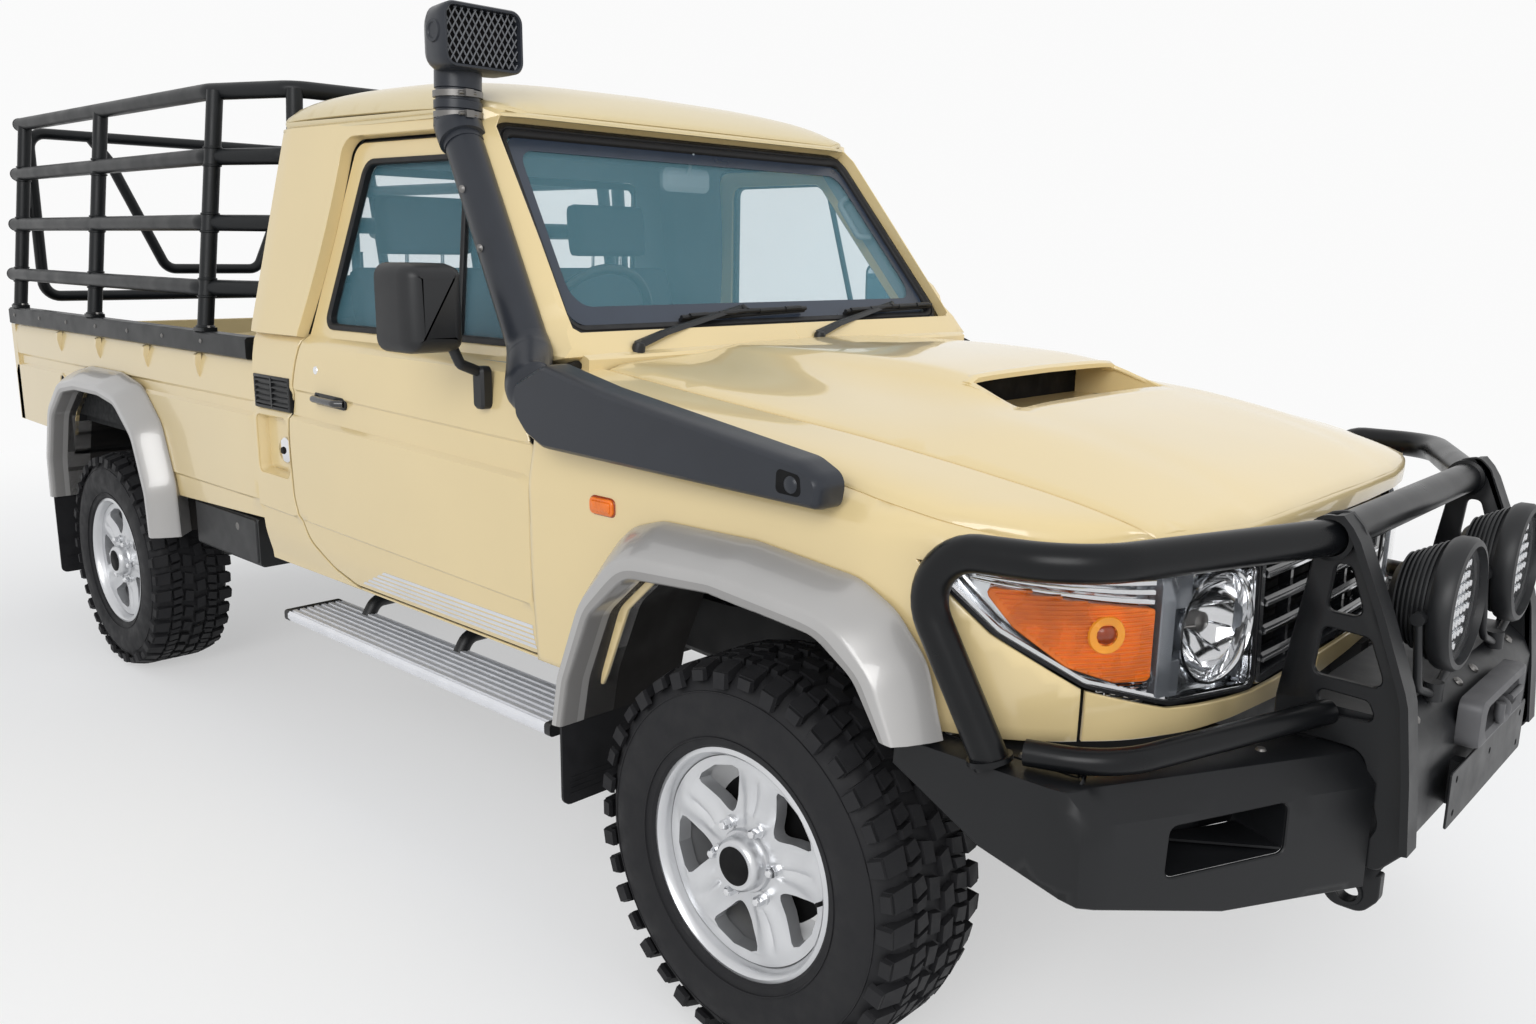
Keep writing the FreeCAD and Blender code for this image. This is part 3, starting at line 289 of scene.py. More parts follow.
def sweep(shape, route, section, mark=0):
    """Carry a closed section of (side, up) offsets along a route, without twist."""
    route = [np.array(point, float) for point in route]
    first = unit(route[1] - route[0])
    steep = abs(first @ np.array(UP, float)) > 0.92
    across = unit(np.cross(first, AHEAD if steep else UP))
    rise = unit(np.cross(across, first))
    rings = [[route[0] + across * a + rise * b for a, b in section]]
    for index in range(1, len(route)):
        direction = unit(route[index] - route[index - 1])
        facing = direction
        if index < len(route) - 1:
            facing = unit(direction + unit(route[index + 1] - route[index]))
        rings.append([point + direction * (facing @ (route[index] - point) / (facing @ direction))
                      for point in rings[-1]])
    return loft(shape, rings, mark)


def circle(radius, sides):
    return [(radius * math.cos(2 * math.pi * i / sides), radius * math.sin(2 * math.pi * i / sides))
            for i in range(sides)]


def tube(shape, points, radius, bend=0.0, sides=20, chords=8, mark=0):
    return sweep(shape, rounded(points, bend, chords), circle(radius, sides), mark)


def turns_left(outline):
    """Whether the closed flat outline runs anticlockwise."""
    return sum(p[0] * q[1] - q[0] * p[1] for p, q in zip(outline, outline[1:] + outline[:1])) > 0


def prism(shape, outline, plane, low, high, mark=0):
    """A closed outline in the plane xz, yz or xy, drawn out between two values of the third direction."""
    spots = {"xz": lambda a, b, c: (a, c, b), "yz": lambda a, b, c: (c, a, b),
             "xy": lambda a, b, c: (a, b, c)}
    outline = outline if turns_left(outline) else outline[::-1]
    if plane == "xz":
        outline = outline[::-1]
    return loft(shape, [[spots[plane](a, b, c) for a, b in outline] for c in (low, high)], mark)


def block(shape, x0, x1, y0, y1, z0, z1, mark=0):
    return prism(shape, [(x0, y0), (x1, y0), (x1, y1), (x0, y1)], "xy", z0, z1, mark)


def turned(shape, profile, centre, axis, lay, sides=64, mark=0):
    """Turn a closed outline of (radius, offset along the axis) about the axis, starting at lay."""
    axis, lay, centre = unit(axis), unit(lay), np.array(centre, float)
    side = np.cross(axis, lay)
    points, faces, count = [], [], len(profile)
    for index in range(sides):
        angle = 2 * math.pi * index / sides
        spoke = lay * math.cos(angle) + side * math.sin(angle)
        points += [centre + spoke * radius + axis * offset for radius, offset in profile]
        here, following = index * count, (index + 1) % sides * count
        for spot in range(count):
            other = (spot + 1) % count
            faces.append((here + spot, following + spot, following + other, here + other))
    return shape.add(points, faces, mark)


def screw_head(shape, top, edge, flat, radius, spot, axis, lay, sides, mark=0):
    """A low dome: heights in the middle and at the edge of its flat, then the flat's radius and its own."""
    return turned(shape, [(0.0, top), (flat, edge), (radius, 0.0), (0.0, 0.0)], spot, axis, lay, sides, mark)


def cylinder(shape, start, end, radius, sides=24, mark=0):
    return sweep(shape, [start, end], circle(radius, sides), mark)


# Wheels: all-terrain tyres on cast five-spoke rims

def tyre_body():
    """The carcass and its tread blocks about a wheel centre, turning about +Y as the outer side."""
    shape = Geometry()
    half = 0.1325
    base = 0.3745
    sides = 96
    outer = [(0.2165, half - 0.03), (0.222, half - 0.02), (0.232, half - 0.01), (0.243, half - 0.0085),
             (0.252, half - 0.004), (0.275, half - 0.0005), (0.3, half), (0.325, half - 0.004),
             (0.343, half - 0.012), (0.357, half - 0.021), (0.368, half - 0.031), (base, half - 0.045)]
    section = outer + [(base + 0.0012, 0.03), (base + 0.0012, -0.03)] + [(r, -s) for r, s in reversed(outer)]
    turned(shape, section, (0, 0, 0), LEFT, UP, sides)
    # Raised ribs on the sidewall
    for radius, width, height in ((0.247, 0.0022, 0.003), (0.334, 0.002, 0.002)):
        seat = np.interp(radius, [p[0] for p in outer], [p[1] for p in outer])
        for sign in (1, -1):
            rib = [(radius - width, sign * (seat - 0.002)), (radius - width / 2, sign * (seat + height)),
                   (radius + width / 2, sign * (seat + height)), (radius + width, sign * (seat - 0.002))]
            turned(shape, rib, (0, 0, 0), LEFT, UP, sides)
    pitches = 38
    tread_top = 0.3878
    draft = 0.0016

    def toward(way, shrink):
        return way / max(1e-6, abs(way)) * min(shrink, abs(way))

    def tread_block(outline, turn, drop=0.0):
        """A block whose outline is (arc, width) in metres on the tread's surface."""
        lower, upper = [], []
        middle_a = sum(p[0] for p in outline) / len(outline)
        middle_w = sum(p[1] for p in outline) / len(outline)
        for arc, width in outline:
            for store, shrink, radius in ((lower, 0.0, base - 0.006), (upper, draft, tread_top)):
                a = arc + toward(middle_a - arc, shrink)
                w = width + toward(middle_w - width, shrink)
                fall = drop * max(0.0, (abs(w) - 0.085) / 0.04) ** 1.6
                angle = turn + a / TYRE_RADIUS
                store.append(((radius - fall) * math.sin(angle), w, (radius - fall) * math.cos(angle)))
        loft(shape, [lower, upper])

    for number in range(pitches):
        turn = 2 * math.pi * number / pitches
        arc = 2 * math.pi * TYRE_RADIUS / pitches
        for side in (1, -1):
            shift = 0.0 if side > 0 else arc * 0.5
            here = turn + shift / TYRE_RADIUS
            long = number % 2 == 0
            edge = 0.1255 if long else 0.1215
            # Shoulder block, angled, with a step down over the shoulder
            shoulder = [(0.002, side * 0.079), (arc * 0.7, side * 0.083), (arc * 0.76, side * edge),
                        (0.008, side * edge)]
            tread_block(shoulder, here, drop=0.012)
            wall = [(0.01, side * (edge - 0.002)), (arc * 0.74, side * (edge - 0.002)),
                    (arc * 0.7, side * (edge + 0.0055)), (0.014, side * (edge + 0.0055))]
            lower, upper = [], []
            depth = 0.03 if long else 0.02
            shoulder_radius = 0.3755
            for arc_at, width in wall:
                angle = here + arc_at / TYRE_RADIUS
                upper.append((shoulder_radius * math.sin(angle), width, shoulder_radius * math.cos(angle)))
                inner = shoulder_radius - depth
                lower.append((inner * math.sin(angle), width + side * 0.003 * (abs(width) > edge),
                              inner * math.cos(angle)))
            loft(shape, [lower, upper])
            # Three middle blocks with slanted grooves between them
            tread_block([(0.001, side * 0.045), (arc * 0.46, side * 0.04), (arc * 0.58, side * 0.073),
                         (arc * 0.1, side * 0.075)], here)
            tread_block([(arc * 0.56, side * 0.042), (arc * 0.92, side * 0.047), (arc * 0.96, side * 0.075),
                         (arc * 0.66, side * 0.074)], here)
            tread_block([(arc * 0.3, side * 0.004), (arc * 0.92, side * 0.006), (arc * 0.84, side * 0.037),
                         (arc * 0.18, side * 0.034)], here)
    return shape


def rim_body():
    """A cast rim with five broad spokes, the face's depth varying from hub to lip, about the origin."""
    shape = Geometry()
    middle = (0, 0, 0)
    barrel = [(0.2155, -0.118), (0.2245, -0.117), (0.225, -0.11), (0.2165, -0.103), (0.205, -0.08),
              (0.197, -0.03), (0.197, 0.05), (0.2115, 0.086), (0.2165, 0.1035), (0.2255, 0.1095),
              (0.226, 0.1165), (0.218, 0.12), (0.212, 0.115), (0.2085, 0.104), (0.203, 0.088), (0.19, 0.05),
              (0.19, -0.03), (0.198, -0.08), (0.208, -0.105)]
    turned(shape, barrel, middle, LEFT, UP, 120)

    # The face is a disc with five windows, drawn as a net over radius and angle
    def height(radius, angle):
        phase = math.cos(5 * angle)
        crown = 0.083 + 0.02 * np.interp(radius, [0.06, 0.085, 0.12, 0.17, 0.204],
                                         [0.25, 0.1, -0.1, 0.25, 0.55])
        ridge = 0.013 * max(0.0, phase) ** 1.2 * np.interp(radius, [0.06, 0.1, 0.17, 0.204],
                                                           [0.2, 1, 0.8, 0.1])
        groove = 0.009 * math.exp(-((math.atan2(math.sin(5 * angle), math.cos(5 * angle)) / 0.3) ** 2))
        groove *= np.interp(radius, [0.075, 0.105, 0.16, 0.185], [0, 1, 1, 0])
        return crown + ridge - groove

    def window_half(radius):
        """Half the angle of the window at this radius, or zero where there is none."""
        return np.interp(radius, [0.094, 0.097, 0.105, 0.125, 0.15, 0.172, 0.182, 0.186, 0.1875],
                         [0, 0.085, 0.15, 0.225, 0.3, 0.345, 0.33, 0.2, 0])

    radii = [0.058, 0.07, 0.082, 0.0935, 0.0965, 0.101, 0.11, 0.125, 0.14, 0.155, 0.17, 0.179, 0.1845,
             0.1875, 0.194, 0.2035]
    per_spoke = 22
    for spoke in range(5):
        turn = 2 * math.pi * spoke / 5
        spots = []
        for radius in radii:
            half = math.pi / 5 - window_half(radius)
            spots += [(radius, turn + half * math.sin((-1 + 2 * step / per_spoke) * math.pi / 2))
                      for step in range(per_spoke + 1)]
        front = [(r * math.sin(a), height(r, a - turn), r * math.cos(a)) for r, a in spots]
        back = [(r * math.sin(a) * 0.99, height(r, a - turn) - 0.03, r * math.cos(a) * 0.99)
                for r, a in spots]
        width, total = per_spoke + 1, len(spots)
        faces = []
        for low in range(0, total - width, width):
            for a in range(low, low + per_spoke):
                b, c, d = a + 1, a + width + 1, a + width
                faces.append((a, b, c, d))
                faces.append((total + d, total + c, total + b, total + a))
            a, d = low, low + width
            faces.append((d, total + d, total + a, a))
            a, d = low + per_spoke, low + width + per_spoke
            faces.append((a, total + a, total + d, d))
        shape.add(front + back, faces)
    # Hub: a raised boss, a cap with a bare black disc, and wheel nuts round it
    boss = [(0.0, 0.05), (0.062, 0.05), (0.062, 0.092), (0.059, 0.0965), (0.0, 0.0965)]
    turned(shape, boss, middle, LEFT, UP, 48)
    cap = [(0.0, 0.09), (0.054, 0.09), (0.0535, 0.108), (0.051, 0.119), (0.046, 0.1235), (0.0, 0.124)]
    turned(shape, cap, middle, LEFT, UP, 48)
    disc = [(0.0, 0.12), (0.0375, 0.12), (0.0375, 0.125), (0.036, 0.1258), (0.0, 0.1262)]
    turned(shape, disc, middle, LEFT, UP, 36, mark=1)
    for number in range(6):
        angle = math.pi * number / 3 + 0.26
        centre = np.array((0.0765 * math.sin(angle), 0.0, 0.0765 * math.cos(angle)))
        turned(shape, [(0.0, 0.078), (0.0135, 0.078), (0.0135, 0.092), (0.0, 0.092)], centre, LEFT, UP, 24)
        turned(shape, [(0.0, 0.085), (0.0105, 0.085), (0.0105, 0.108), (0.007, 0.113), (0.0, 0.114)],
               centre, LEFT, UP, 6, mark=2)
    # Brake disc seen through the windows
    turned(shape, [(0.0, 0.01), (0.15, 0.01), (0.15, 0.022), (0.0, 0.022)], middle, LEFT, UP, 48, mark=1)
    # Valve stem
    cylinder(shape, (0.196, 0.08, 0.02), (0.19, 0.108, 0.02), 0.0042, 10, mark=1)
    return shape


def placed(geometry, x, side, track, turn):
    """A wheel's shape at its axle end, turned about the axle; side is -1 on the right."""
    result = Geometry()
    spin_cos, spin_sin = math.cos(turn), math.sin(turn)
    for px, py, pz in geometry.points:
        rx = px * spin_cos + pz * spin_sin
        rz = -px * spin_sin + pz * spin_cos
        result.points.append((x + rx, side * (track + py), HUB_Z + rz))
    result.faces = [face[::-1] if side > 0 else face for face in geometry.faces]
    result.marks = geometry.marks
    return result


tyre_shape = tyre_body()
rim_shape = rim_body()
for where, x, side, track, turn in (("front_right", FRONT_AXLE_X, -1, FRONT_TRACK, 0.16),
                                    ("front_left", FRONT_AXLE_X, 1, FRONT_TRACK, 0.5),
                                    ("rear_right", REAR_AXLE_X, -1, REAR_TRACK, 0.35),
                                    ("rear_left", REAR_AXLE_X, 1, REAR_TRACK, 0.9)):
    body = "wheel_" + where
    piece("tread_" + where, placed(tyre_shape, x, side, track, turn), [RUBBER], body, angle=28,
          stands_for=["tyre_" + where])
    piece("cast_rim_" + where, placed(rim_shape, x, side, track, turn), [SILVER, MATTE, CHROME],
          body, stands_for=["rim_" + where])


# Skins: a flat outline carried onto a curved surface, with a thickness and a small rolled edge

def smooth_curve(xs, ys):
    """A monotone cubic through the points, as a function."""
    xs, ys = np.array(xs, float), np.array(ys, float)
    if xs[0] > xs[-1]:
        xs, ys = xs[::-1], ys[::-1]
    step, rise = np.diff(xs), np.diff(ys)
    slope = rise / step
    tangents = np.zeros(len(xs))
    tangents[0], tangents[-1] = slope[0], slope[-1]
    for i in range(1, len(xs) - 1):
        if slope[i - 1] * slope[i] > 0:
            w0, w1 = 2 * step[i] + step[i - 1], step[i] + 2 * step[i - 1]
            tangents[i] = (w0 + w1) / (w0 / slope[i - 1] + w1 / slope[i])

    def value(x):
        x = min(max(x, xs[0]), xs[-1])
        i = min(int(np.searchsorted(xs, x, side="right")) - 1, len(xs) - 2)
        t = (x - xs[i]) / step[i]
        return float((2 * t ** 3 - 3 * t ** 2 + 1) * ys[i] + (t ** 3 - 2 * t ** 2 + t) * step[i] * tangents[i]
                     + (3 * t ** 2 - 2 * t ** 3) * ys[i + 1] + (t ** 3 - t ** 2) * step[i] * tangents[i + 1])
    return value


def round_corners(outline, radius, chords=4):
    """A closed flat outline with its corners rounded; radius is one number or one per corner."""
    count = len(outline)
    radii = radius if isinstance(radius, (list, tuple)) else [radius] * count
    result = []
    for i in range(count):
        before = np.array(outline[i - 1], float)
        here = np.array(outline[i], float)
        after = np.array(outline[(i + 1) % count], float)
        into, out = here - before, after - here
        long_in, long_out = np.linalg.norm(into), np.linalg.norm(out)
        into, out = into / long_in, out / long_out
        turn = math.acos(max(-1.0, min(1.0, float(into @ out))))
        if turn < 0.03 or radii[i] <= 0:
            result.append(tuple(here))
            continue
        reach = min(radii[i] * math.tan(turn / 2), 0.45 * min(long_in, long_out))
        arc = reach / math.tan(turn / 2)
        inward = unit(out - into)
        centre = here + inward * (arc / math.cos(turn / 2))
        side = unit(here - into * reach - centre)
        for step in range(chords + 1):
            angle = turn * step / chords
            result.append(tuple(centre + side * arc * math.cos(angle) + into * arc * math.sin(angle)))
    return result


def rounded_box(a0, a1, b0, b1, radius, chords=4):
    return round_corners([(a0, b0), (a0, b1), (a1, b1), (a1, b0)], radius, chords)


def circle_at(a, b, radius, sides):
    """A ring of points, as a hole in a flat outline."""
    return [(a + radius * math.cos(t), b + radius * math.sin(t))
            for t in np.linspace(0, 2 * math.pi, sides, endpoint=False)]


def grown(outline, gap):
    """The closed outline moved outward by the gap."""
    sign = 1 if turns_left(outline) else -1
    result = []
    count = len(outline)
    for i in range(count):
        before, here, after = (np.array(outline[k % count], float) for k in (i - 1, i, i + 1))
        one, two = unit(here - before), unit(after - here)
        first, second = np.array((one[1], -one[0])), np.array((two[1], -two[0]))
        middle = first + second
        middle = middle / max(1e-9, float(middle @ middle)) * 2
        result.append(tuple(here + sign * gap * middle))
    return result


def inside(outline, spots):
    outline = np.array(outline, float)
    spots = np.array(spots, float)
    found = np.zeros(len(spots), bool)
    for (ax, ay), (bx, by) in zip(outline, np.roll(outline, -1, axis=0)):
        if ay == by:
            continue
        crosses = ((ay > spots[:, 1]) != (by > spots[:, 1])) & (
            spots[:, 0] < (bx - ax) * (spots[:, 1] - ay) / (by - ay) + ax)
        found ^= crosses
    return found


def divided(outline, step):
    result = []
    for p, q in zip(outline, outline[1:] + outline[:1]):
        p, q = np.array(p, float), np.array(q, float)
        parts = max(1, int(math.ceil(np.linalg.norm(q - p) / step)))
        result.extend([tuple(p + (q - p) * i / parts) for i in range(parts)])
    return result


def skin(shape, outline, surface, step=0.03, depth=0.012, holes=(), mark=0, lip=0.0016, creases=()):
    """A closed sheet over the outline, on the surface that gives a point for each (a, b).

    Each crease gives the b of a pressed line at a, and points are laid along it."""
    rings = []
    for loop, outer in [(outline, True)] + [(hole, False) for hole in holes]:
        rings.append(divided(loop if turns_left(loop) == outer else loop[::-1], step))
    shrunk = [grown(ring, -lip if index == 0 else lip) for index, ring in enumerate(rings)]
    flat, limits, start = [], [], []
    for ring in shrunk:
        start.append(len(flat))
        flat.extend(ring)
        limits.extend([(start[-1] + i, start[-1] + (i + 1) % len(ring)) for i in range(len(ring))])
    (a0, b0), (a1, b1) = np.min(flat, axis=0), np.max(flat, axis=0)
    grid = []
    for a in np.arange(a0 + step / 2, a1, step):
        lines = [crease(a) for crease in creases]
        grid += [(a, b) for b in np.arange(b0 + step / 2, b1, step)
                 if all(abs(b - line) > 0.4 * step for line in lines)]
        grid += [(a, line) for line in lines if b0 < line < b1]
    if grid:
        keep = inside(shrunk[0], grid)
        for hole in shrunk[1:]:
            keep &= ~inside(hole, grid)
        rim = np.array(flat, float)
        for spot, good in zip(grid, keep):
            if good and np.min(np.hypot(rim[:, 0] - spot[0], rim[:, 1] - spot[1])) > 0.45 * step:
                flat.append(spot)
    result = delaunay_2d_cdt([Vector(p) for p in flat], limits, [], 0, 1e-6)
    spots, triangles = [tuple(p) for p in result[0]], [tuple(t) for t in result[2]]
    middles = [np.mean([spots[i] for i in t], axis=0) for t in triangles]
    keep = inside(shrunk[0], middles)
    for hole in shrunk[1:]:
        keep &= ~inside(hole, middles)
    triangles = [t for t, good in zip(triangles, keep) if good]

    def point(a, b, sink):
        here = np.array(surface(a, b), float)
        along = np.array(surface(a + 1e-4, b), float) - np.array(surface(a - 1e-4, b), float)
        aside = np.array(surface(a, b + 1e-4), float) - np.array(surface(a, b - 1e-4), float)
        return here - unit(np.cross(along, aside)) * sink

    index_of = {(round(a, 5), round(b, 5)): index for index, (a, b) in enumerate(spots)}
    top = [point(a, b, 0.0) for a, b in spots]
    low = [point(a, b, depth) for a, b in spots]
    count = len(spots)
    points = top + low
    faces = triangles + [tuple(count + i for i in reversed(t)) for t in triangles]
    for ring, inner in zip(rings, shrunk):
        base = len(points)
        size = len(ring)
        points.extend([point(a, b, lip) for a, b in ring])
        points.extend([point(a, b, max(lip, depth - lip)) for a, b in ring])
        ids = [index_of.get((round(p[0], 5), round(p[1], 5))) for p in inner]
        if None in ids:
            ids = [int(np.argmin([(s[0] - p[0]) ** 2 + (s[1] - p[1]) ** 2 for s in spots])) for p in inner]
        for i in range(size):
            j = (i + 1) % size
            if ids[i] != ids[j]:
                faces.append((ids[i], base + i, base + j, ids[j]))
                faces.append((count + ids[j], base + size + j, base + size + i, count + ids[i]))
            faces.append((base + i, base + size + i, base + size + j, base + j))
    return shape.add(points, faces, mark)


def band(shape, outer, inner, surface, section, mark=0):
    """A closed ring between two matching outlines; section holds (share inward, proud) pairs."""
    rings = []
    for a, b in zip(list(outer) + [outer[0]], list(inner) + [inner[0]]):
        ring = []
        for share, proud in section:
            spot = (a[0] + (b[0] - a[0]) * share, a[1] + (b[1] - a[1]) * share)
            ring.append(surface(proud)(*spot))
        rings.append(ring)
    return loft(shape, rings, mark, caps=False)


# Nose: plan line along the side and round the corner, and heights from the cab to the grille

plan_line = rounded([(0.8, 0.848, 0), (1.9, 0.848, 0), (2.02, 0.833, 0), (2.115, 0.795, 0), (2.2, 0.735, 0),
                     (2.275, 0.64, 0), (2.328, 0.505, 0), (2.346, 0.38, 0), (2.353, 0.2, 0),
                     (2.355, -0.01, 0)], [0.5, 0.4, 0.4, 0.35, 0.35, 0.4, 0.6, 1.0], 6)
plan_points = np.array(plan_line)[:, :2]
plan_reach = 0.8 + np.concatenate([[0], np.cumsum(np.linalg.norm(np.diff(plan_points, axis=0), axis=1))])


def plan_at(t):
    x = np.interp(t, plan_reach, plan_points[:, 0])
    y = np.interp(t, plan_reach, plan_points[:, 1])
    ahead = min(t + 0.02, plan_reach[-1])
    behind = max(t - 0.02, plan_reach[0])
    dx = np.interp(ahead, plan_reach, plan_points[:, 0]) - np.interp(behind, plan_reach, plan_points[:, 0])
    dy = np.interp(ahead, plan_reach, plan_points[:, 1]) - np.interp(behind, plan_reach, plan_points[:, 1])
    length = math.hypot(dx, dy)
    return x, y, -dy / length, dx / length


station_x = [0.95, 1.3, 1.55, 1.718, 1.852, 2.002, 2.139, 2.25, 2.31, 2.36]
shut_y_at = smooth_curve(station_x, [0.672, 0.66, 0.648, 0.64, 0.634, 0.628, 0.622, 0.616, 0.613, 0.61])
shut_z_at = smooth_curve(station_x, [1.262, 1.224, 1.198, 1.181, 1.164, 1.143, 1.121, 1.095, 1.074, 1.045])
side_z_at = smooth_curve(station_x, [1.281, 1.258, 1.238, 1.225, 1.213, 1.19, 1.16, 1.128, 1.102, 1.066])
crown_z_at = smooth_curve(station_x, [1.294, 1.296, 1.288, 1.268, 1.222, 1.198, 1.17, 1.138, 1.11, 1.074])


def bonnet_height(x, y):
    """The bonnet's top: a raised middle field with soft shoulders, falling to the shut lines."""
    y = abs(y)
    edge = shut_y_at(x)
    marks = [0.0, 0.2, 0.285, 0.325, 0.4, edge - 0.045, edge, edge + 0.12]
    crown, side, shut = crown_z_at(x), side_z_at(x), shut_z_at(x)
    heights = [crown + 0.004, crown + 0.002, crown - 0.001, (crown + side) / 2, side + 0.001, shut + 0.012,
               shut, shut - 0.03]
    return np.interp(y, marks, heights) * 0.35 + 0.65 * smooth_curve(marks, heights)(y)


def bonnet_surface(x, y):
    return (x, y, bonnet_height(x, y))


def nose_side(t, b):
    """The fender and the nose below the shoulder, at the distance t along the plan line and height b."""
    x, y, nx, ny = plan_at(t)
    shut_z = shut_z_at(min(x, 2.3))
    crease = min(1.012 + 0.074 * (x - 0.95), 1.076)
    top_z = shut_z - 0.045
    crease = min(crease, top_z - 0.02)
    lean = min(0.042, 0.018 + 0.5 * (top_z - crease))
    heights = [0.56, 0.7, 0.82, crease - 0.06, crease, (crease + top_z) / 2, top_z, top_z + 0.02]
    insets = [0.016, 0.008, 0.002, 0.001, 0.0, 0.45 * lean, lean, lean + 0.012]
    d = 0.5 * np.interp(b, heights, insets) + 0.5 * smooth_curve(heights, insets)(b)
    return (x - nx * d, y - ny * d, b)


# Bonnet with its air intake

def build_nose():
    front = [(x, y) for x, y in plan_points if 0.0 < y < 0.612]
    edge_x = max(x for x, y in plan_points if y > 0.605)
    left = [(1.022, 0.0), (1.022, shut_y_at(1.022) - 0.003)]
    left += [(x, shut_y_at(x) - 0.003) for x in np.linspace(1.08, edge_x - 0.004, 24)]
    left += [(x - 0.001, y) for x, y in front]
    left.append((plan_points[-1][0] - 0.001, 0.0))
    outline = left[1:-1] + [(x, -y) for x, y in reversed(left[1:-1])]
    intake = round_corners([(1.716, -0.297), (1.716, 0.297), (1.846, 0.312), (1.846, -0.312)], 0.014)
    bonnet = Geometry()
    skin(bonnet, outline, bonnet_surface, 0.03, 0.01, holes=[intake], lip=0.002)
    # The front edge turns down to the lamps and the grille
    lip_route = [(x - 0.001, y) for x, y in left[1:-1] if x > 2.2]
    lip_route = lip_route + [(x, -y) for x, y in reversed(lip_route)]
    rings = []
    lip_bottom = 1.043
    for x, y in lip_route:
        z = bonnet_height(x, y)
        drop = max(0.01, z - lip_bottom)
        rings.append([(x - 0.016, y * 0.995, z - 0.004), (x - 0.001, y, z - 0.0005),
                      (x + 0.0035, y * 1.001, z - 0.006), (x + 0.0045, y * 1.001, z - drop * 0.5),
                      (x + 0.0025, y * 1.001, z - drop), (x - 0.012, y * 0.995, z - drop),
                      (x - 0.014, y * 0.995, z - drop * 0.5)])
    loft(bonnet, rings)
    piece("bonnet_skin", bonnet, [PAINT], "bonnet_lid", angle=50, stands_for=["bonnet"])
    # Raised lip behind the mouth, and the dark duct below it
    hood = Geometry()
    mouth_half, duct_half = 0.306, 0.309
    rows = []
    for step in range(25):
        y = -mouth_half + 2 * mouth_half * step / 24
        fade = 1.0 - (abs(y) / mouth_half) ** 6
        z = bonnet_height(1.7, y)
        rows.append([(1.69, y, z - 0.002), (1.704, y, z + 0.004 * fade), (1.718, y, z + 0.0035 * fade),
                     (1.7235, y, z - 0.003), (1.7215, y, z - 0.013), (1.708, y, z - 0.016),
                     (1.69, y, z - 0.014)])
    loft(hood, rows)
    piece("intake_lip", hood, [PAINT], "bonnet_lid", angle=50)
    duct = Geometry()
    rows = []
    for step in range(13):
        y = -duct_half + 2 * duct_half * step / 12
        rows.append([(1.852, y, bonnet_height(1.852, y) - 0.01), (1.79, y, 1.203), (1.7, y, 1.188),
                     (1.61, y, 1.19), (1.61, y, 1.18), (1.7, y, 1.178), (1.8, y, 1.19),
                     (1.856, y, bonnet_height(1.856, y) - 0.02)])
    loft(duct, rows)
    for y in (-duct_half, duct_half):
        prism(duct, [(1.852, 1.212), (1.79, 1.2), (1.61, 1.184), (1.61, 1.25), (1.716, 1.256),
                     (1.79, 1.236)], "xz", y - 0.003, y + 0.003)
    prism(duct, [(-duct_half, 1.184), (duct_half, 1.184), (duct_half, 1.258), (-duct_half, 1.258)], "yz",
          1.612, 1.616, 1)
    piece("intake_duct", duct, [PAINT, MATTE], "bonnet_lid")


def side_t(y):
    """How far along the plan line the nose is, at the given distance from the middle."""
    return float(np.interp(-y, -plan_points[:, 1], plan_reach))


def build_fenders():
    arch = [(1.205, 0.64), (1.285, 0.8), (1.395, 0.898), (1.6, 0.914), (1.85, 0.892), (1.935, 0.84),
            (2.007, 0.748)]
    rear_edge = 0.964
    lamp_corner = side_t(0.8365)
    end = side_t(0.618)

    def surface(t, b):
        x, y, z = nose_side(t, b)
        return (x, -y, z)

    def shoulder(t):
        return max(shut_z_at(min(plan_at(t)[0], 2.3)) - 0.045, 1.043)
    outline = [(rear_edge, 0.615), (1.19, 0.615)] + arch + [(side_t(0.703), 0.748), (side_t(0.703), 0.838),
                                                        (side_t(0.796), 0.925), (lamp_corner, 1.032),
                                                        (side_t(0.66), 1.037), (end, 1.039)]
    outline += [(t, shoulder(t)) for t in np.linspace(end, rear_edge, 34)]
    half = Geometry()
    skin(half, outline, surface, 0.024, 0.01, lip=0.0018)
    # Over the shoulder to the shut line
    rings = []
    for t in np.concatenate([np.linspace(rear_edge, lamp_corner, 40), np.linspace(lamp_corner, end, 18)[1:]]):
        low = np.array(nose_side(t, shoulder(t)))
        x = float(np.interp(t, [rear_edge, lamp_corner, end], [rear_edge, 2.085, 2.288]))
        high = np.array((x, shut_y_at(x) + 0.003, shut_z_at(x)))
        low[2] = min(shoulder(t), high[2] - 0.004)
        span = np.linalg.norm((high - low)[:2])
        lift = min(0.034, 0.3 * span + 0.006, high[2] - low[2])
        first = low + (high - low) * np.array((0.05, 0.05, 0.0)) + np.array((0, 0, lift))
        second = high + (low - high) * np.array((0.45, 0.45, 0.0)) - np.array((0, 0, 0.1 * lift))
        outer = []
        for v in np.linspace(0, 1, 11):
            outer.append((1 - v) ** 3 * low + 3 * v * (1 - v) ** 2 * first + 3 * v * v * (1 - v) * second
                         + v ** 3 * high)
        sink = np.array((0, 0, 0.008))
        lining = [p - sink + (high - low) * np.array((0.04, 0.04, 0)) for p in reversed(outer)]
        lip = outer[-1] - np.array((0, 0.002, 0.004))
        rings.append([(p[0], -p[1], p[2]) for p in outer + [lip] + lining])
    loft(half, rings)
    on_both_sides([("fender_skin_{}", half, [PAINT], "paint", ["fender_{}"])], "vehicle", 50)


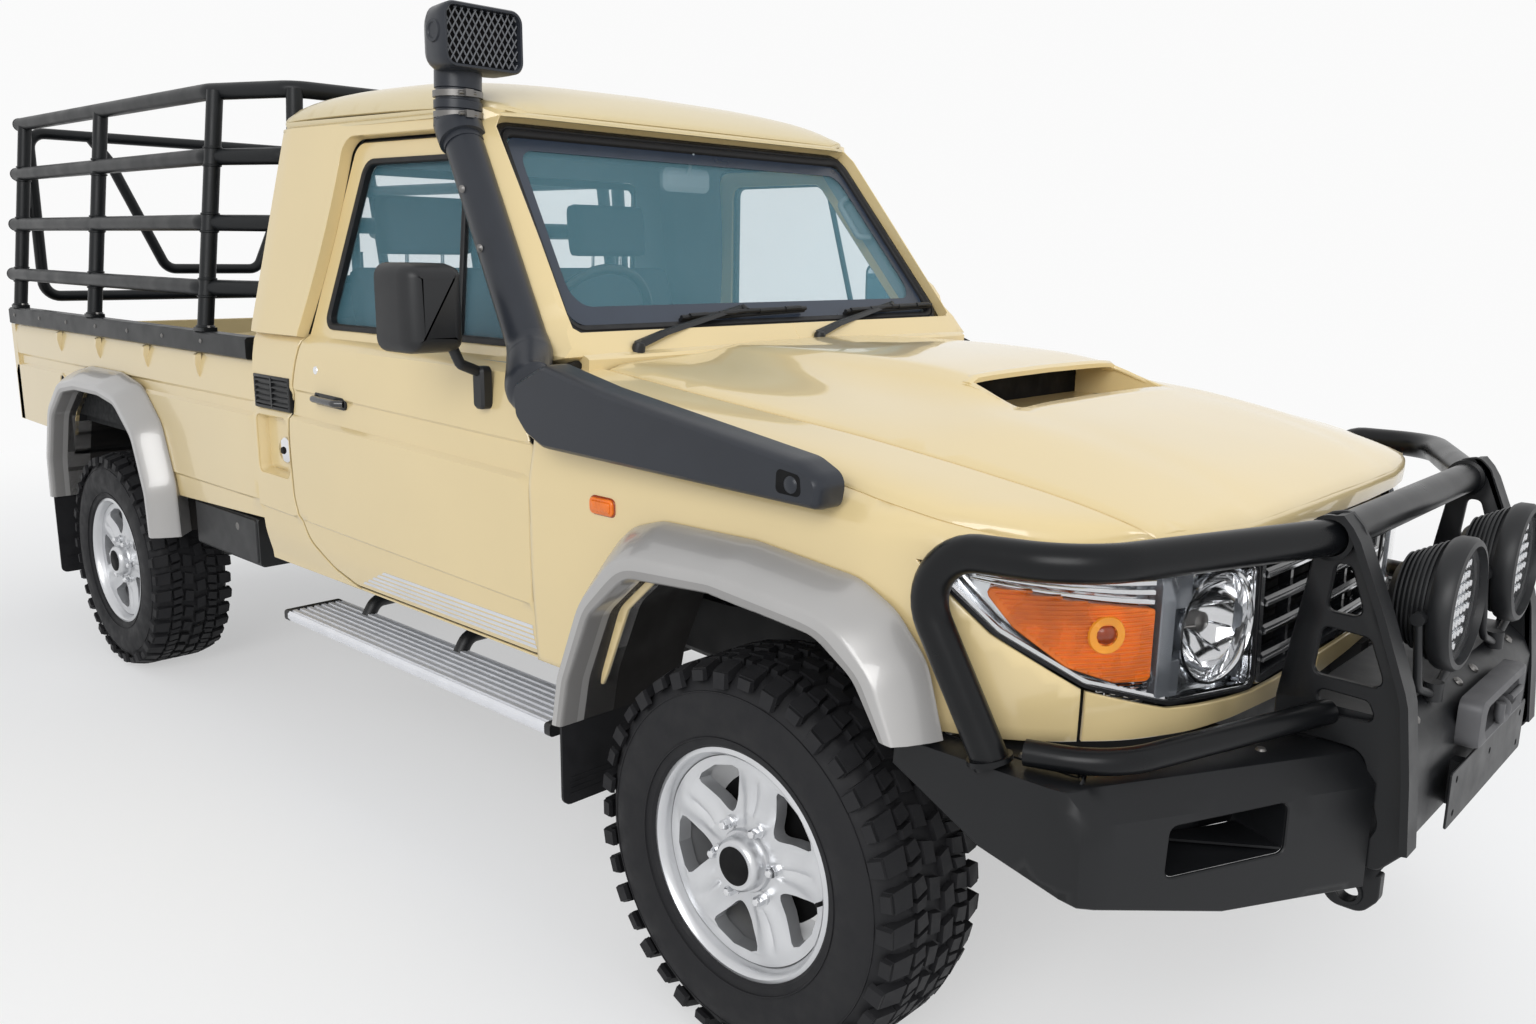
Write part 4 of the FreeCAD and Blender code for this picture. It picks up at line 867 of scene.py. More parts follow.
build_nose()
build_fenders()


def resampled(points, count):
    points = np.array(points, float)
    lengths = np.concatenate([[0], np.cumsum(np.linalg.norm(np.diff(points, axis=0), axis=1))])
    spots = np.linspace(0, lengths[-1], count)
    return np.column_stack([np.interp(spots, lengths, points[:, k]) for k in range(points.shape[1])])


# Wheel-arch flares: a sloping painted band with a crisp edge and an upright fascia

def build_flare(name, inner, outer, wall, reach, node_name, bend):
    count = 96
    inner_line = resampled(rounded([(x, z, 0) for x, z in inner], bend), count)[:, :2]
    outer_line = resampled(rounded([(x, z, 0) for x, z in outer], bend * 1.3), count)[:, :2]
    profile = [(0.0, 0.003, -0.012), (0.0, 0.003, 0.006), (0.035, 0.014, 0.0), (0.1, 0.03, 0.0),
               (0.36, 0.074, 0.0), (0.53, 0.094, 0.0), (0.575, 0.0985, 0.0), (0.61, 0.1, 0.0),
               (0.8, 0.0985, 0.0), (0.955, 0.0955, 0.0), (0.99, 0.091, 0.0), (1.0, 0.082, 0.0),
               (1.0, 0.045, 0.0), (1.0, -0.06, 0.0), (0.93, -0.06, 0.0)]
    shape = Geometry()
    rings = []
    for a, b in zip(outer_line, inner_line):
        ring = []
        for share, rise, lift in profile:
            spot = a + (b - a) * share
            y = wall + rise / 0.1 * (reach - wall) if rise > 0.004 else wall + rise + lift * 0.2
            ring.append((spot[0], y, spot[1]))
        rings.append(ring)
    loft(shape, rings)
    # The fascia faces get the darker copy of the grey paint, as painted shade.
    fascia = range(8, 12)
    shape.marks = [1 if index % len(profile) in fascia else 0 for index in range(len(shape.faces))]
    both = shape.with_mirror()
    piece(name, both, [FLARE, FLARE_PAINTED_SHADE], angle=38, stands_for=[node_name])
    # Black liner behind each arch
    lining = Geometry()
    rings = []
    for b in inner_line:
        rings.append([(b[0], wall + 0.02, b[1]), (b[0], 0.6, b[1]), (b[0], 0.6, b[1] + 0.006),
                      (b[0], wall + 0.02, b[1] + 0.006)])
    loft(lining, rings)
    piece(name + "_liner", lining.with_mirror(), [FLARE_EDGE], angle=38)


build_flare("front_flare_bands", [(1.168, 0.54), (1.19, 0.64), (1.262, 0.8), (1.375, 0.898), (1.6, 0.914),
                                  (1.85, 0.892), (1.935, 0.84), (1.995, 0.75)],
            [(1.108, 0.54), (1.128, 0.66), (1.2, 0.835), (1.3, 0.975), (1.4, 1.004), (1.65, 1.008),
             (1.885, 0.985), (1.965, 0.945), (2.03, 0.872), (2.066, 0.75)], 0.849, 0.934, "front_flares",
            0.09)
build_flare("rear_flare_bands",
            [(-1.99, 0.56), (-1.985, 0.7), (-1.915, 0.88), (-1.79, 0.975), (-1.65, 0.995), (-1.43, 0.995),
             (-1.29, 0.975), (-1.165, 0.88), (-1.095, 0.7), (-1.085, 0.56)],
            [(-2.065, 0.56), (-2.055, 0.74), (-1.985, 0.93), (-1.85, 1.045), (-1.68, 1.075), (-1.4, 1.075),
             (-1.23, 1.045), (-1.095, 0.93), (-1.02, 0.74), (-1.01, 0.56)], 0.817, 0.899, "rear_flares",
            0.09)


# Front panel under the lamps, headlamps and grille

def nose_face(sink=0.0):
    """The right-hand nose surface, moved inward by sink."""
    def surface(t, z):
        _, _, out_x, out_y = plan_at(t)
        x, y, _ = nose_side(t, z)
        return (x - out_x * sink, -(y - out_y * sink), z)
    return surface


LAMP_EDGE = [(0.835, 1.03), (0.487, 1.038), (0.335, 1.006), (0.308, 0.772), (0.56, 0.796), (0.7, 0.842),
             (0.792, 0.925)]


def along_nose(points):
    """Turn (distance from the middle, height) into (distance along the plan line, height)."""
    return [(side_t(y), z) for y, z in points]


def build_lamps():
    lamp = round_corners(along_nose(LAMP_EDGE), [0.012, 0.03, 0.03, 0.02, 0.05, 0.08, 0.08])
    ring_t, ring_z, ring_size = side_t(0.425), 0.903, 0.096
    lens = Geometry()
    skin(lens, grown(lamp, -0.004), nose_face(-0.0015), 0.022, 0.003, lip=0.0008)
    case = Geometry()
    skin(case, grown(lamp, -0.004), nose_face(0.04), 0.03, 0.004,
         holes=[circle_at(ring_t, ring_z, ring_size, 40)], lip=0.001)
    band(case, grown(lamp, -0.003), grown(lamp, -0.007), nose_face,
         [(0.0, 0.002), (0.0, 0.042), (1.0, 0.042), (1.0, 0.002)], 1)
    # Upright bezel between the indicator and the main lamp, and ribs on the reflecting walls
    bezel = along_nose([(0.582, 0.798), (0.553, 0.796), (0.553, 1.032), (0.582, 1.031)])
    skin(case, round_corners(bezel, 0.008, 3), nose_face(0.006), 0.03, 0.034, mark=2, lip=0.002)
    for row in range(4):
        z, inner_z = 1.008 + row * 0.0052, 0.966 + row * 0.016
        far_y = 0.812 - row * 0.004
        line = along_nose([(far_y, z), (0.59, inner_z), (0.59, inner_z + 0.009), (far_y, z + 0.003)])
        skin(case, line, nose_face(0.014), 0.04, 0.006, mark=1, lip=0.001)
    for row in range(5):
        z = 0.806 + row * 0.0065
        far_y = 0.64 + row * 0.012
        line = along_nose([(far_y, z), (0.59, z - 0.002), (0.59, z + 0.002), (far_y, z + 0.004)])
        skin(case, line, nose_face(0.016), 0.04, 0.006, mark=1, lip=0.001)
    amber = Geometry()
    zone = round_corners(along_nose([(0.806, 1.003), (0.59, 0.96), (0.59, 0.838), (0.655, 0.842),
                                     (0.722, 0.872), (0.778, 0.935)]),
                         [0.01, 0.006, 0.01, 0.02, 0.04, 0.04], 3)
    skin(amber, zone, nose_face(0.01), 0.02, 0.02, lip=0.002)
    for row in range(20):
        z = 0.846 + row * 0.0078
        low_y = float(np.interp(z, [0.842, 0.872, 0.935, 1.003], [0.65, 0.716, 0.772, 0.8]))
        near_y = max(0.594, float(np.interp(z, [0.952, 1.003], [0.594, 0.797])))
        if low_y - near_y < 0.01:
            continue
        ridge = along_nose([(low_y, z), (near_y, z), (near_y, z + 0.0036), (low_y, z + 0.0036)])
        skin(amber, ridge, nose_face(0.0065), 0.03, 0.004, lip=0.001)
    socket = nose_face(0.006)(side_t(0.672), 0.925)
    turned(amber, [(0.0, 0.004), (0.012, 0.003), (0.017, -0.002), (0.017, -0.006), (0.0, -0.006)], socket,
           (0.8, -0.6, 0), UP, 24, 1)
    turned(amber, [(0.018, 0.001), (0.03, 0.002), (0.032, -0.002), (0.018, -0.003)], socket, (0.8, -0.6, 0),
           UP, 28, 2)
    # Round main lamp: bright rim, faceted dish and a capped bulb
    dish = Geometry()
    centre = np.array(nose_face(0.036)(ring_t, ring_z))
    axis = unit((0.975, -0.222, 0.0))
    turned(dish, [(ring_size - 0.006, 0.012), (ring_size - 0.001, 0.021), (ring_size + 0.004, 0.02),
                  (ring_size + 0.008, 0.006), (ring_size + 0.006, -0.004), (ring_size - 0.006, -0.006)],
           centre, axis, UP, 56)
    turned(dish, [(ring_size, 0.004), (0.088, -0.02), (0.07, -0.04), (0.045, -0.056), (0.018, -0.064),
                  (0.018, -0.068), (0.05, -0.062), (0.078, -0.044), (ring_size + 0.002, -0.014)], centre,
           axis, UP, 56)
    for turn in range(12):
        angle = math.pi * (turn + 0.5) / 6
        lay = np.array(UP) * math.cos(angle) + np.cross(axis, UP) * math.sin(angle)
        aside = unit(np.cross(axis, lay))
        rings = []
        for r, h in ((0.088, -0.018), (0.07, -0.037), (0.045, -0.053), (0.022, -0.06)):
            spot = centre + lay * r + axis * h
            rings.append([spot + aside * 0.0022, spot + axis * 0.0035, spot - aside * 0.0022,
                          spot - axis * 0.002])
        loft(dish, rings)
    turned(dish, [(0.0, -0.008), (0.012, -0.009), (0.018, -0.014), (0.018, -0.034), (0.01, -0.04),
                  (0.01, -0.062), (0.0, -0.062)], centre, axis, UP, 28, 1)
    for lean in (-1, 1):
        tube(dish, [centre + np.array((-0.052, lean * 0.036, -0.012)),
                    centre + np.array((-0.016, lean * 0.013, -0.004))], 0.0022, sides=8, mark=1)
    # Inner corner: dark blocks beside the dish
    for y0, y1, z0, z1 in ((0.545, 0.52, 0.8, 0.862), (0.545, 0.505, 0.95, 1.02), (0.335, 0.318, 0.79, 0.99)):
        corner = along_nose([(y0, z0), (y1, z0), (y1, z1), (y0, z1)])
        skin(case, round_corners(corner, 0.004, 2), nose_face(0.02), 0.03, 0.018, mark=2, lip=0.002)
    rubber = Geometry()
    rim_in = grown(lamp, -0.005)
    band(rubber, grown(lamp, 0.0005), rim_in, nose_face,
         [(0.0, 0.014), (0.0, -0.003), (1.0, -0.003), (1.0, 0.014)])
    band(rubber, rim_in, grown(lamp, -0.0115), nose_face,
         [(0.0, 0.016), (0.0, 0.004), (1.0, 0.006), (1.0, 0.018)], 1)
    panel = Geometry()
    low = along_nose([(0.697, 0.748), (0.05, 0.716), (0.002, 0.716), (0.002, 0.763), (0.3, 0.763),
                      (0.56, 0.789), (0.697, 0.834)])
    skin(panel, low, nose_face(0.0), 0.03, 0.01, lip=0.0018)
    on_both_sides([("lamp_lens_{}", lens, [CLEAR], "lamp", ["headlamps"]),
                   ("lamp_housing_{}", case, [REFLECTOR, CHROME, BEZEL], "lamp", []),
                   ("lamp_amber_{}", amber, [AMBER, AMBER_DARK, AMBER_LIGHT], "lamp", []),
                   ("lamp_bowl_{}", dish, [CHROME, STEEL], "lamp", []),
                   ("lamp_edge_{}", rubber, [SEAL_AND_SHADE, CHROME], "seal_rubber", []),
                   ("apron_{}", panel, [PAINT], "paint", ["front_panel"])], "vehicle", 42)


def build_grille():
    grille = Geometry()
    edge = round_corners([(-0.303, 0.772), (-0.322, 1.004), (-0.252, 1.03), (0.252, 1.03), (0.322, 1.004),
                          (0.303, 0.772)], 0.02)
    inner = grown(edge, -0.022)

    def face_x(y):
        return float(np.interp(abs(y), [0.0, 0.2, 0.38, 0.505], [2.352, 2.35, 2.343, 2.325]))
    rings = []
    for a, b in zip(edge + edge[:1], inner + inner[:1]):
        rings.append([(face_x(a[0]) - 0.03, a[0], a[1]), (face_x(a[0]) - 0.004, a[0], a[1]),
                      (face_x(a[0]) + 0.002, a[0] * 0.985 + b[0] * 0.015, a[1] * 0.8 + b[1] * 0.2),
                      (face_x(b[0]) + 0.001, a[0] * 0.2 + b[0] * 0.8, a[1] * 0.2 + b[1] * 0.8),
                      (face_x(b[0]) - 0.006, b[0], b[1]), (face_x(b[0]) - 0.034, b[0], b[1])])
    loft(grille, rings, caps=False)
    for row in range(4):
        z = 0.822 + row * 0.052
        half = 0.285 + (z - 0.8) * 0.07
        line = [(face_x(y) - 0.012, y, z) for y in np.linspace(-half, half, 13)]
        bar = [(-0.01, -0.007), (0.012, -0.008), (0.016, -0.002), (0.016, 0.004), (0.01, 0.008),
               (-0.01, 0.005)]
        sweep(grille, line, bar)
        edge_bar = [(0.014, -0.0075), (0.0185, -0.0065), (0.019, -0.001), (0.014, 0.0)]
        sweep(grille, line, edge_bar, 1)
    for y in (-0.15, 0.0, 0.15):
        block(grille, face_x(y) - 0.034, face_x(y) - 0.012, y - 0.006, y + 0.006, 0.79, 1.015)
    prism(grille, [(-0.3, 0.776), (-0.318, 1.004), (-0.25, 1.026), (0.25, 1.026), (0.318, 1.004),
                   (0.3, 0.776)], "yz", 2.29, 2.3, 2)
    for row in range(12):
        block(grille, 2.3, 2.306, -0.3, 0.3, 0.786 + row * 0.0205, 0.789 + row * 0.0205, 2)
    piece("grille_face", grille, [GRILLE, CHROME, MATTE], stands_for=["grille"])


def build_repeaters():
    half = Geometry()
    edge = rounded_box(1.18, 1.252, 0.987, 1.021, 0.01)
    for inset, sink, mark in ((0.003, -0.002, 1), (0.0, -0.007, 0), (-0.006, -0.01, 0)):
        skin(half, grown(edge, inset), nose_face(sink), 0.02, 0.008, mark=mark, lip=0.0015)
    piece("side_repeaters", half.with_mirror(), [AMBER, AMBER_DARK], angle=45)


build_lamps()
build_repeaters()
build_grille()


# Bull bar, bumper and spot lamps

def build_bull_bar():
    half = Geometry()
    sides = 28
    tube(half, [(2.48, 0.0, 1.082), (2.48, 0.4, 1.082), (2.29, 0.845, 1.076), (1.995, 0.885, 1.068),
                (2.16, 0.85, 0.736)], 0.03, [0.09, 0.16, 0.085], sides, 12)
    tube(half, [(2.205, 0.83, 0.765), (2.33, 0.795, 0.768), (2.5, 0.384, 0.79)], 0.021, 0.16, sides, 10)
    plate_y, flange_y = 0.376, 0.424
    plate = round_corners([(2.462, 1.118), (2.5, 1.128), (2.524, 1.104), (2.627, 0.848), (2.652, 0.6),
                           (2.604, 0.545), (2.562, 0.545), (2.595, 0.62), (2.56, 0.74), (2.415, 0.745),
                           (2.415, 0.8)], [0.02, 0.024, 0.03, 0.12, 0.04, 0.02, 0.01, 0.03, 0.03, 0.008,
                                           0.03], 5)
    upper = round_corners([(2.488, 1.04), (2.512, 1.038), (2.54, 0.958), (2.481, 0.959)], 0.012)
    lower = round_corners([(2.477, 0.933), (2.552, 0.927), (2.583, 0.848), (2.469, 0.85)], 0.014)
    slot = round_corners([(2.47, 0.828), (2.56, 0.824), (2.575, 0.792), (2.5, 0.786)], 0.012)

    def wall(x, z):
        return (x, plate_y, z)
    skin(half, plate, wall, 0.08, 0.013, holes=[upper, lower, slot], mark=1, lip=0.0025)
    # Flange along the plate's front edge, and collars where the hoop passes
    edge = [(2.5, 1.124), (2.524, 1.098), (2.575, 0.978), (2.624, 0.848), (2.64, 0.72), (2.65, 0.6)]
    rings = []
    for x, z in resampled(edge, 24):
        rings.append([(x - 0.009, plate_y, z - 0.002), (x + 0.003, plate_y, z), (x + 0.003, flange_y, z),
                      (x - 0.009, flange_y, z - 0.002)])
    loft(half, rings, 1)
    for y in (0.366, 0.396):
        turned(half, [(0.03, 0.0), (0.037, 0.002), (0.037, 0.012), (0.03, 0.014)], (2.48, y, 1.082), LEFT,
               UP, 32)
    cylinder(half, (2.156, 0.851, 0.742), (2.154, 0.8515, 0.75), 0.037, 28)
    piece("bull_bar_hoops", half.with_mirror(), [TUBE, BAR], stands_for=["bull_bar"])


def build_wings():
    """Folded-plate wing: upright face with a pocket, a chamfer that catches the light, and a deck."""
    half = Geometry()
    line = np.array(rounded([(1.978, -0.867, 0), (2.325, -0.867, 0), (2.588, -0.392, 0)], 0.04))[:, :2]
    reach = np.concatenate([[0], np.cumsum(np.linalg.norm(np.diff(line, axis=0), axis=1))])
    corner, face_top, fold_top, fold = 0.347, 0.69, 0.745, 0.055

    def place_at(s):
        share = float(np.clip((s - corner + 0.03) / 0.06, 0, 1))
        inward = unit(np.array((0.0, 1.0)) * (1 - share) + np.array((-0.873, 0.487)) * share)
        return np.interp(s, reach, line[:, 0]), np.interp(s, reach, line[:, 1]), inward

    def surface(s, b):
        x, y, inward = place_at(s)
        slope = 0.004 + 0.032 * float(np.clip((s - corner + 0.035) / 0.05, 0, 1))
        if b <= face_top:
            inset, z = 0.0, b
        elif b <= fold_top:
            inset, z = slope * (b - face_top) / fold, face_top + 0.046 * (b - face_top) / fold
        else:
            inset, z = slope + (b - fold_top), 0.736 + min(0.004, (b - fold_top) * 0.3)
        return (x + inward[0] * inset, y + inward[1] * inset, z)
    last = reach[-1]
    outline = [(0.0, face_top), (0.172, 0.602), (corner, 0.56), (0.61, 0.514), (last, 0.513),
               (last, face_top), (last, 0.746), (last, 0.8), (corner + 0.01, 0.8), (0.0, 0.8), (0.0, 0.746)]
    first, second = corner + 0.15, corner + 0.37
    pocket = round_corners([(first, 0.586), (first + 0.004, 0.672), (second, 0.684), (second, 0.598)],
                           0.014)
    skin(half, outline, surface, 0.03, 0.008, holes=[pocket], lip=0.0022,
         creases=[lambda s: face_top, lambda s: fold_top, lambda s: 0.752])
    rings = []
    mid = np.mean(pocket, axis=0)
    for depth, scale in ((0.006, 0.995), (0.05, 0.97), (0.105, 0.92), (0.112, 0.88)):
        ring = []
        for spot in pocket:
            s, b = mid + (np.array(spot) - mid) * scale
            x, y, z = surface(s, b)
            inward = place_at(s)[2]
            ring.append((x + inward[0] * depth, y + inward[1] * depth, z))
        rings.append(ring)
    loft(half, rings[::-1], caps=False)

    def back(s, b):
        x, y, z = surface(s, b)
        inward = place_at(s)[2]
        return (x + inward[0] * 0.111, y + inward[1] * 0.111, z)
    skin(half, grown(pocket, -0.006), back, 0.03, 0.004, lip=0.001)
    # Folded ramp across the pocket's lower corner
    low = [surface(first + 0.03, 0.6), surface(second - 0.004, 0.602)]
    inward = np.array((-0.873, 0.487, 0.0))
    ramp = [np.array(low[1]) + inward * 0.006, np.array(low[1]) + inward * 0.104,
            np.array(low[0]) + inward * 0.104]
    loft(half, [ramp, [p + np.array((0, 0, 0.004)) for p in ramp]])
    deck = [(1.98, -0.8), (2.3, -0.8), (2.525, -0.392), (2.4, -0.392), (2.38, -0.56), (2.29, -0.7),
            (1.98, -0.762)]
    prism(half, deck, "xy", 0.726, 0.7385)
    prism(half, [(1.98, -0.859), (1.988, -0.859), (1.988, -0.762), (1.98, -0.762)], "xy", 0.69, 0.73)
    for x, y in ((2.04, -0.79), (2.18, -0.79), (2.33, -0.712), (2.44, -0.5)):
        screw_head(half, 0.006, 0.005, 0.007, 0.01, (x, y, 0.7385), UP, AHEAD, 16, 1)
    piece("bumper_wing_plates", half.with_mirror(), [BAR, STEEL], angle=32,
          stands_for=["bumper_wings"])


def build_bumper_centre():
    shape = Geometry()
    section = [(2.442, 0.522), (2.594, 0.52), (2.638, 0.602), (2.638, 0.742), (2.626, 0.77), (2.59, 0.799),
               (2.442, 0.799)]
    prism(shape, section, "xz", -0.374, 0.374)
    for y in (-0.3, -0.05, 0.05, 0.3):
        screw_head(shape, 0.005, 0.004, 0.007, 0.01, (2.609, y, 0.7845), (0.62, 0, 0.78), LEFT, 16, 1)
    for side in (-1, 1):
        block(shape, 2.332, 2.446, side * 0.404 - 0.03, side * 0.404 + 0.03, 0.604, 0.696)
    # Fairlead: rounded hawse in a heavy plate, with a hook resting in it
    outer = rounded_box(-0.158, 0.158, 0.702, 0.788, 0.018)
    inner = rounded_box(-0.112, 0.112, 0.726, 0.764, 0.018)
    band(shape, outer, inner, lambda proud: (lambda y, z: (2.638 + proud, y, z)),
         [(0.0, 0.0), (0.0, 0.028), (0.08, 0.036), (0.5, 0.04), (0.85, 0.034), (1.0, 0.018), (1.0, 0.0)], 2)
    skin(shape, grown(inner, 0.003), lambda y, z: (2.643, y, z), 0.04, 0.003, mark=3, lip=0.0006)
    hook = rounded([(2.648, 0.026, 0.746), (2.676, 0.026, 0.744), (2.677, 0.0, 0.724),
                    (2.677, -0.04, 0.728), (2.677, -0.04, 0.76)], 0.016, 6)
    tube(shape, hook, 0.0085, sides=14, mark=2)
    tube(shape, [(2.676, 0.034, 0.75), (2.676, 0.112, 0.75)], 0.006, sides=12, mark=2)
    # Bare bracket for a number plate
    plate = rounded_box(-0.25, 0.25, 0.588, 0.688, 0.006, 3)
    pins = [circle_at(y, z, 0.006, 12)
            for y, z in ((-0.215, 0.668), (0.215, 0.668), (-0.215, 0.608), (0.215, 0.608), (0.0, 0.655))]
    skin(shape, plate, lambda y, z: (2.663, y, z), 0.05, 0.004, holes=pins, lip=0.001)
    for side in (-1, 1):
        block(shape, 2.632, 2.66, side * 0.15 - 0.015, side * 0.15 + 0.015, 0.6, 0.68)
        eye = round_corners([(2.505, 0.525), (2.505, 0.48), (2.53, 0.45), (2.58, 0.45), (2.604, 0.48),
                             (2.604, 0.525)], [0.004, 0.02, 0.03, 0.03, 0.02, 0.004], 5)
        skin(shape, eye, lambda x, z, y=side * 0.35 - 0.012: (x, y, z), 0.04, 0.024,
             holes=[circle_at(2.555, 0.482, 0.018, 28)], lip=0.002)
        turned(shape, [(0.0185, -0.015), (0.024, -0.016), (0.026, -0.012), (0.026, 0.012), (0.024, 0.016),
                       (0.0185, 0.015)], (2.555, side * 0.35, 0.482), LEFT, UP, 28)
    piece("bumper_centre", shape, [BAR, STEEL, CAST, MATTE], angle=35, bevel=0.0015,
          stands_for=["front_bumper"])


def build_spot_lamps():
    shape = Geometry()
    for side in (-1, 1):
        foot_x, y = 2.606, side * 0.2
        centre = np.array((foot_x, y, 0.962))
        turned(shape, [(0.0, -0.078), (0.052, -0.074), (0.07, -0.055), (0.088, -0.028), (0.094, -0.01),
                       (0.094, 0.004), (0.0, 0.004)], centre, AHEAD, UP, 48)
        for fin in range(7):
            offset = -0.06 + fin * 0.0085
            outer = 0.074 + fin * 0.0045
            turned(shape, [(0.04, offset), (outer, offset), (outer, offset + 0.003),
                           (0.04, offset + 0.003)], centre, AHEAD, UP, 48)
        turned(shape, [(0.096, 0.0), (0.108, 0.002), (0.1125, 0.01), (0.1125, 0.03), (0.108, 0.037),
                       (0.099, 0.039), (0.097, 0.026), (0.09, 0.02), (0.09, 0.0)], centre, AHEAD, UP, 72)
        turned(shape, [(0.0, 0.012), (0.096, 0.012), (0.096, 0.008), (0.0, 0.008)], centre, AHEAD, UP, 48,
               mark=1)
        for row in range(-4, 5):
            for column in range(-4, 5):
                if math.hypot(row, column) > 4.3:
                    continue
                spot = centre + np.array((0.012, row * 0.0195, column * 0.0195))
                turned(shape, [(0.0, -0.001), (0.0035, -0.001), (0.0086, 0.0055), (0.0075, 0.006),
                               (0.003, 0.0005), (0.0, 0.0005)], spot, AHEAD, UP, 10, mark=2)
        turned(shape, [(0.0, 0.034), (0.06, 0.0325), (0.097, 0.029), (0.097, 0.026), (0.0, 0.03)], centre,
               AHEAD, UP, 48, mark=3)
        # Yoke and foot
        for lean in (-1, 1):
            tube(shape, [(foot_x, y + lean * 0.02, 0.806), (foot_x, y + lean * 0.1, 0.835),
                         (2.6, y + lean * 0.1185, 0.955)], 0.007, 0.03, 12, 6)
            cylinder(shape, (2.6, y + lean * 0.094, 0.955), (2.6, y + lean * 0.126, 0.955), 0.011, 16)
        cylinder(shape, (foot_x, y, 0.79), (foot_x, y, 0.822), 0.016, 20)
    piece("spot_lamp_pair", shape, [PLASTIC, REFLECTOR, CHROME, CLEAR], angle=38,
          stands_for=["spot_lamps"])


build_bull_bar()
build_wings()
build_bumper_centre()
build_spot_lamps()


# Snorkel: a long body on the fender, a pipe up the windscreen pillar, a clamped neck and a ram head

def build_snorkel():
    shape = Geometry()
    outline = round_corners([(1.0, 1.24), (1.006, 1.17), (1.041, 1.135), (1.098, 1.111), (1.838, 1.095),
                             (1.848, 1.15), (1.792, 1.177), (1.277, 1.25), (1.1, 1.285)],
                            [0.03, 0.03, 0.05, 0.05, 0.018, 0.03, 0.08, 0.2, 0.05], 6)
    levels = [(-0.846, 0.0), (-0.88, 0.0), (-0.896, -0.002), (-0.906, -0.006), (-0.9115, -0.012)]
    rings = [[(x, y, z) for x, z in grown(outline, inset)] for y, inset in levels]
    if turns_left(outline):
        rings = [ring[::-1] for ring in rings]
    loft(shape, rings)
    # Pipe, wide at its foot
    route = rounded([(1.075, -0.876, 1.19), (0.985, -0.856, 1.232), (0.905, -0.79, 1.292),
                     (0.533, -0.706, 1.787)], [0.06, 0.12], 10)
    rings = []
    last = len(route) - 1
    for index, spot in enumerate(route):
        along = unit(route[min(index + 1, last)] - route[max(index - 1, 0)])
        out = unit(np.cross(along, np.cross((0.25, -1.0, 0.12), along)))
        aside = np.cross(along, out)
        share = index / last
        wide = float(np.interp(share, [0, 0.25, 0.6, 1.0], [0.058, 0.06, 0.056, 0.046]))
        thick = float(np.interp(share, [0, 0.25, 0.6, 1.0], [0.03, 0.04, 0.046, 0.044]))
        rings.append([spot + aside * wide * math.cos(a) + out * thick * math.sin(a)
                      for a in np.linspace(0, 2 * math.pi, 28, endpoint=False)])
    loft(shape, rings)
    top = np.array((0.533, -0.706, 1.787))
    along = unit(top - np.array((0.905, -0.79, 1.292)))
    side = unit(np.cross(along, LEFT))
    profile = [(0.0, -0.06), (0.047, -0.06), (0.047, -0.046), (0.055, -0.044), (0.056, -0.02),
               (0.056, 0.012), (0.05, 0.02), (0.0, 0.02)]
    turned(shape, profile, top, along, side, 40)
    return shape


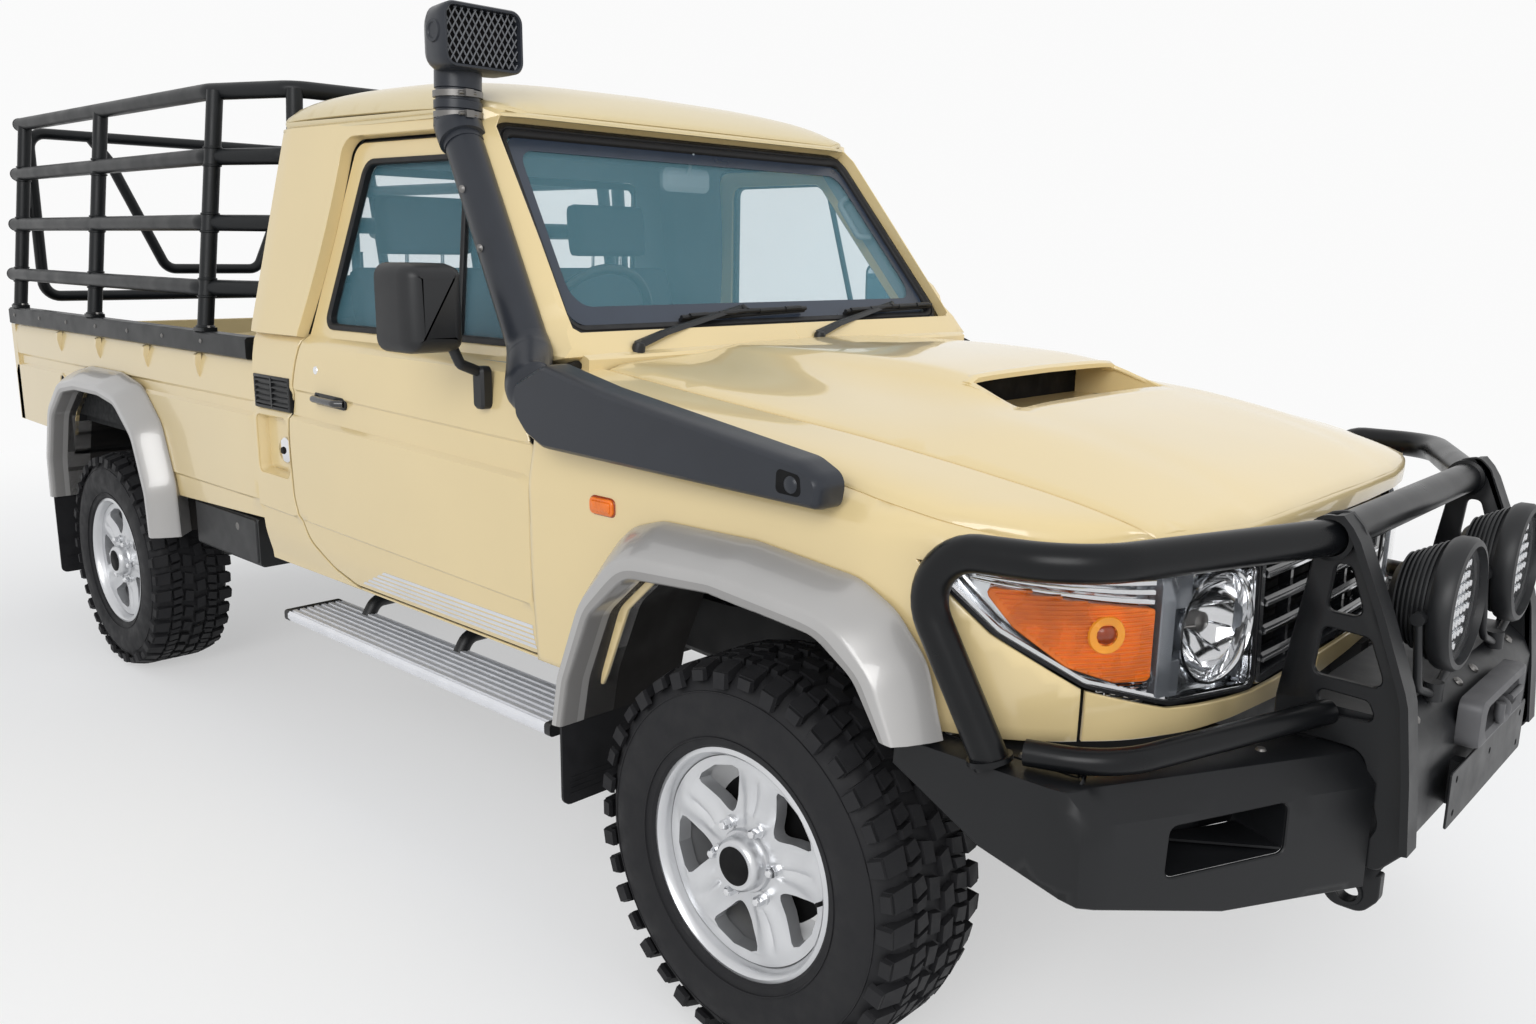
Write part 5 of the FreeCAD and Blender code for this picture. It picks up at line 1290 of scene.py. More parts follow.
def build_snorkel_head(shape):
    """The ram head: a rounded scoop that opens forward, with a net in its mouth, on a clamped neck."""
    centre_y = -0.682

    def section(x, half_width, low, high, corner):
        outline = rounded_box(centre_y - half_width, centre_y + half_width, low, high, corner, 6)
        return [(x, y, z) for y, z in outline]
    rings = [section(0.467, 0.06, 1.924, 2.008, 0.026), section(0.472, 0.066, 1.918, 2.014, 0.03),
             section(0.49, 0.078, 1.912, 2.024, 0.036), section(0.52, 0.096, 1.906, 2.04, 0.038),
             section(0.541, 0.105, 1.904, 2.046, 0.036), section(0.585, 0.106, 1.905, 2.048, 0.032),
             section(0.612, 0.106, 1.907, 2.048, 0.028), section(0.617, 0.103, 1.91, 2.045, 0.026),
             section(0.616, 0.098, 1.915, 2.04, 0.022), section(0.6, 0.095, 1.918, 2.037, 0.02),
             section(0.582, 0.092, 1.922, 2.034, 0.02)]
    loft(shape, rings)
    # Mouth and its net: the mouth is a flat matte black sheet, painted shade for the hollow inside the head
    outline = rounded_box(centre_y - 0.092, centre_y + 0.092, 1.921, 2.035, 0.02)
    skin(shape, outline, lambda y, z: (0.5835, y, z), 0.05, 0.001, mark=1, lip=0.0003)
    for lean in (-1, 1):
        for step in range(-7, 8):
            y = centre_y + step * 0.0175
            (ya, za), (yb, zb) = [(y + lean * (z - 1.9775) * 0.62, z) for z in (1.918, 2.037)]
            wire = [(0.606 + 0.001 * lean, ya + (yb - ya) * k, za + (zb - za) * k)
                    for k in np.linspace(0, 1, 41)]
            wire = [spot for spot in wire if centre_y - 0.094 <= spot[1] <= centre_y + 0.094]
            if len(wire) >= 3:
                tube(shape, [wire[0], wire[-1]], 0.0018, sides=6, mark=3)
    # Cap on the head's side, and the ribbed neck with its two clamps
    turned(shape, [(0.0, 0.0015), (0.016, 0.0015), (0.018, 0.004), (0.024, 0.004), (0.026, 0.0),
                   (0.0, -0.002)], (0.572, -0.7875, 1.985), RIGHT, UP, 32)
    neck = [(0.0, -0.01), (0.056, -0.01), (0.056, 0.008), (0.051, 0.01), (0.051, 0.03), (0.056, 0.032),
            (0.056, 0.05), (0.051, 0.052), (0.051, 0.076), (0.0545, 0.078), (0.0545, 0.118), (0.0, 0.118)]
    turned(shape, neck, (0.53, -0.705, 1.792), unit((-0.002, 0.007, 0.14)), AHEAD, 44)
    for height in (1.812, 1.858):
        turned(shape, [(0.0515, -0.007), (0.0575, -0.007), (0.0575, 0.007), (0.0515, 0.007)],
               (0.529, -0.702, height), UP, AHEAD, 44, 2)
        block(shape, 0.572, 0.594, -0.722, -0.702, height - 0.008, height + 0.008, 2)
        cylinder(shape, (0.583, -0.735, height), (0.583, -0.69, height), 0.0045, 12, 2)


snorkel_shape = build_snorkel()
build_snorkel_head(snorkel_shape)
# Screw in its recess at the body's front, and two screws on the pipe
# The recess is a flat matte black patch on the snorkel's body: painted shade.
recess_painted_shade = round_corners([(1.748, 1.118), (1.75, 1.16), (1.802, 1.153), (1.806, 1.116)], 0.01)
skin(snorkel_shape, recess_painted_shade, lambda x, z: (x, -0.9121, z), 0.03, 0.002, mark=1, lip=0.0004)
turned(snorkel_shape, [(0.0, 0.0045), (0.009, 0.004), (0.013, 0.002), (0.015, 0.0), (0.0, 0.0)],
       (1.782, -0.912, 1.135), RIGHT, UP, 28)
for spot in ((0.745, -0.802, 1.51), (0.65, -0.78, 1.64)):
    screw_head(snorkel_shape, 0.004, 0.003, 0.006, 0.009, spot, (0.3, -1.0, 0.2), UP, 16, 2)
piece("snorkel_run", snorkel_shape, [SNORKEL, MATTE, STEEL, NET], angle=42,
      stands_for=["snorkel"])


# Cab: a slab-sided lower body, a ledge at the belt and a glasshouse that leans in

BELT_LOW, BELT_HIGH, LEDGE = 1.238, 1.275, 0.06
BELT_SLOPE = 0.024
CORNER_FRONT, CORNER_BACK = 0.016, 0.045
SIDE_STOPS = [0.0, 0.7, 0.73, 1.98, 2.05, 2.75]
LOW_HEIGHTS = [0.6, 0.69, 0.746, 0.754, 1.018, 1.03, 1.041, 1.107, 1.114, 1.18, 1.24]
low_width = smooth_curve(LOW_HEIGHTS, [0.804, 0.824, 0.828, 0.8355, 0.837, 0.8365, 0.8255, 0.824, 0.8305,
                                       0.8265, 0.815])
SIDE_CREASES = [lambda x, z=z: z - BELT_SLOPE * (x - 0.4) for z in LOW_HEIGHTS[2:-1]]


def house_y(x, z):
    return 0.8 - 0.0497 * (x + 0.37) - 0.202 * (z - 1.285)


def screen_x(z):
    return 0.938 - 0.7534 * (z - 1.299)


def back_x(z):
    return -0.37 + 0.088 * (z - 1.285)


def height_to_b(z):
    if z <= BELT_LOW:
        return z
    if z >= BELT_HIGH:
        return z + LEDGE - (BELT_HIGH - BELT_LOW)
    return BELT_LOW + LEDGE * (z - BELT_LOW) / (BELT_HIGH - BELT_LOW)


def side_spot(x, b):
    """A point on the right side; b is the height, stretched over the ledge at the belt."""
    if b >= BELT_LOW + LEDGE:
        z = b - LEDGE + (BELT_HIGH - BELT_LOW)
        return (x, -house_y(x, z), z)
    if b <= BELT_LOW:
        return (x, -low_width(b + BELT_SLOPE * (x - 0.4)), b)
    s = (b - BELT_LOW) / LEDGE
    y0, y1 = low_width(BELT_LOW + BELT_SLOPE * (x - 0.4)), house_y(x, BELT_HIGH)
    ys = (y0, y0 - 0.001, y1 + 0.35 * (y0 - y1), y1)
    zs = (BELT_LOW, BELT_LOW + 0.02, BELT_HIGH - 0.012, BELT_HIGH)
    weights = ((1 - s) ** 3, 3 * s * (1 - s) ** 2, 3 * s * s * (1 - s), s ** 3)
    return (x, -sum(w * y for w, y in zip(weights, ys)), sum(w * z for w, z in zip(weights, zs)))


def level_plan(z):
    """The glasshouse's plan at one height: x of its front and back, and its half width there."""
    front, back = screen_x(z), back_x(z)
    return front, back, house_y(front, z), house_y(back, z)


def wrap(t, b):
    """The right half of the glasshouse: windscreen face, corner, side, corner, back."""
    z = b - LEDGE + (BELT_HIGH - BELT_LOW)
    front, back, front_y, back_y = level_plan(z)
    stops = SIDE_STOPS
    leg = 0
    while leg < 4 and t > stops[leg + 1]:
        leg += 1
    share = (t - stops[leg]) / (stops[leg + 1] - stops[leg])
    turn = share * math.pi / 2
    if leg == 0:
        return (front, -(front_y - CORNER_FRONT) * share, z)
    if leg == 1:
        return (front - CORNER_FRONT * (1 - math.cos(turn)),
                -(front_y - CORNER_FRONT * (1 - math.sin(turn))), z)
    if leg == 2:
        x = (front - CORNER_FRONT) * (1 - share) + (back + CORNER_BACK) * share
        return (x, -house_y(x, z), z)
    if leg == 3:
        return (back + CORNER_BACK * (1 - math.sin(turn)), -(back_y - CORNER_BACK * (1 - math.cos(turn))), z)
    return (back, -(back_y - CORNER_BACK) * (1 - share), z)


def on_side(x, z):
    front, back, _, _ = level_plan(max(z, BELT_HIGH))
    share = (front - CORNER_FRONT - x) / (front - back - CORNER_FRONT - CORNER_BACK)
    return (SIDE_STOPS[2] + share * (SIDE_STOPS[3] - SIDE_STOPS[2]), height_to_b(z))


def on_screen(y, z):
    return (SIDE_STOPS[1] * y / (level_plan(z)[2] - CORNER_FRONT), height_to_b(z))


def on_back(y, z):
    share = 1 - y / (level_plan(z)[3] - CORNER_BACK)
    return (SIDE_STOPS[4] + share * (SIDE_STOPS[5] - SIDE_STOPS[4]), height_to_b(z))


def screen_plane(offset):
    def surface(y, z):
        return (screen_x(z) + 0.7987 * offset, y, z + 0.6017 * offset)
    return surface


def back_plane(offset):
    def surface(y, z):
        return (back_x(z) - 0.9961 * offset, y, z + 0.0877 * offset)
    return surface


DOOR_EDGE = [(0.123, 0.615), (0.018, 0.645), (-0.106, 0.718), (-0.145, 0.824), (-0.154, 1.02),
             (-0.093, 1.262), (0.02, 1.775), (0.494, 1.775), (0.852, 1.29), (0.868, 1.262), (0.95, 1.1),
             (0.95, 0.615)]
DOOR_BENDS = [0.1, 0.14, 0.12, 0.1, 0.5, 0.8, 0.045, 0.045, 0.05, 0.04, 0.06, 0.03]
WINDOW_EDGE = [(-0.018, 1.296), (0.076, 1.728), (0.478, 1.728), (0.797, 1.296)]
WINDOW_BENDS = [0.03, 0.045, 0.05, 0.025]


def door_surface(proud):
    def surface(x, z):
        x, y, z = side_spot(x, height_to_b(z))
        return (x, y - proud, z)
    return surface


def stretch(ring, test):
    """The run of neighbouring points on a closed ring that pass the test."""
    count = len(ring)
    first = next(i for i in range(count) if test(*ring[i]) and not test(*ring[i - 1]))
    found = []
    for step in range(count):
        spot = ring[(first + step) % count]
        if not test(*spot):
            break
        found.append(spot)
    return found


def build_cab():
    shell = Geometry()
    edge = round_corners(DOOR_EDGE, DOOR_BENDS, 6)
    hole = grown(edge, 0.008)
    run = stretch(hole, lambda x, z: z > BELT_HIGH)
    rear_up = [on_side(x, z) for x, z in run]
    base = height_to_b(BELT_HIGH)
    under = base - 0.012
    front_foot = (on_side(run[-1][0] + 0.004, BELT_HIGH)[0], under)
    rear_foot = (on_side(run[0][0] - 0.002, BELT_HIGH)[0], under)
    top = height_to_b(1.817)
    screen = [on_screen(0.001 * y, 0.001 * z) for y, z in ((0, 1804), (590, 1804), (630, 1795), (645, 1768),
                                                          (704, 1352), (706, 1322), (690, 1312), (0, 1312))]
    back = [on_back(0.001 * y, 0.001 * z) for y, z in ((0, 1400), (572, 1400), (592, 1406), (598, 1428),
                                                       (588, 1714), (580, 1735), (560, 1742), (0, 1742))]
    outline = [(0.0, under), front_foot] + rear_up[::-1] + [rear_foot, (SIDE_STOPS[5], under)]
    outline += back + [(SIDE_STOPS[5], top), (0.0, top)] + screen
    skin(shell, outline, wrap, 0.03, 0.034, lip=0.0012)
    # Lower side with the quarter panel behind the door, the sill and the post ahead of it
    lower_run = stretch(hole, lambda x, z: z <= BELT_HIGH)
    rear_path = [(x, height_to_b(z)) for x, z in lower_run if x <= 0.5]
    if rear_path[0][1] < rear_path[-1][1]:
        rear_path.reverse()
    recess = round_corners([(-0.352, 0.87), (-0.352, 1.038), (-0.176, 1.04), (-0.158, 1.0), (-0.158, 0.9),
                            (-0.176, 0.868)], 0.02)
    vent = [(-0.356, 1.06), (-0.356, 1.15), (-0.148, 1.15), (-0.148, 1.06)]
    quarter = [(-0.37, 0.604), (0.944, 0.604), (0.95, 0.6095), (0.14, 0.6095)]
    quarter += rear_path[::-1] + [(rear_path[0][0], base), (-0.37, base)]
    skin(shell, quarter, side_spot, 0.024, 0.03, holes=[recess, vent], creases=SIDE_CREASES)
    # The post ahead of the door sits back and takes the dark seal rubber: painted shade that keeps the gap
    # before the door dark.
    post = [(0.957, 0.64), (0.957, 1.102), (0.876, 1.262), (0.872, base), (0.985, base), (0.985, 1.15),
            (0.966, 1.1), (0.966, 0.64)]

    def set_back(x, b):
        x, y, z = side_spot(x, b)
        return (x, y + 0.014, z)
    skin(shell, post, set_back, 0.02, 0.02, mark=1, lip=0.001)
    shell = shell.with_mirror()
    # Cowl ahead of the windscreen
    rows = []
    for y in np.linspace(-0.712, 0.712, 33):
        bow = 0.012 * (1 - (y / 0.712) ** 2)
        rows.append([(0.86, y, 1.262), (0.915, y, 1.3), (0.938, y, 1.302), (0.958, y, 1.296),
                     (1.004 + bow, y, 1.281 + 0.004 * (1 - (y / 0.7) ** 2)), (1.01 + bow, y, 1.276),
                     (1.008 + bow, y, 1.24), (0.86, y, 1.22)])
    loft(shell, rows)
    # Lower wall behind the seats
    prism(shell, [(-0.8, 0.604), (-0.806, 0.8), (-0.806, 1.03), (-0.798, 1.28), (0.798, 1.28),
                  (0.806, 1.03), (0.806, 0.8), (0.8, 0.604)], "yz", -0.37, -0.34)
    piece("cab_body", shell, [PAINT, SEAL_AND_SHADE], angle=28, stands_for=["cab_shell"])

    lining = Geometry()

    def inner(t, b):
        x, y, z = wrap(t, b)
        aim = np.array((0.25, 0.0, 1.5)) - np.array((x, y, z))
        aim[2] *= 0.2
        return tuple(np.array((x, y, z)) + unit(aim) * 0.038)
    skin(lining, outline, inner, 0.04, 0.004, lip=0.0005)
    lining = lining.with_mirror()
    block(lining, -0.33, 0.96, -0.76, 0.76, 0.7, 0.714)
    block(lining, -0.336, -0.326, -0.77, 0.77, 0.714, 1.3)
    prism(lining, [(0.88, 0.714), (0.985, 0.82), (0.985, 1.2), (0.9, 1.262), (0.93, 1.2), (0.965, 1.19),
                   (0.965, 0.83), (0.87, 0.722)], "xz", -0.76, 0.76)
    for side in (-1, 1):
        block(lining, -0.33, -0.155, side * 0.735, side * 0.765, 0.714, 1.27)
    # Headlining
    block(lining, -0.3, 0.52, -0.64, 0.64, 1.8, 1.812)
    piece("cab_lining", lining, [INSIDE])

    # A band of seal rubber behind the door's shut line, partly a real seal and partly painted shade inside
    # the gap.
    gap = Geometry()
    band(gap, grown(edge, 0.016), grown(edge, -0.01), door_surface,
         [(0.0, -0.016), (1.0, -0.016), (1.0, -0.024), (0.0, -0.024)])
    piece("door_gap_seals", gap.with_mirror(), [SEAL_AND_SHADE], angle=50)

    # Filler recess, cap and the vent behind the door
    pocket = Geometry()
    floor_y = -0.806
    band(pocket, grown(recess, 0.001), grown(recess, -0.012), door_surface,
         [(0.0, -0.003), (1.0, -0.03), (1.0, -0.034), (0.0, -0.03)])
    skin(pocket, grown(recess, -0.01), lambda x, z: (x, floor_y, z), 0.03, 0.004, lip=0.0005)
    turned(pocket, [(0.0, 0.014), (0.03, 0.014), (0.036, 0.01), (0.038, 0.0), (0.0, 0.0)],
           (-0.226, floor_y, 0.943), RIGHT, UP, 40, 1)
    turned(pocket, [(0.0, 0.02), (0.009, 0.02), (0.011, 0.014), (0.0, 0.014)], (-0.226, floor_y, 0.943),
           RIGHT, UP, 24, 2)
    piece("filler_recess", pocket.with_mirror(), [PAINT, CHROME, MATTE])
    grid = Geometry()
    block(grid, -0.36, -0.144, -0.8275, -0.8, 1.056, 1.154)
    frame_out = [(-0.358, 1.058), (-0.358, 1.152), (-0.146, 1.152), (-0.146, 1.058)]
    frame_in = [(-0.349, 1.067), (-0.349, 1.143), (-0.155, 1.143), (-0.155, 1.067)]
    band(grid, frame_out, frame_in, lambda proud: (lambda x, z: (x, -0.828 - proud, z)),
         [(0.0, -0.01), (0.0, 0.004), (0.3, 0.006), (0.9, 0.006), (1.0, 0.004), (1.0, -0.01)])
    for row in range(5):
        z = 1.074 + row * 0.0155
        prism(grid, [(-0.836, z - 0.002), (-0.829, z + 0.006), (-0.822, z + 0.006), (-0.829, z - 0.002)],
              "yz", -0.352, -0.152)
    block(grid, -0.256, -0.248, -0.835, -0.82, 1.062, 1.148)
    piece("quarter_vents", grid.with_mirror(), [PLASTIC])


def build_roof():
    edge_z, rise, half_width = 1.818, 0.129, 0.704
    along = smooth_curve([-0.352, -0.344, -0.325, -0.27, -0.15, 0.0, 0.2, 0.35, 0.47, 0.55, 0.594, 0.602],
                         [0.1, 0.3, 0.66, 0.86, 0.965, 1.0, 0.985, 0.9, 0.7, 0.42, 0.17, 0.08])
    aside = smooth_curve([0.0, 0.3, 0.5, 0.6, 0.66, 0.69, 0.704, 0.712],
                         [1.0, 0.965, 0.885, 0.78, 0.6, 0.38, 0.19, 0.08])

    def surface(x, y):
        here = 0.706 - 0.0497 * (x + 0.1) * 0.9
        return (x, y, edge_z + rise * along(x) * aside(abs(y) * half_width / here))
    plan = [(-0.348, -0.655), (-0.32, -0.712), (0.44, -0.682), (0.575, -0.64), (0.6, -0.56)]
    plan += [(x, -y) for x, y in reversed(plan)]
    outline = round_corners(plan, [0.05, 0.05, 0.2, 0.06, 0.08, 0.08, 0.06, 0.2, 0.05, 0.05], 5)
    roof = Geometry()
    skin(roof, outline, surface, 0.022, 0.01, lip=0.002)
    # Rain gutter under the roof's edge
    rings = []
    for a in outline + outline[:1]:
        x, y, z = surface(*a)
        out = unit((a[0] - 0.12, a[1]))
        rings.append([(x + out[0] * reach, y + out[1] * reach, level) for reach, level in (
            (-0.016, z - 0.002), (0.001, z - 0.002), (0.004, z - 0.01), (0.001, 1.826), (0.01, 1.822),
            (0.011, 1.815), (-0.016, 1.815))])
    loft(roof, rings, caps=False)
    piece("roof_skin", roof, [ROOF_PAINT_SHADED], angle=50, stands_for=["roof_panel"])


def build_doors():
    edge = round_corners(DOOR_EDGE, DOOR_BENDS, 6)
    window = round_corners(WINDOW_EDGE, WINDOW_BENDS, 5)
    outline = [(x, height_to_b(z)) for x, z in edge]
    opening = [(x, height_to_b(z)) for x, z in window]
    skin_half = Geometry()
    skin(skin_half, outline, side_spot, 0.022, 0.026, holes=[opening], lip=0.0022, creases=SIDE_CREASES)
    trim = Geometry()
    lower_edge = round_corners([(-0.12, 0.76), (-0.125, 1.0), (-0.08, 1.262), (0.83, 1.262), (0.905, 1.1),
                                (0.905, 0.66), (0.15, 0.66), (-0.06, 0.72)], 0.03)
    skin(trim, lower_edge, lambda x, z: (x, -low_width(z) + 0.03, z), 0.06, 0.03, lip=0.002)
    block(trim, 0.02, 0.46, -0.765, -0.7, 1.055, 1.085)
    rubber = Geometry()
    band(rubber, grown(window, 0.004), grown(window, -0.011), door_surface,
         [(0.0, -0.004), (0.0, 0.0035), (0.3, 0.005), (0.8, 0.004), (1.0, 0.0), (1.0, -0.016), (0.6, -0.022)])
    # The door's edge face in the dark seal rubber: painted shade that draws the shut lines
    band(rubber, grown(edge, 0.003), grown(edge, 0.0004), door_surface,
         [(0.0, -0.004), (1.0, -0.004), (1.0, -0.026), (0.0, -0.026)])
    # Upright channel between the moving and the fixed glass
    tube(rubber, [(0.5, -house_y(0.5, 1.7) + 0.01, 1.716), (0.56, -house_y(0.56, 1.3) + 0.01, 1.3)], 0.009,
         sides=12)
    handle = Geometry()
    grip_top = round_corners([(-0.008, 1.096), (-0.008, 1.13), (0.155, 1.126), (0.155, 1.092)], 0.012)
    wall = -low_width(1.11)
    skin(handle, grip_top, lambda x, z: (x, wall - 0.004, z), 0.03, 0.01, lip=0.002)
    tube(handle, [(0.004, wall - 0.004, 1.113), (0.02, wall - 0.022, 1.113), (0.128, wall - 0.022, 1.11),
                  (0.146, wall - 0.004, 1.109)], 0.0095, 0.014, 14, 6, mark=1)
    screw_head(handle, 0.003, 0.003, 0.01, 0.012, (0.001, wall + 0.001, 1.185), RIGHT, UP, 24, mark=2)
    stripe = Geometry()
    for step in range(5):
        z0 = 0.628 + step * 0.0125
        x0 = 0.16 + step * 0.03
        bar = [(x0, z0), (0.935, z0), (0.935, z0 + 0.0085), (x0 + 0.014, z0 + 0.0085)]
        skin(stripe, bar, door_surface(0.0007), 0.05, 0.0006, lip=0.0001)
    on_both_sides([("door_skin_{}", skin_half, [PAINT], "paint", ["door_{}"]),
                   ("door_trim_{}", trim, [INSIDE], "black_plastic", []),
                   ("door_rubber_{}", rubber, [SEAL_AND_SHADE], "seal_rubber", []),
                   ("door_handle_{}", handle, [PLASTIC, GRILLE, CHROME], "black_plastic", []),
                   ("door_stripe_{}", stripe, [STRIPE], "flare_grey", [])], "door_{}_leaf", 30)


def build_window_seals():
    seals = Geometry()
    outer = round_corners([(-0.711, 1.313), (-0.639, 1.803), (0.639, 1.803), (0.711, 1.313)], 0.055, 6)
    inner = grown(outer, -0.03)
    band(seals, outer, inner, screen_plane, [(0.0, -0.01), (0.0, 0.003), (0.2, 0.007), (0.42, 0.0075),
                                             (0.5, 0.0035), (0.58, 0.0065), (0.9, 0.005), (1.0, 0.001),
                                             (1.0, -0.012)])
    rear_outer = round_corners([(-0.599, 1.401), (-0.584, 1.741), (0.584, 1.741), (0.599, 1.401)], 0.05, 6)
    rear_inner = grown(rear_outer, -0.024)
    band(seals, rear_outer, rear_inner, back_plane, [(0.0, -0.01), (0.0, 0.003), (0.3, 0.007), (0.8, 0.006),
                                                     (1.0, 0.0), (1.0, -0.014)])
    piece("glass_seals", seals, [SEAL_AND_SHADE], angle=50, stands_for=["window_seals"])
    border = Geometry()
    edge_in = round_corners([(-0.678, 1.346), (-0.612, 1.775), (0.612, 1.775), (0.678, 1.346)], 0.045, 6)
    edge_clear = round_corners([(-0.64, 1.386), (-0.586, 1.744), (0.586, 1.744), (0.64, 1.386)], 0.045, 6)
    band(border, edge_in, edge_clear, screen_plane, [(0.0, -0.006), (1.0, -0.006), (1.0, -0.0072),
                                                     (0.0, -0.0072)])
    piece("screen_border", border, [BORDER], angle=50)


build_cab()
build_roof()
build_doors()
build_window_seals()


# Bed: pressed sides with creases, load floor, tailgate and rails

def wheel_opening():
    arch = [(-1.99, 0.69), (-1.985, 0.7), (-1.915, 0.88), (-1.79, 0.975), (-1.65, 0.995), (-1.43, 0.995),
            (-1.29, 0.975), (-1.165, 0.88), (-1.095, 0.7), (-1.09, 0.69)]
    return [tuple(p) for p in resampled(rounded([(x, z, 0) for x, z in arch], 0.09, 6), 44)[:, :2]]


HOOK_PLACES = (-1.99, -1.6, -1.172, -0.768)
BED_HEIGHTS = [0.69, 0.712, 0.73, 0.768, 0.776, 1.02, 1.03, 1.06, 1.069, 1.15, 1.172, 1.184]
bed_inset = smooth_curve(BED_HEIGHTS, [0.012, 0.007, 0.006, 0.006, 0.0, 0.0, 0.0095, 0.0095, 0.001, 0.0,
                                       0.003, 0.01])
BED_CREASES = [lambda x, z=z: z for z in BED_HEIGHTS[1:-1]]


def build_bed():
    arch = wheel_opening()
    half = Geometry()
    side_y = -0.815

    def surface(x, z):
        return (x, side_y + bed_inset(z), z)
    outline = [(-2.548, 0.8), (-2.072, 0.792), (-1.994, 0.692)] + arch[1:-1]
    outline += [(-1.086, 0.692), (-0.398, 0.718), (-0.398, 1.184), (-2.548, 1.184)]
    slot = rounded_box(-2.03, -1.982, 0.893, 1.019, 0.022, 6)
    skin(half, outline, surface, 0.04, 0.016, lip=0.002, creases=BED_CREASES)
    # Pressed oval, and pockets for the rope hooks
    band(half, grown(slot, 0.006), grown(slot, -0.004), lambda proud: (lambda x, z: (x, side_y - proud, z)),
         [(0.0, -0.002), (0.2, 0.0035), (0.7, 0.0035), (1.0, -0.002), (0.5, -0.004)])
    # The oval's floor is a flat matte black sheet: painted shade for the dark slot.
    skin(half, grown(slot, -0.004), lambda x, z: (x, -0.8158, z), 0.02, 0.002, mark=1, lip=0.0003)
    # Rope hooks pressed out of the upper edge
    for x in HOOK_PLACES:
        rings = []
        for z, wide, out in ((1.182, 0.016, 0.001), (1.176, 0.017, 0.012), (1.15, 0.012, 0.014),
                             (1.12, 0.005, 0.007), (1.108, 0.001, 0.001)):
            rings.append([(x - wide, -0.812, z), (x - 0.55 * wide, side_y - out, z),
                          (x + 0.55 * wide, side_y - out, z), (x + wide, -0.812, z)])
        loft(half, rings)
    shape = half.with_mirror()
    for side in (-1, 1):
        block(shape, -2.508, -0.436, side * 0.785 - 0.012, side * 0.785 + 0.012, 0.878, 1.183, 3)
        # Wheel box inside
        rings = []
        for x, z in grown(arch, 0.011):
            z = max(z, 0.88)
            rings.append([(x, side * 0.564, z), (x, side * 0.775, z), (x, side * 0.775, z - 0.006),
                          (x, side * 0.564, z - 0.006)])
        loft(shape, rings, 3)
        outline_box = [(x, max(z, 0.872)) for x, z in grown(arch, 0.01)]
        skin(shape, outline_box + [(outline_box[-1][0], 0.868), (outline_box[0][0], 0.868)],
             lambda x, z, y=side * 0.564: (x, y, z), 0.06, 0.004, mark=3, lip=0.0008)
        loft(shape, [[(x, side * 0.812, z), (x, side * 0.568, z), (x, side * 0.568, z + 0.005),
                      (x, side * 0.812, z + 0.005)] for x, z in arch], 2)
        skin(shape, arch, lambda x, z, y=side * 0.57: (x, y, z), 0.08, 0.004, mark=2, lip=0.0008)
        block(shape, -2.552, -2.508, side * 0.808 - 0.007, side * 0.808 + 0.007, 0.8, 1.183)
        block(shape, -2.512, -2.49, side * 0.79 - 0.018, side * 0.79 + 0.018, 0.8, 1.183)
    # Ribbed load floor and front wall
    rows = []
    for y in np.linspace(-0.775, 0.775, 125):
        rise = 0.006 * (0.5 + 0.5 * math.tanh(6 * math.sin(y * 2 * math.pi / 0.155)))
        rows.append([(-2.506, y, 0.874 + rise), (-0.436, y, 0.874 + rise), (-0.436, y, 0.852),
                     (-2.506, y, 0.852)])
    loft(shape, rows, 3)
    block(shape, -0.42, -0.398, -0.79, 0.79, 0.852, 1.183)
    block(shape, -0.434, -0.4205, -0.772, 0.772, 0.876, 1.182, 3)
    for x, low in ((-0.7, 0.69), (-2.35, 0.75), (-1.06, 0.7), (-2.06, 0.76)):
        block(shape, x - 0.038, x + 0.038, -0.558, 0.558, low + 0.001, 0.853, 2)
    piece("bed_skin", shape, [PAINT, MATTE, UNDER, LINER], angle=30, stands_for=["bed_box"])

    rails = Geometry()
    for side in (-1, 1):
        section = [(side * 0.777, 1.186), (side * 0.777, 1.246), (side * 0.781, 1.25), (side * 0.824, 1.25),
                   (side * 0.832, 1.242), (side * 0.832, 1.19), (side * 0.826, 1.186)]
        prism(rails, section, "yz", -2.508, -0.399)
        for x in np.arange(-2.44, -0.42, 0.29):
            screw_head(rails, 0.004, 0.003, 0.005, 0.008, (x, side * 0.832, 1.222), (0, side, 0), UP, 12, 1)
    block(rails, -0.439, -0.399, -0.777, 0.777, 1.186, 1.25)
    piece("bed_rail_bars", rails, [CAGE, STEEL], bevel=0.0012, stands_for=["bed_rails"])

    gate = Geometry()
    outer = rounded_box(-0.77, 0.77, 0.802, 1.179, 0.012)

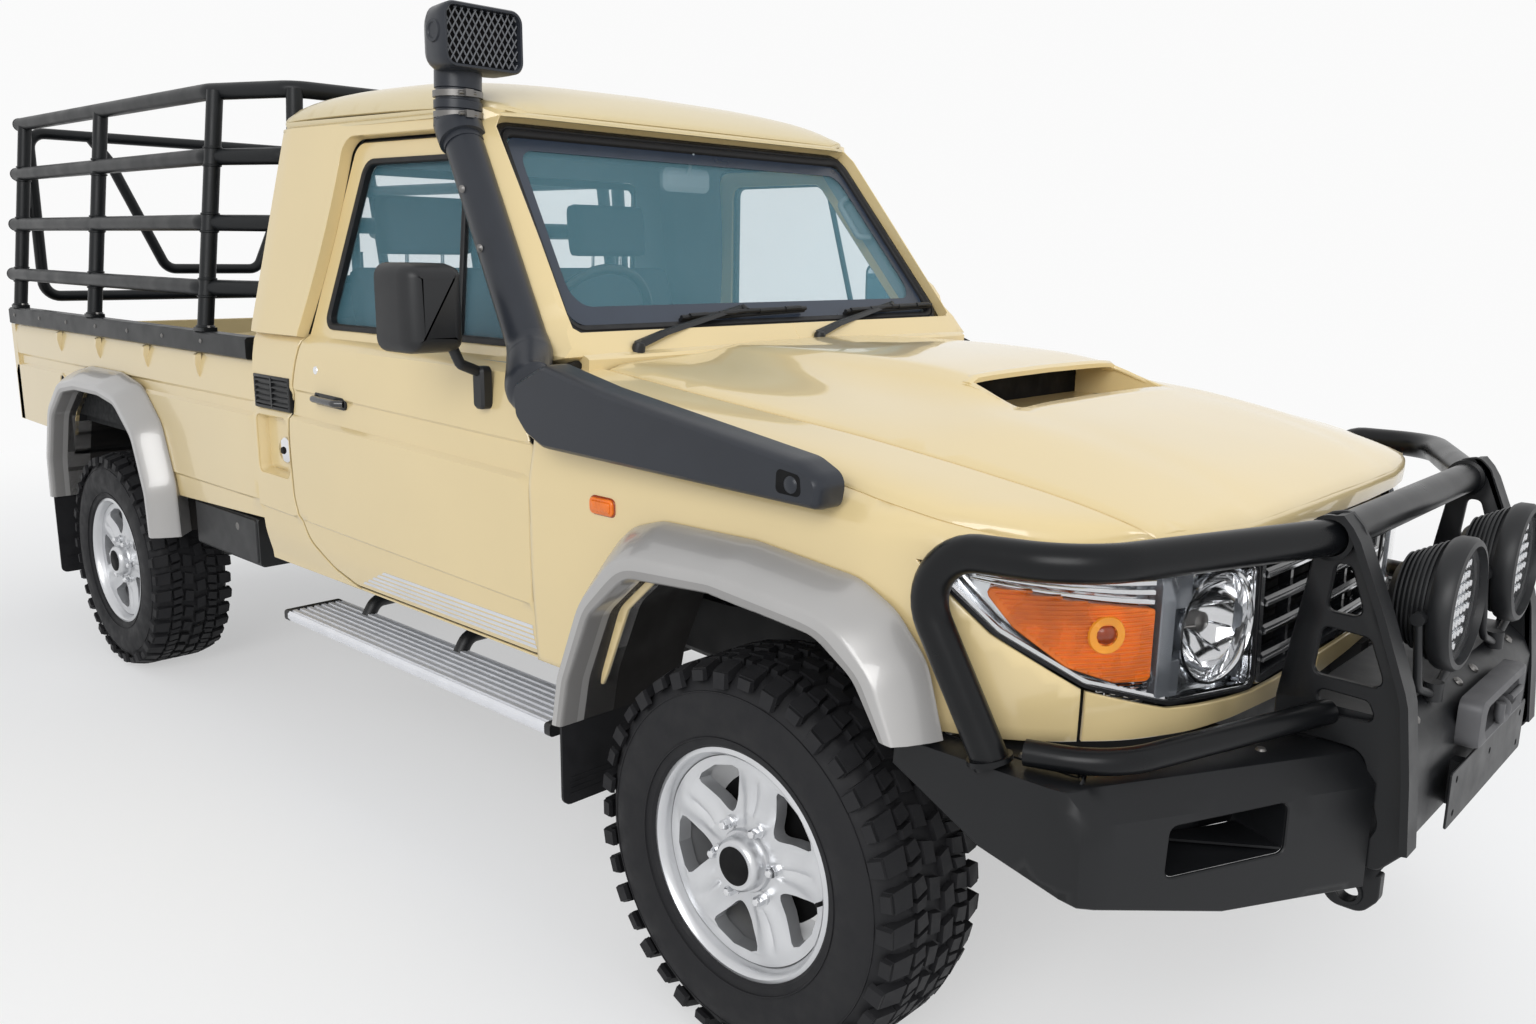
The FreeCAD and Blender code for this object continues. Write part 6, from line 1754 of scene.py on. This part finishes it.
    def face(y, z):
        depths = np.clip([(0.645 - abs(y)) / 0.012, (1.105 - z) / 0.012, (z - 0.875) / 0.012], 0, 1)
        return (-2.56 + 0.011 * float(np.prod(depths)), -y, z)
    skin(gate, outer, face, 0.012, 0.038, lip=0.003)
    for y in (-0.62, 0.62):
        cylinder(gate, (-2.54, y - 0.06, 0.79), (-2.54, y + 0.06, 0.79), 0.012, 20, 1)
        block(gate, -2.552, -2.53, y - 0.03, y + 0.03, 0.792, 0.812, 1)
    handle = rounded_box(-0.075, 0.075, 1.118, 1.16, 0.01)
    band(gate, handle, grown(handle, -0.012), lambda proud: (lambda y, z: (-2.559 - proud, y, z)),
         [(0.0, -0.002), (0.0, 0.0005), (1.0, 0.0005), (1.0, -0.012)], 1)
    piece("tailgate_skin", gate, [PAINT, PLASTIC], "tailgate_leaf", stands_for=["tailgate"])
    lights = Geometry()
    for side in (-1, 1):
        edge = rounded_box(side * 0.7995, side * 0.777, 0.902, 1.118, 0.004, 3)
        prism(lights, edge, "yz", -2.54, -2.511, 1)
        for z0, z1, mark in ((0.905, 0.95, 2), (0.953, 1.0, 3), (1.003, 1.115, 0)):
            prism(lights, [(side * 0.7985, z0), (side * 0.7985, z1), (side * 0.778, z1),
                           (side * 0.778, z0)], "yz", -2.5495, -2.539, mark)
    piece("tail_lamp_pair", lights, [RED, PLASTIC, CLEAR_SOLID, AMBER], bevel=0.001,
          stands_for=["tail_lamps"])


# Cage: four levels of bent tube on welded posts, and its gate

def build_cage():
    sides = 18
    half = Geometry()
    levels = [(1.38, 0.8), (1.572, 0.775), (1.765, 0.75), (1.955, 0.722)]
    for z, y in levels:
        inner = y - 0.12
        tube(half, [(-2.5, y, z), (-0.76, y, z), (-0.47, inner, z), (-0.47, 0.0, z)], 0.0245, 0.07, sides)
        tube(half, [(-2.5005, y, z), (-2.504, y, z)], 0.0255, sides=sides)
    posts = ((-0.72, 0.806, 0.722), (-1.64, 0.806, 0.722), (-2.44, 0.806, 0.722), (-0.47, 0.64, 0.6))
    foot_z, plate_top, post_height = 1.256, 1.2615, 0.699
    for x, low_y, high_y in posts:
        tube(half, [(x, low_y, foot_z), (x, high_y, 1.955)], 0.0235, sides=sides)
        foot = rounded_box(x - 0.034, x + 0.034, low_y - 0.024, low_y + 0.024, 0.006, 3)
        prism(half, foot, "xy", 1.2505, plate_top)
        turned(half, [(0.0235, 0.0), (0.029, 0.001), (0.0265, 0.005), (0.0235, 0.007)],
               (x, low_y, plate_top), UP, AHEAD, sides)
        for end in (-0.026, 0.026):
            screw_head(half, 0.0065, 0.006, 0.0055, 0.0065, (x + end, low_y, plate_top), UP, AHEAD, 8, 1)
        # Weld beads where the tubes meet
        for z, y in levels:
            share = (z - foot_z) / post_height
            spot = np.array((x, low_y + (high_y - low_y) * share, z))
            if share < 0.97:
                for lift in (-0.026, 0.026):
                    turned(half, [(0.0235, -0.004), (0.0275, -0.002), (0.0275, 0.002), (0.0235, 0.004)],
                           spot + np.array((0, (high_y - low_y) * lift / post_height, lift)), UP, AHEAD,
                           sides)
    piece("cage_tubes", half.with_mirror(), [CAGE, STEEL], stands_for=["cage"])
    gate = Geometry()
    x = -2.53
    tube(gate, [(x, 0.0, 1.93), (x, 0.69, 1.93), (x, 0.69, 1.29), (x, 0.0, 1.29)], 0.0215, 0.06, sides)
    tube(gate, [(x, 0.463, 1.93), (x, 0.396, 1.84), (x, 0.2, 1.4), (x, 0.0, 1.4)], 0.0215, 0.06, sides)
    gate = gate.with_mirror()
    for z in (1.44, 1.78):
        cylinder(gate, (x, 0.716, z - 0.04), (x, 0.716, z + 0.04), 0.01, 16)
        turned(gate, [(0.0, 0.0415), (0.011, 0.041), (0.0125, 0.036), (0.01, 0.036)], (x, 0.716, z), UP,
               AHEAD, 16)
    block(gate, x - 0.012, x + 0.012, -0.735, -0.7, 1.59, 1.64)
    piece("cage_gate_tubes", gate, [CAGE], "gate_leaf", stands_for=["cage_gate"])


# Steps, boxes, flaps, mirrors and wipers

def build_side_trim():
    steps = Geometry()
    for side in (-1, 1):
        section = [(0.712, 0.474), (0.708, 0.48), (0.708, 0.494), (0.712, 0.499)]
        for rib in range(7):
            y = 0.72 + rib * 0.0215
            section += [(y, 0.4945), (y + 0.002, 0.4995), (y + 0.0135, 0.4995), (y + 0.0155, 0.4945)]
        section += [(0.872, 0.499), (0.878, 0.492), (0.878, 0.48), (0.872, 0.471), (0.84, 0.47)]
        prism(steps, [(side * y, z) for y, z in section], "yz", -0.15, 1.04)
        for start, end in ((-0.17, -0.15), (1.04, 1.06)):
            cap = rounded_box(side * 0.708, side * 0.878, 0.47, 0.5, 0.008, 3)
            prism(steps, cap, "yz", start, end, 1)
        for x in (0.02, 0.48, 0.93):
            tube(steps, [(x, side * 0.73, 0.482), (x, side * 0.7, 0.53), (x, side * 0.412, 0.533)], 0.019,
                 0.04, 14, 5, mark=1)
            block(steps, x - 0.024, x + 0.024, side * 0.417 - 0.006, side * 0.417 + 0.006, 0.5, 0.598, 1)
    piece("step_treads", steps, [STEP, PLASTIC], stands_for=["side_steps"])
    boxes = Geometry()
    for side in (-1, 1):
        base = rounded_box(side * 0.562, side * 0.786, 0.542, 0.698, 0.014)
        prism(boxes, base, "yz", -0.955, -0.502)
        lid = rounded_box(-0.945, -0.512, 0.552, 0.69, 0.012)
        loft(boxes, [[(x, side * y, z) for x, z in grown(lid, inset)]
                     for y, inset in ((0.78, 0.0), (0.787, 0.0), (0.79, -0.003))])
        screw_head(boxes, 0.003, 0.0025, 0.011, 0.014, (-0.64, side * 0.7885, 0.652),
               (0, side, 0), UP, 20, 1)
        block(boxes, -0.76, -0.69, side * 0.788 - 0.0018, side * 0.788 + 0.0018, 0.64, 0.664, 1)
    piece("side_box_shells", boxes, [PLASTIC, STEEL], bevel=0.002, stands_for=["side_boxes"])
    flaps = Geometry()
    for side in (-1, 1):
        for x, y0, y1, z0, z1 in ((1.164, 0.65, 0.926, 0.361, 0.61), (-2.006, 0.64, 0.89, 0.262, 0.69)):
            edge = rounded_box(side * y0, side * y1, z0, z1, [0.02, 0.003, 0.003, 0.02])
            prism(flaps, edge, "yz", x - 0.0035, x + 0.0035)
            for rib in range(4):
                z = z0 + 0.02 + rib * 0.012
                prism(flaps, [(side * (y0 + 0.02), z), (side * (y0 + 0.02), z + 0.004),
                              (side * (y1 - 0.02), z + 0.004), (side * (y1 - 0.02), z)], "yz", x - 0.0045,
                      x + 0.0045)
    piece("mudflap_sheets", flaps, [RUBBER], stands_for=["mudflaps"])


def mirror_head(shape, centre, half, out, lay):
    """A rounded housing with the glass on the side that out points away from."""
    centre, out, lay, up = np.array(centre), unit(out), unit(lay), unit(UP)
    wide, high, deep = half
    outline = rounded_box(-wide, wide, -high, high, 0.03, 6)
    rings = []
    for depth, inset in ((-deep, -0.006), (-deep + 0.004, 0.0), (0.3 * deep, 0.0), (0.72 * deep, -0.006),
                         (0.93 * deep, -0.018), (deep, -0.034)):
        rings.append([centre + lay * a + up * b + out * depth for a, b in grown(outline, inset)])
    if np.cross(lay, up) @ out > 0:
        rings = [ring[::-1] for ring in rings]
    loft(shape, rings)
    glass = [[centre + lay * a + up * b + out * depth for a, b in grown(outline, inset)]
             for depth, inset in ((-deep + 0.0015, -0.01), (-deep - 0.0008, -0.012))]
    loft(shape, glass, 1)


def mirror_foot(shape, side):
    foot = rounded_box(0.77, 0.81, 1.16, 1.255, 0.012)
    loft(shape, [[(x, side * y, z) for x, z in grown(foot, inset)]
                 for y, inset in ((0.826, 0.0), (0.846, 0.0), (0.852, -0.006))])


def build_mirrors():
    right = Geometry()
    mirror_head(right, (0.7725, -0.97, 1.384), (0.07, 0.094, 0.07), AHEAD, LEFT)
    tube(right, [(0.79, -0.915, 1.31), (0.79, -0.892, 1.262), (0.79, -0.838, 1.24)], 0.012, 0.016, 14, 5)
    mirror_foot(right, -1)
    piece("mirror_right_unit", right, [PLASTIC, MIRROR], "door_right_leaf", angle=42,
          stands_for=["mirror_right"])
    left = Geometry()
    mirror_head(left, (0.5475, 0.94, 1.384), (0.0725, 0.094, 0.045), LEFT, AHEAD)
    tube(left, [(0.6, 0.932, 1.322), (0.68, 0.9, 1.28), (0.79, 0.838, 1.24)], 0.012, 0.016, 14, 5)
    mirror_foot(left, 1)
    piece("mirror_left_unit", left, [PLASTIC, MIRROR], "door_left_leaf", angle=42,
          stands_for=["mirror_left"])


def build_wipers():
    shape = Geometry()
    sets = (((0.99, -0.555, 1.29), (0.893, -0.12, 1.374), (0.91, -0.35, 1.35), (0.902, 0.11, 1.362)),
            ((0.99, 0.07, 1.292), (0.895, 0.5, 1.37), (0.91, 0.27, 1.35), (0.904, 0.68, 1.36)))
    for foot, reach_end, start, end in sets:
        foot, reach_end, start, end = (np.array(spot) for spot in (foot, reach_end, start, end))
        turned(shape, [(0.0, 0.02), (0.011, 0.018), (0.015, 0.01), (0.017, -0.03), (0.0, -0.03)], foot,
               (0.25, 0, 0.97), LEFT, 20)
        knee = foot + (reach_end - foot) * 0.22 + np.array((0.004, 0, 0.016))
        for low, high, wide, thick in ((foot + (0, 0, 0.012), knee, 0.013, 0.009),
                                       (knee, reach_end, 0.01, 0.005)):
            along = unit(high - low)
            aside = unit(np.cross(along, (0.6, 0, 0.8)))
            over = np.cross(aside, along)
            rings = []
            for spot, grow in ((low, 1.0), (high, 0.8)):
                rings.append([spot + aside * wide * grow, spot + over * thick * grow,
                              spot - aside * wide * grow, spot - over * thick * grow])
            loft(shape, rings)
        along = unit(end - start)
        middle = (start + end) / 2 + np.array((0.004, 0, 0.008))
        tube(shape, [start + (0.002, 0, 0.003), middle, end + (0.002, 0, 0.003)], 0.006, sides=8)
        tube(shape, [start - (0.004, 0, 0.003), end - (0.004, 0, 0.003)], 0.005, sides=8)
        for share in (0.12, 0.34, 0.66, 0.88):
            spot = start + (end - start) * share
            tube(shape, [spot - along * 0.03 + (0.005, 0, 0.006), spot + along * 0.03 + (0.005, 0, 0.006)],
                 0.0065, sides=8)
        tube(shape, [middle, reach_end], 0.008, sides=10)
    piece("wiper_arms", shape, [PLASTIC], stands_for=["wipers"])


# Cabin: seats with seams, dashboard, steering wheel, inner mirror, grab handles and visors

def cushion(shape, centre, half, lean, puff, seams):
    """A stuffed block: superellipse sections, pulled in along its seams."""
    power = 5.0
    length, wide, thick = half
    along = np.array((math.cos(lean), 0.0, math.sin(lean)))
    up = np.array((-math.sin(lean), 0.0, math.cos(lean)))
    rings = []
    count = 44
    for u in np.linspace(-1, 1, count):
        edge = (1 - abs(u) ** power) ** (1 / power) if abs(u) < 1 else 0.02
        edge = max(edge, 0.05)
        ring = []
        for a in np.linspace(0, 2 * math.pi, 48, endpoint=False):
            c, s = math.cos(a), math.sin(a)
            y = np.sign(c) * abs(c) ** (2 / power) * wide * (0.9 + 0.1 * edge)
            h = np.sign(s) * abs(s) ** (2 / power) * thick * edge
            swell = 1 + puff * (1 - (y / wide) ** 2) * (1 - u * u)
            dip = 0.0
            if s > 0:
                for seam_y in seams:
                    dip += 0.01 * math.exp(-((abs(y) - seam_y) / 0.009) ** 2)
                    if abs(y) < seam_y:
                        dip += 0.005 * math.exp(-((math.fmod(u * 3.5 + 7.25, 1.0) - 0.5) / 0.09) ** 2)
            ring.append(np.array(centre) + along * (u * length) + np.array(LEFT) * y + up * (h * swell - dip))
        rings.append(ring)
    loft(shape, rings)


def build_seats():
    for hand, side in (("right", -1), ("left", 1)):
        y = side * 0.35
        base = Geometry()
        cushion(base, (0.1, y, 0.985), (0.262, 0.25, 0.058), 0.06, 0.18, (0.165,))
        made = piece("seat_cushion_" + hand, base, [SEAT], angle=60,
                     stands_for=["seat_" + hand])
        back = Geometry()
        cushion(back, (-0.165, y, 1.25), (0.205, 0.245, 0.052), math.pi / 2 + 0.24, 0.18, (0.16,))
        made = piece("seat_back_" + hand, back, [SEAT], angle=60)
        head = Geometry()
        cushion(head, (-0.215, y, 1.572), (0.084, 0.146, 0.046), math.pi / 2 + 0.1, 0.15, ())
        made = piece("headrest_" + hand, head, [SEAT], angle=60)
        posts = Geometry()
        for d in (-0.06, 0.06):
            cylinder(posts, (-0.22, y + d, 1.425), (-0.215, y + d, 1.52), 0.006, 14)
        piece("headrest_posts_" + hand, posts, [CHROME])


def build_dashboard():
    shape = Geometry()
    profile = round_corners([(0.96, 1.104), (0.958, 1.234), (0.88, 1.26), (0.762, 1.26), (0.702, 1.23),
                             (0.692, 1.13), (0.76, 1.022), (0.86, 0.962)],
                            [0.01, 0.02, 0.04, 0.03, 0.02, 0.03, 0.05, 0.03])
    prism(shape, profile, "xz", -0.698, 0.698)
    # Cowl over the instruments, vents and a glovebox line
    hood = round_corners([(0.69, -0.5), (0.69, -0.18), (0.8, -0.2), (0.8, -0.48)], 0.04)
    loft(shape, [[(x, y, z) for x, y in grown(hood, inset)]
                 for z, inset in ((1.25, 0.0), (1.259, -0.002), (1.2615, -0.01))])
    for y in (-0.62, -0.07, 0.07, 0.62):
        for row in range(4):
            block(shape, 0.69, 0.7, y - 0.045, y + 0.045, 1.165 + row * 0.012, 1.17 + row * 0.012, 1)
    block(shape, 0.6885, 0.7, -0.43, -0.25, 1.15, 1.215, 1)
    block(shape, 0.6885, 0.7, -0.13, 0.13, 1.06, 1.145, 1)
    piece("dashboard_skin", shape, [INSIDE, MATTE], angle=35, bevel=0.002,
          stands_for=["dashboard"])
    wheel = Geometry()
    centre = np.array((0.56, -0.34, 1.3))
    axis = unit((-0.906, 0, 0.423))
    forward = unit((0.423, 0, 0.906))
    profile = [(0.18 + 0.013 * math.cos(a), 0.013 * math.sin(a))
               for a in np.linspace(0, 2 * math.pi, 13)[:-1]]
    turned(wheel, profile + [profile[0]], centre, axis, forward)
    turned(wheel, [(0.0, 0.012), (0.04, 0.01), (0.056, 0.0), (0.058, -0.02), (0.03, -0.06), (0.028, -0.165),
                   (0.0, -0.165)], centre, axis, forward, 32)
    aside = np.cross(axis, forward)
    for angle in (0.0, math.pi, -math.pi / 2 - 0.35, -math.pi / 2 + 0.35):
        reach = aside * math.cos(angle) + forward * math.sin(angle)
        tube(wheel, [centre - axis * 0.008 + reach * 0.03, centre + reach * 0.176], 0.01, sides=12)
    for way in (aside, -aside):
        tube(wheel, [centre - axis * 0.045 + way * 0.03, centre - axis * 0.04 + way * 0.19], 0.005, sides=10)
    piece("steering_wheel_rim", wheel, [PLASTIC], angle=45, stands_for=["steering_wheel"])
    small = Geometry()
    outline = rounded_box(-0.081, 0.094, 1.669, 1.733, 0.02, 5)
    rings = [[(x, y, z) for y, z in grown(outline, inset)]
             for x, inset in ((0.532, -0.004), (0.536, 0.0), (0.548, 0.0), (0.558, -0.014))]
    loft(small, rings[::-1])
    tube(small, [(0.553, 0.006, 1.715), (0.575, 0.006, 1.77), (0.56, 0.006, 1.795)], 0.006, 0.02, 10, 4)
    for side in (-1, 1):
        handle = rounded([(0.7, side * 0.64, 1.56), (0.672, side * 0.612, 1.56), (0.6, side * 0.6, 1.66),
                          (0.615, side * 0.625, 1.68)], 0.02, 4)
        tube(small, handle, 0.009, sides=12)
        visor = rounded_box(side * 0.11, side * 0.52, 1.772, 1.786, 0.006, 3)
        prism(small, visor, "yz", 0.38, 0.52)
    piece("cabin_fittings", small, [INSIDE], angle=45)


build_bed()
build_cage()
build_side_trim()
build_mirrors()
build_wipers()
build_seats()
build_dashboard()


# Camera, light, floor and backdrop

def make_camera():
    data = bpy.data.cameras.new("view_camera")
    data.sensor_width = 36.0
    data.lens = 28.8
    data.shift_x = -0.0081
    data.clip_start = 0.05
    data.clip_end = 200.0
    camera = bpy.data.objects.new("view_camera", data)
    bpy.context.scene.collection.objects.link(camera)
    yaw, pitch, roll = math.radians(132.5), math.radians(-11.95), math.radians(0.89)
    forward = Vector((math.cos(pitch) * math.cos(yaw), math.cos(pitch) * math.sin(yaw), math.sin(pitch)))
    right = forward.cross(Vector(UP)).normalized()
    above = right.cross(forward)
    across = right * math.cos(roll) + above * math.sin(roll)
    over = above * math.cos(roll) - right * math.sin(roll)
    turn = Matrix((across, over, -forward)).transposed()
    camera.matrix_world = Matrix.Translation(Vector((3.121, -2.396, 1.512))) @ turn.to_4x4()
    bpy.context.scene.camera = camera


def area_lamp(name, place, target, size, power, glossy=True):
    data = bpy.data.lights.new(name, "AREA")
    data.shape = "RECTANGLE"
    data.size, data.size_y = size
    data.energy = power
    lamp = bpy.data.objects.new(name, data)
    bpy.context.scene.collection.objects.link(lamp)
    lamp.location = place
    lamp.visible_glossy = glossy
    lamp.rotation_mode = "QUATERNION"
    lamp.rotation_quaternion = (Vector(target) - Vector(place)).to_track_quat("-Z", "Y")


def looking_ray(tree):
    """One for rays that look, straight, mirrored or through glass: the pale surround lights nothing."""
    path = node_in(tree, "LightPath")
    found = path.outputs["Is Camera Ray"]
    for kind in ("Is Glossy Ray", "Is Transmission Ray"):
        either = node_in(tree, "Math")
        either.operation = "MAXIMUM"
        join(tree, (found, either.inputs[0]), (path.outputs[kind], either.inputs[1]))
        found = either.outputs[0]
    return found


SURROUND_WHITE = (0.96, 0.96, 0.96, 1.0)


def make_world():
    world = bpy.data.worlds.new("studio")
    bpy.context.scene.world = world
    world.use_nodes = True
    tree = world.node_tree
    tree.nodes.clear()
    seen = node_in(tree, "Background", Color=SURROUND_WHITE, Strength=1.0)
    lit = node_in(tree, "Background", Color=(0.93, 0.96, 1.0, 1.0), Strength=0.6)
    mix = node_in(tree, "MixShader")
    output = node_in(tree, "OutputWorld")
    join(tree, (looking_ray(tree), mix.inputs[0]), (lit.outputs[0], mix.inputs[1]),
         (seen.outputs[0], mix.inputs[2]), (mix.outputs[0], output.inputs["Surface"]))


def make_floor():
    mesh = bpy.data.meshes.new("floor")
    far, level = 60.0, -0.001
    corners = [(-far, -far, level), (far, -far, level), (far, far, level), (-far, far, level)]
    mesh.from_pydata(corners, [], [(0, 1, 2, 3)])
    floor = bpy.data.objects.new("floor", mesh)
    bpy.context.scene.collection.objects.link(floor)
    ground = material("floor_white", (243, 243, 243), rough=0.95, specular=0.0, spread=0.004, grain=2)
    tree = ground.node_tree
    place = node_in(tree, "TexCoord")
    length = node_in(tree, "VectorMath")
    length.operation = "LENGTH"
    # Half white even by the wheels, so that the shadow stays soft, and wholly white far out
    fade = node_in(tree, "MapRange", From_Min=2.2, From_Max=7.0, To_Min=0.5)
    fade.interpolation_type = "SMOOTHSTEP"
    share = node_in(tree, "Math")
    share.operation = "MULTIPLY"
    backdrop = node_in(tree, "Emission", Color=SURROUND_WHITE)
    mix = node_in(tree, "MixShader")
    join(tree, (place.outputs["Object"], length.inputs[0]), (length.outputs["Value"], fade.inputs["Value"]),
         (fade.outputs["Result"], share.inputs[0]), (looking_ray(tree), share.inputs[1]),
         (share.outputs[0], mix.inputs[0]), (tree.nodes["Principled BSDF"].outputs[0], mix.inputs[1]),
         (backdrop.outputs[0], mix.inputs[2]),
         (mix.outputs[0], tree.nodes["Material Output"].inputs["Surface"]))
    mesh.materials.append(ground)


make_camera()
make_world()
make_floor()
area_lamp("key", (4.8, -7.0, 4.6), (0.3, 0, 0.8), (5.0, 4.0), 325)
area_lamp("top", (0.0, 1.0, 7.0), (0, 0, 1.0), (7.0, 5.0), 90, glossy=False)
area_lamp("front_fill", (8.0, 1.5, 3.0), (1.5, 0, 0.9), (4.0, 3.0), 160, glossy=False)
bpy.context.scene.view_settings.view_transform = "Standard"
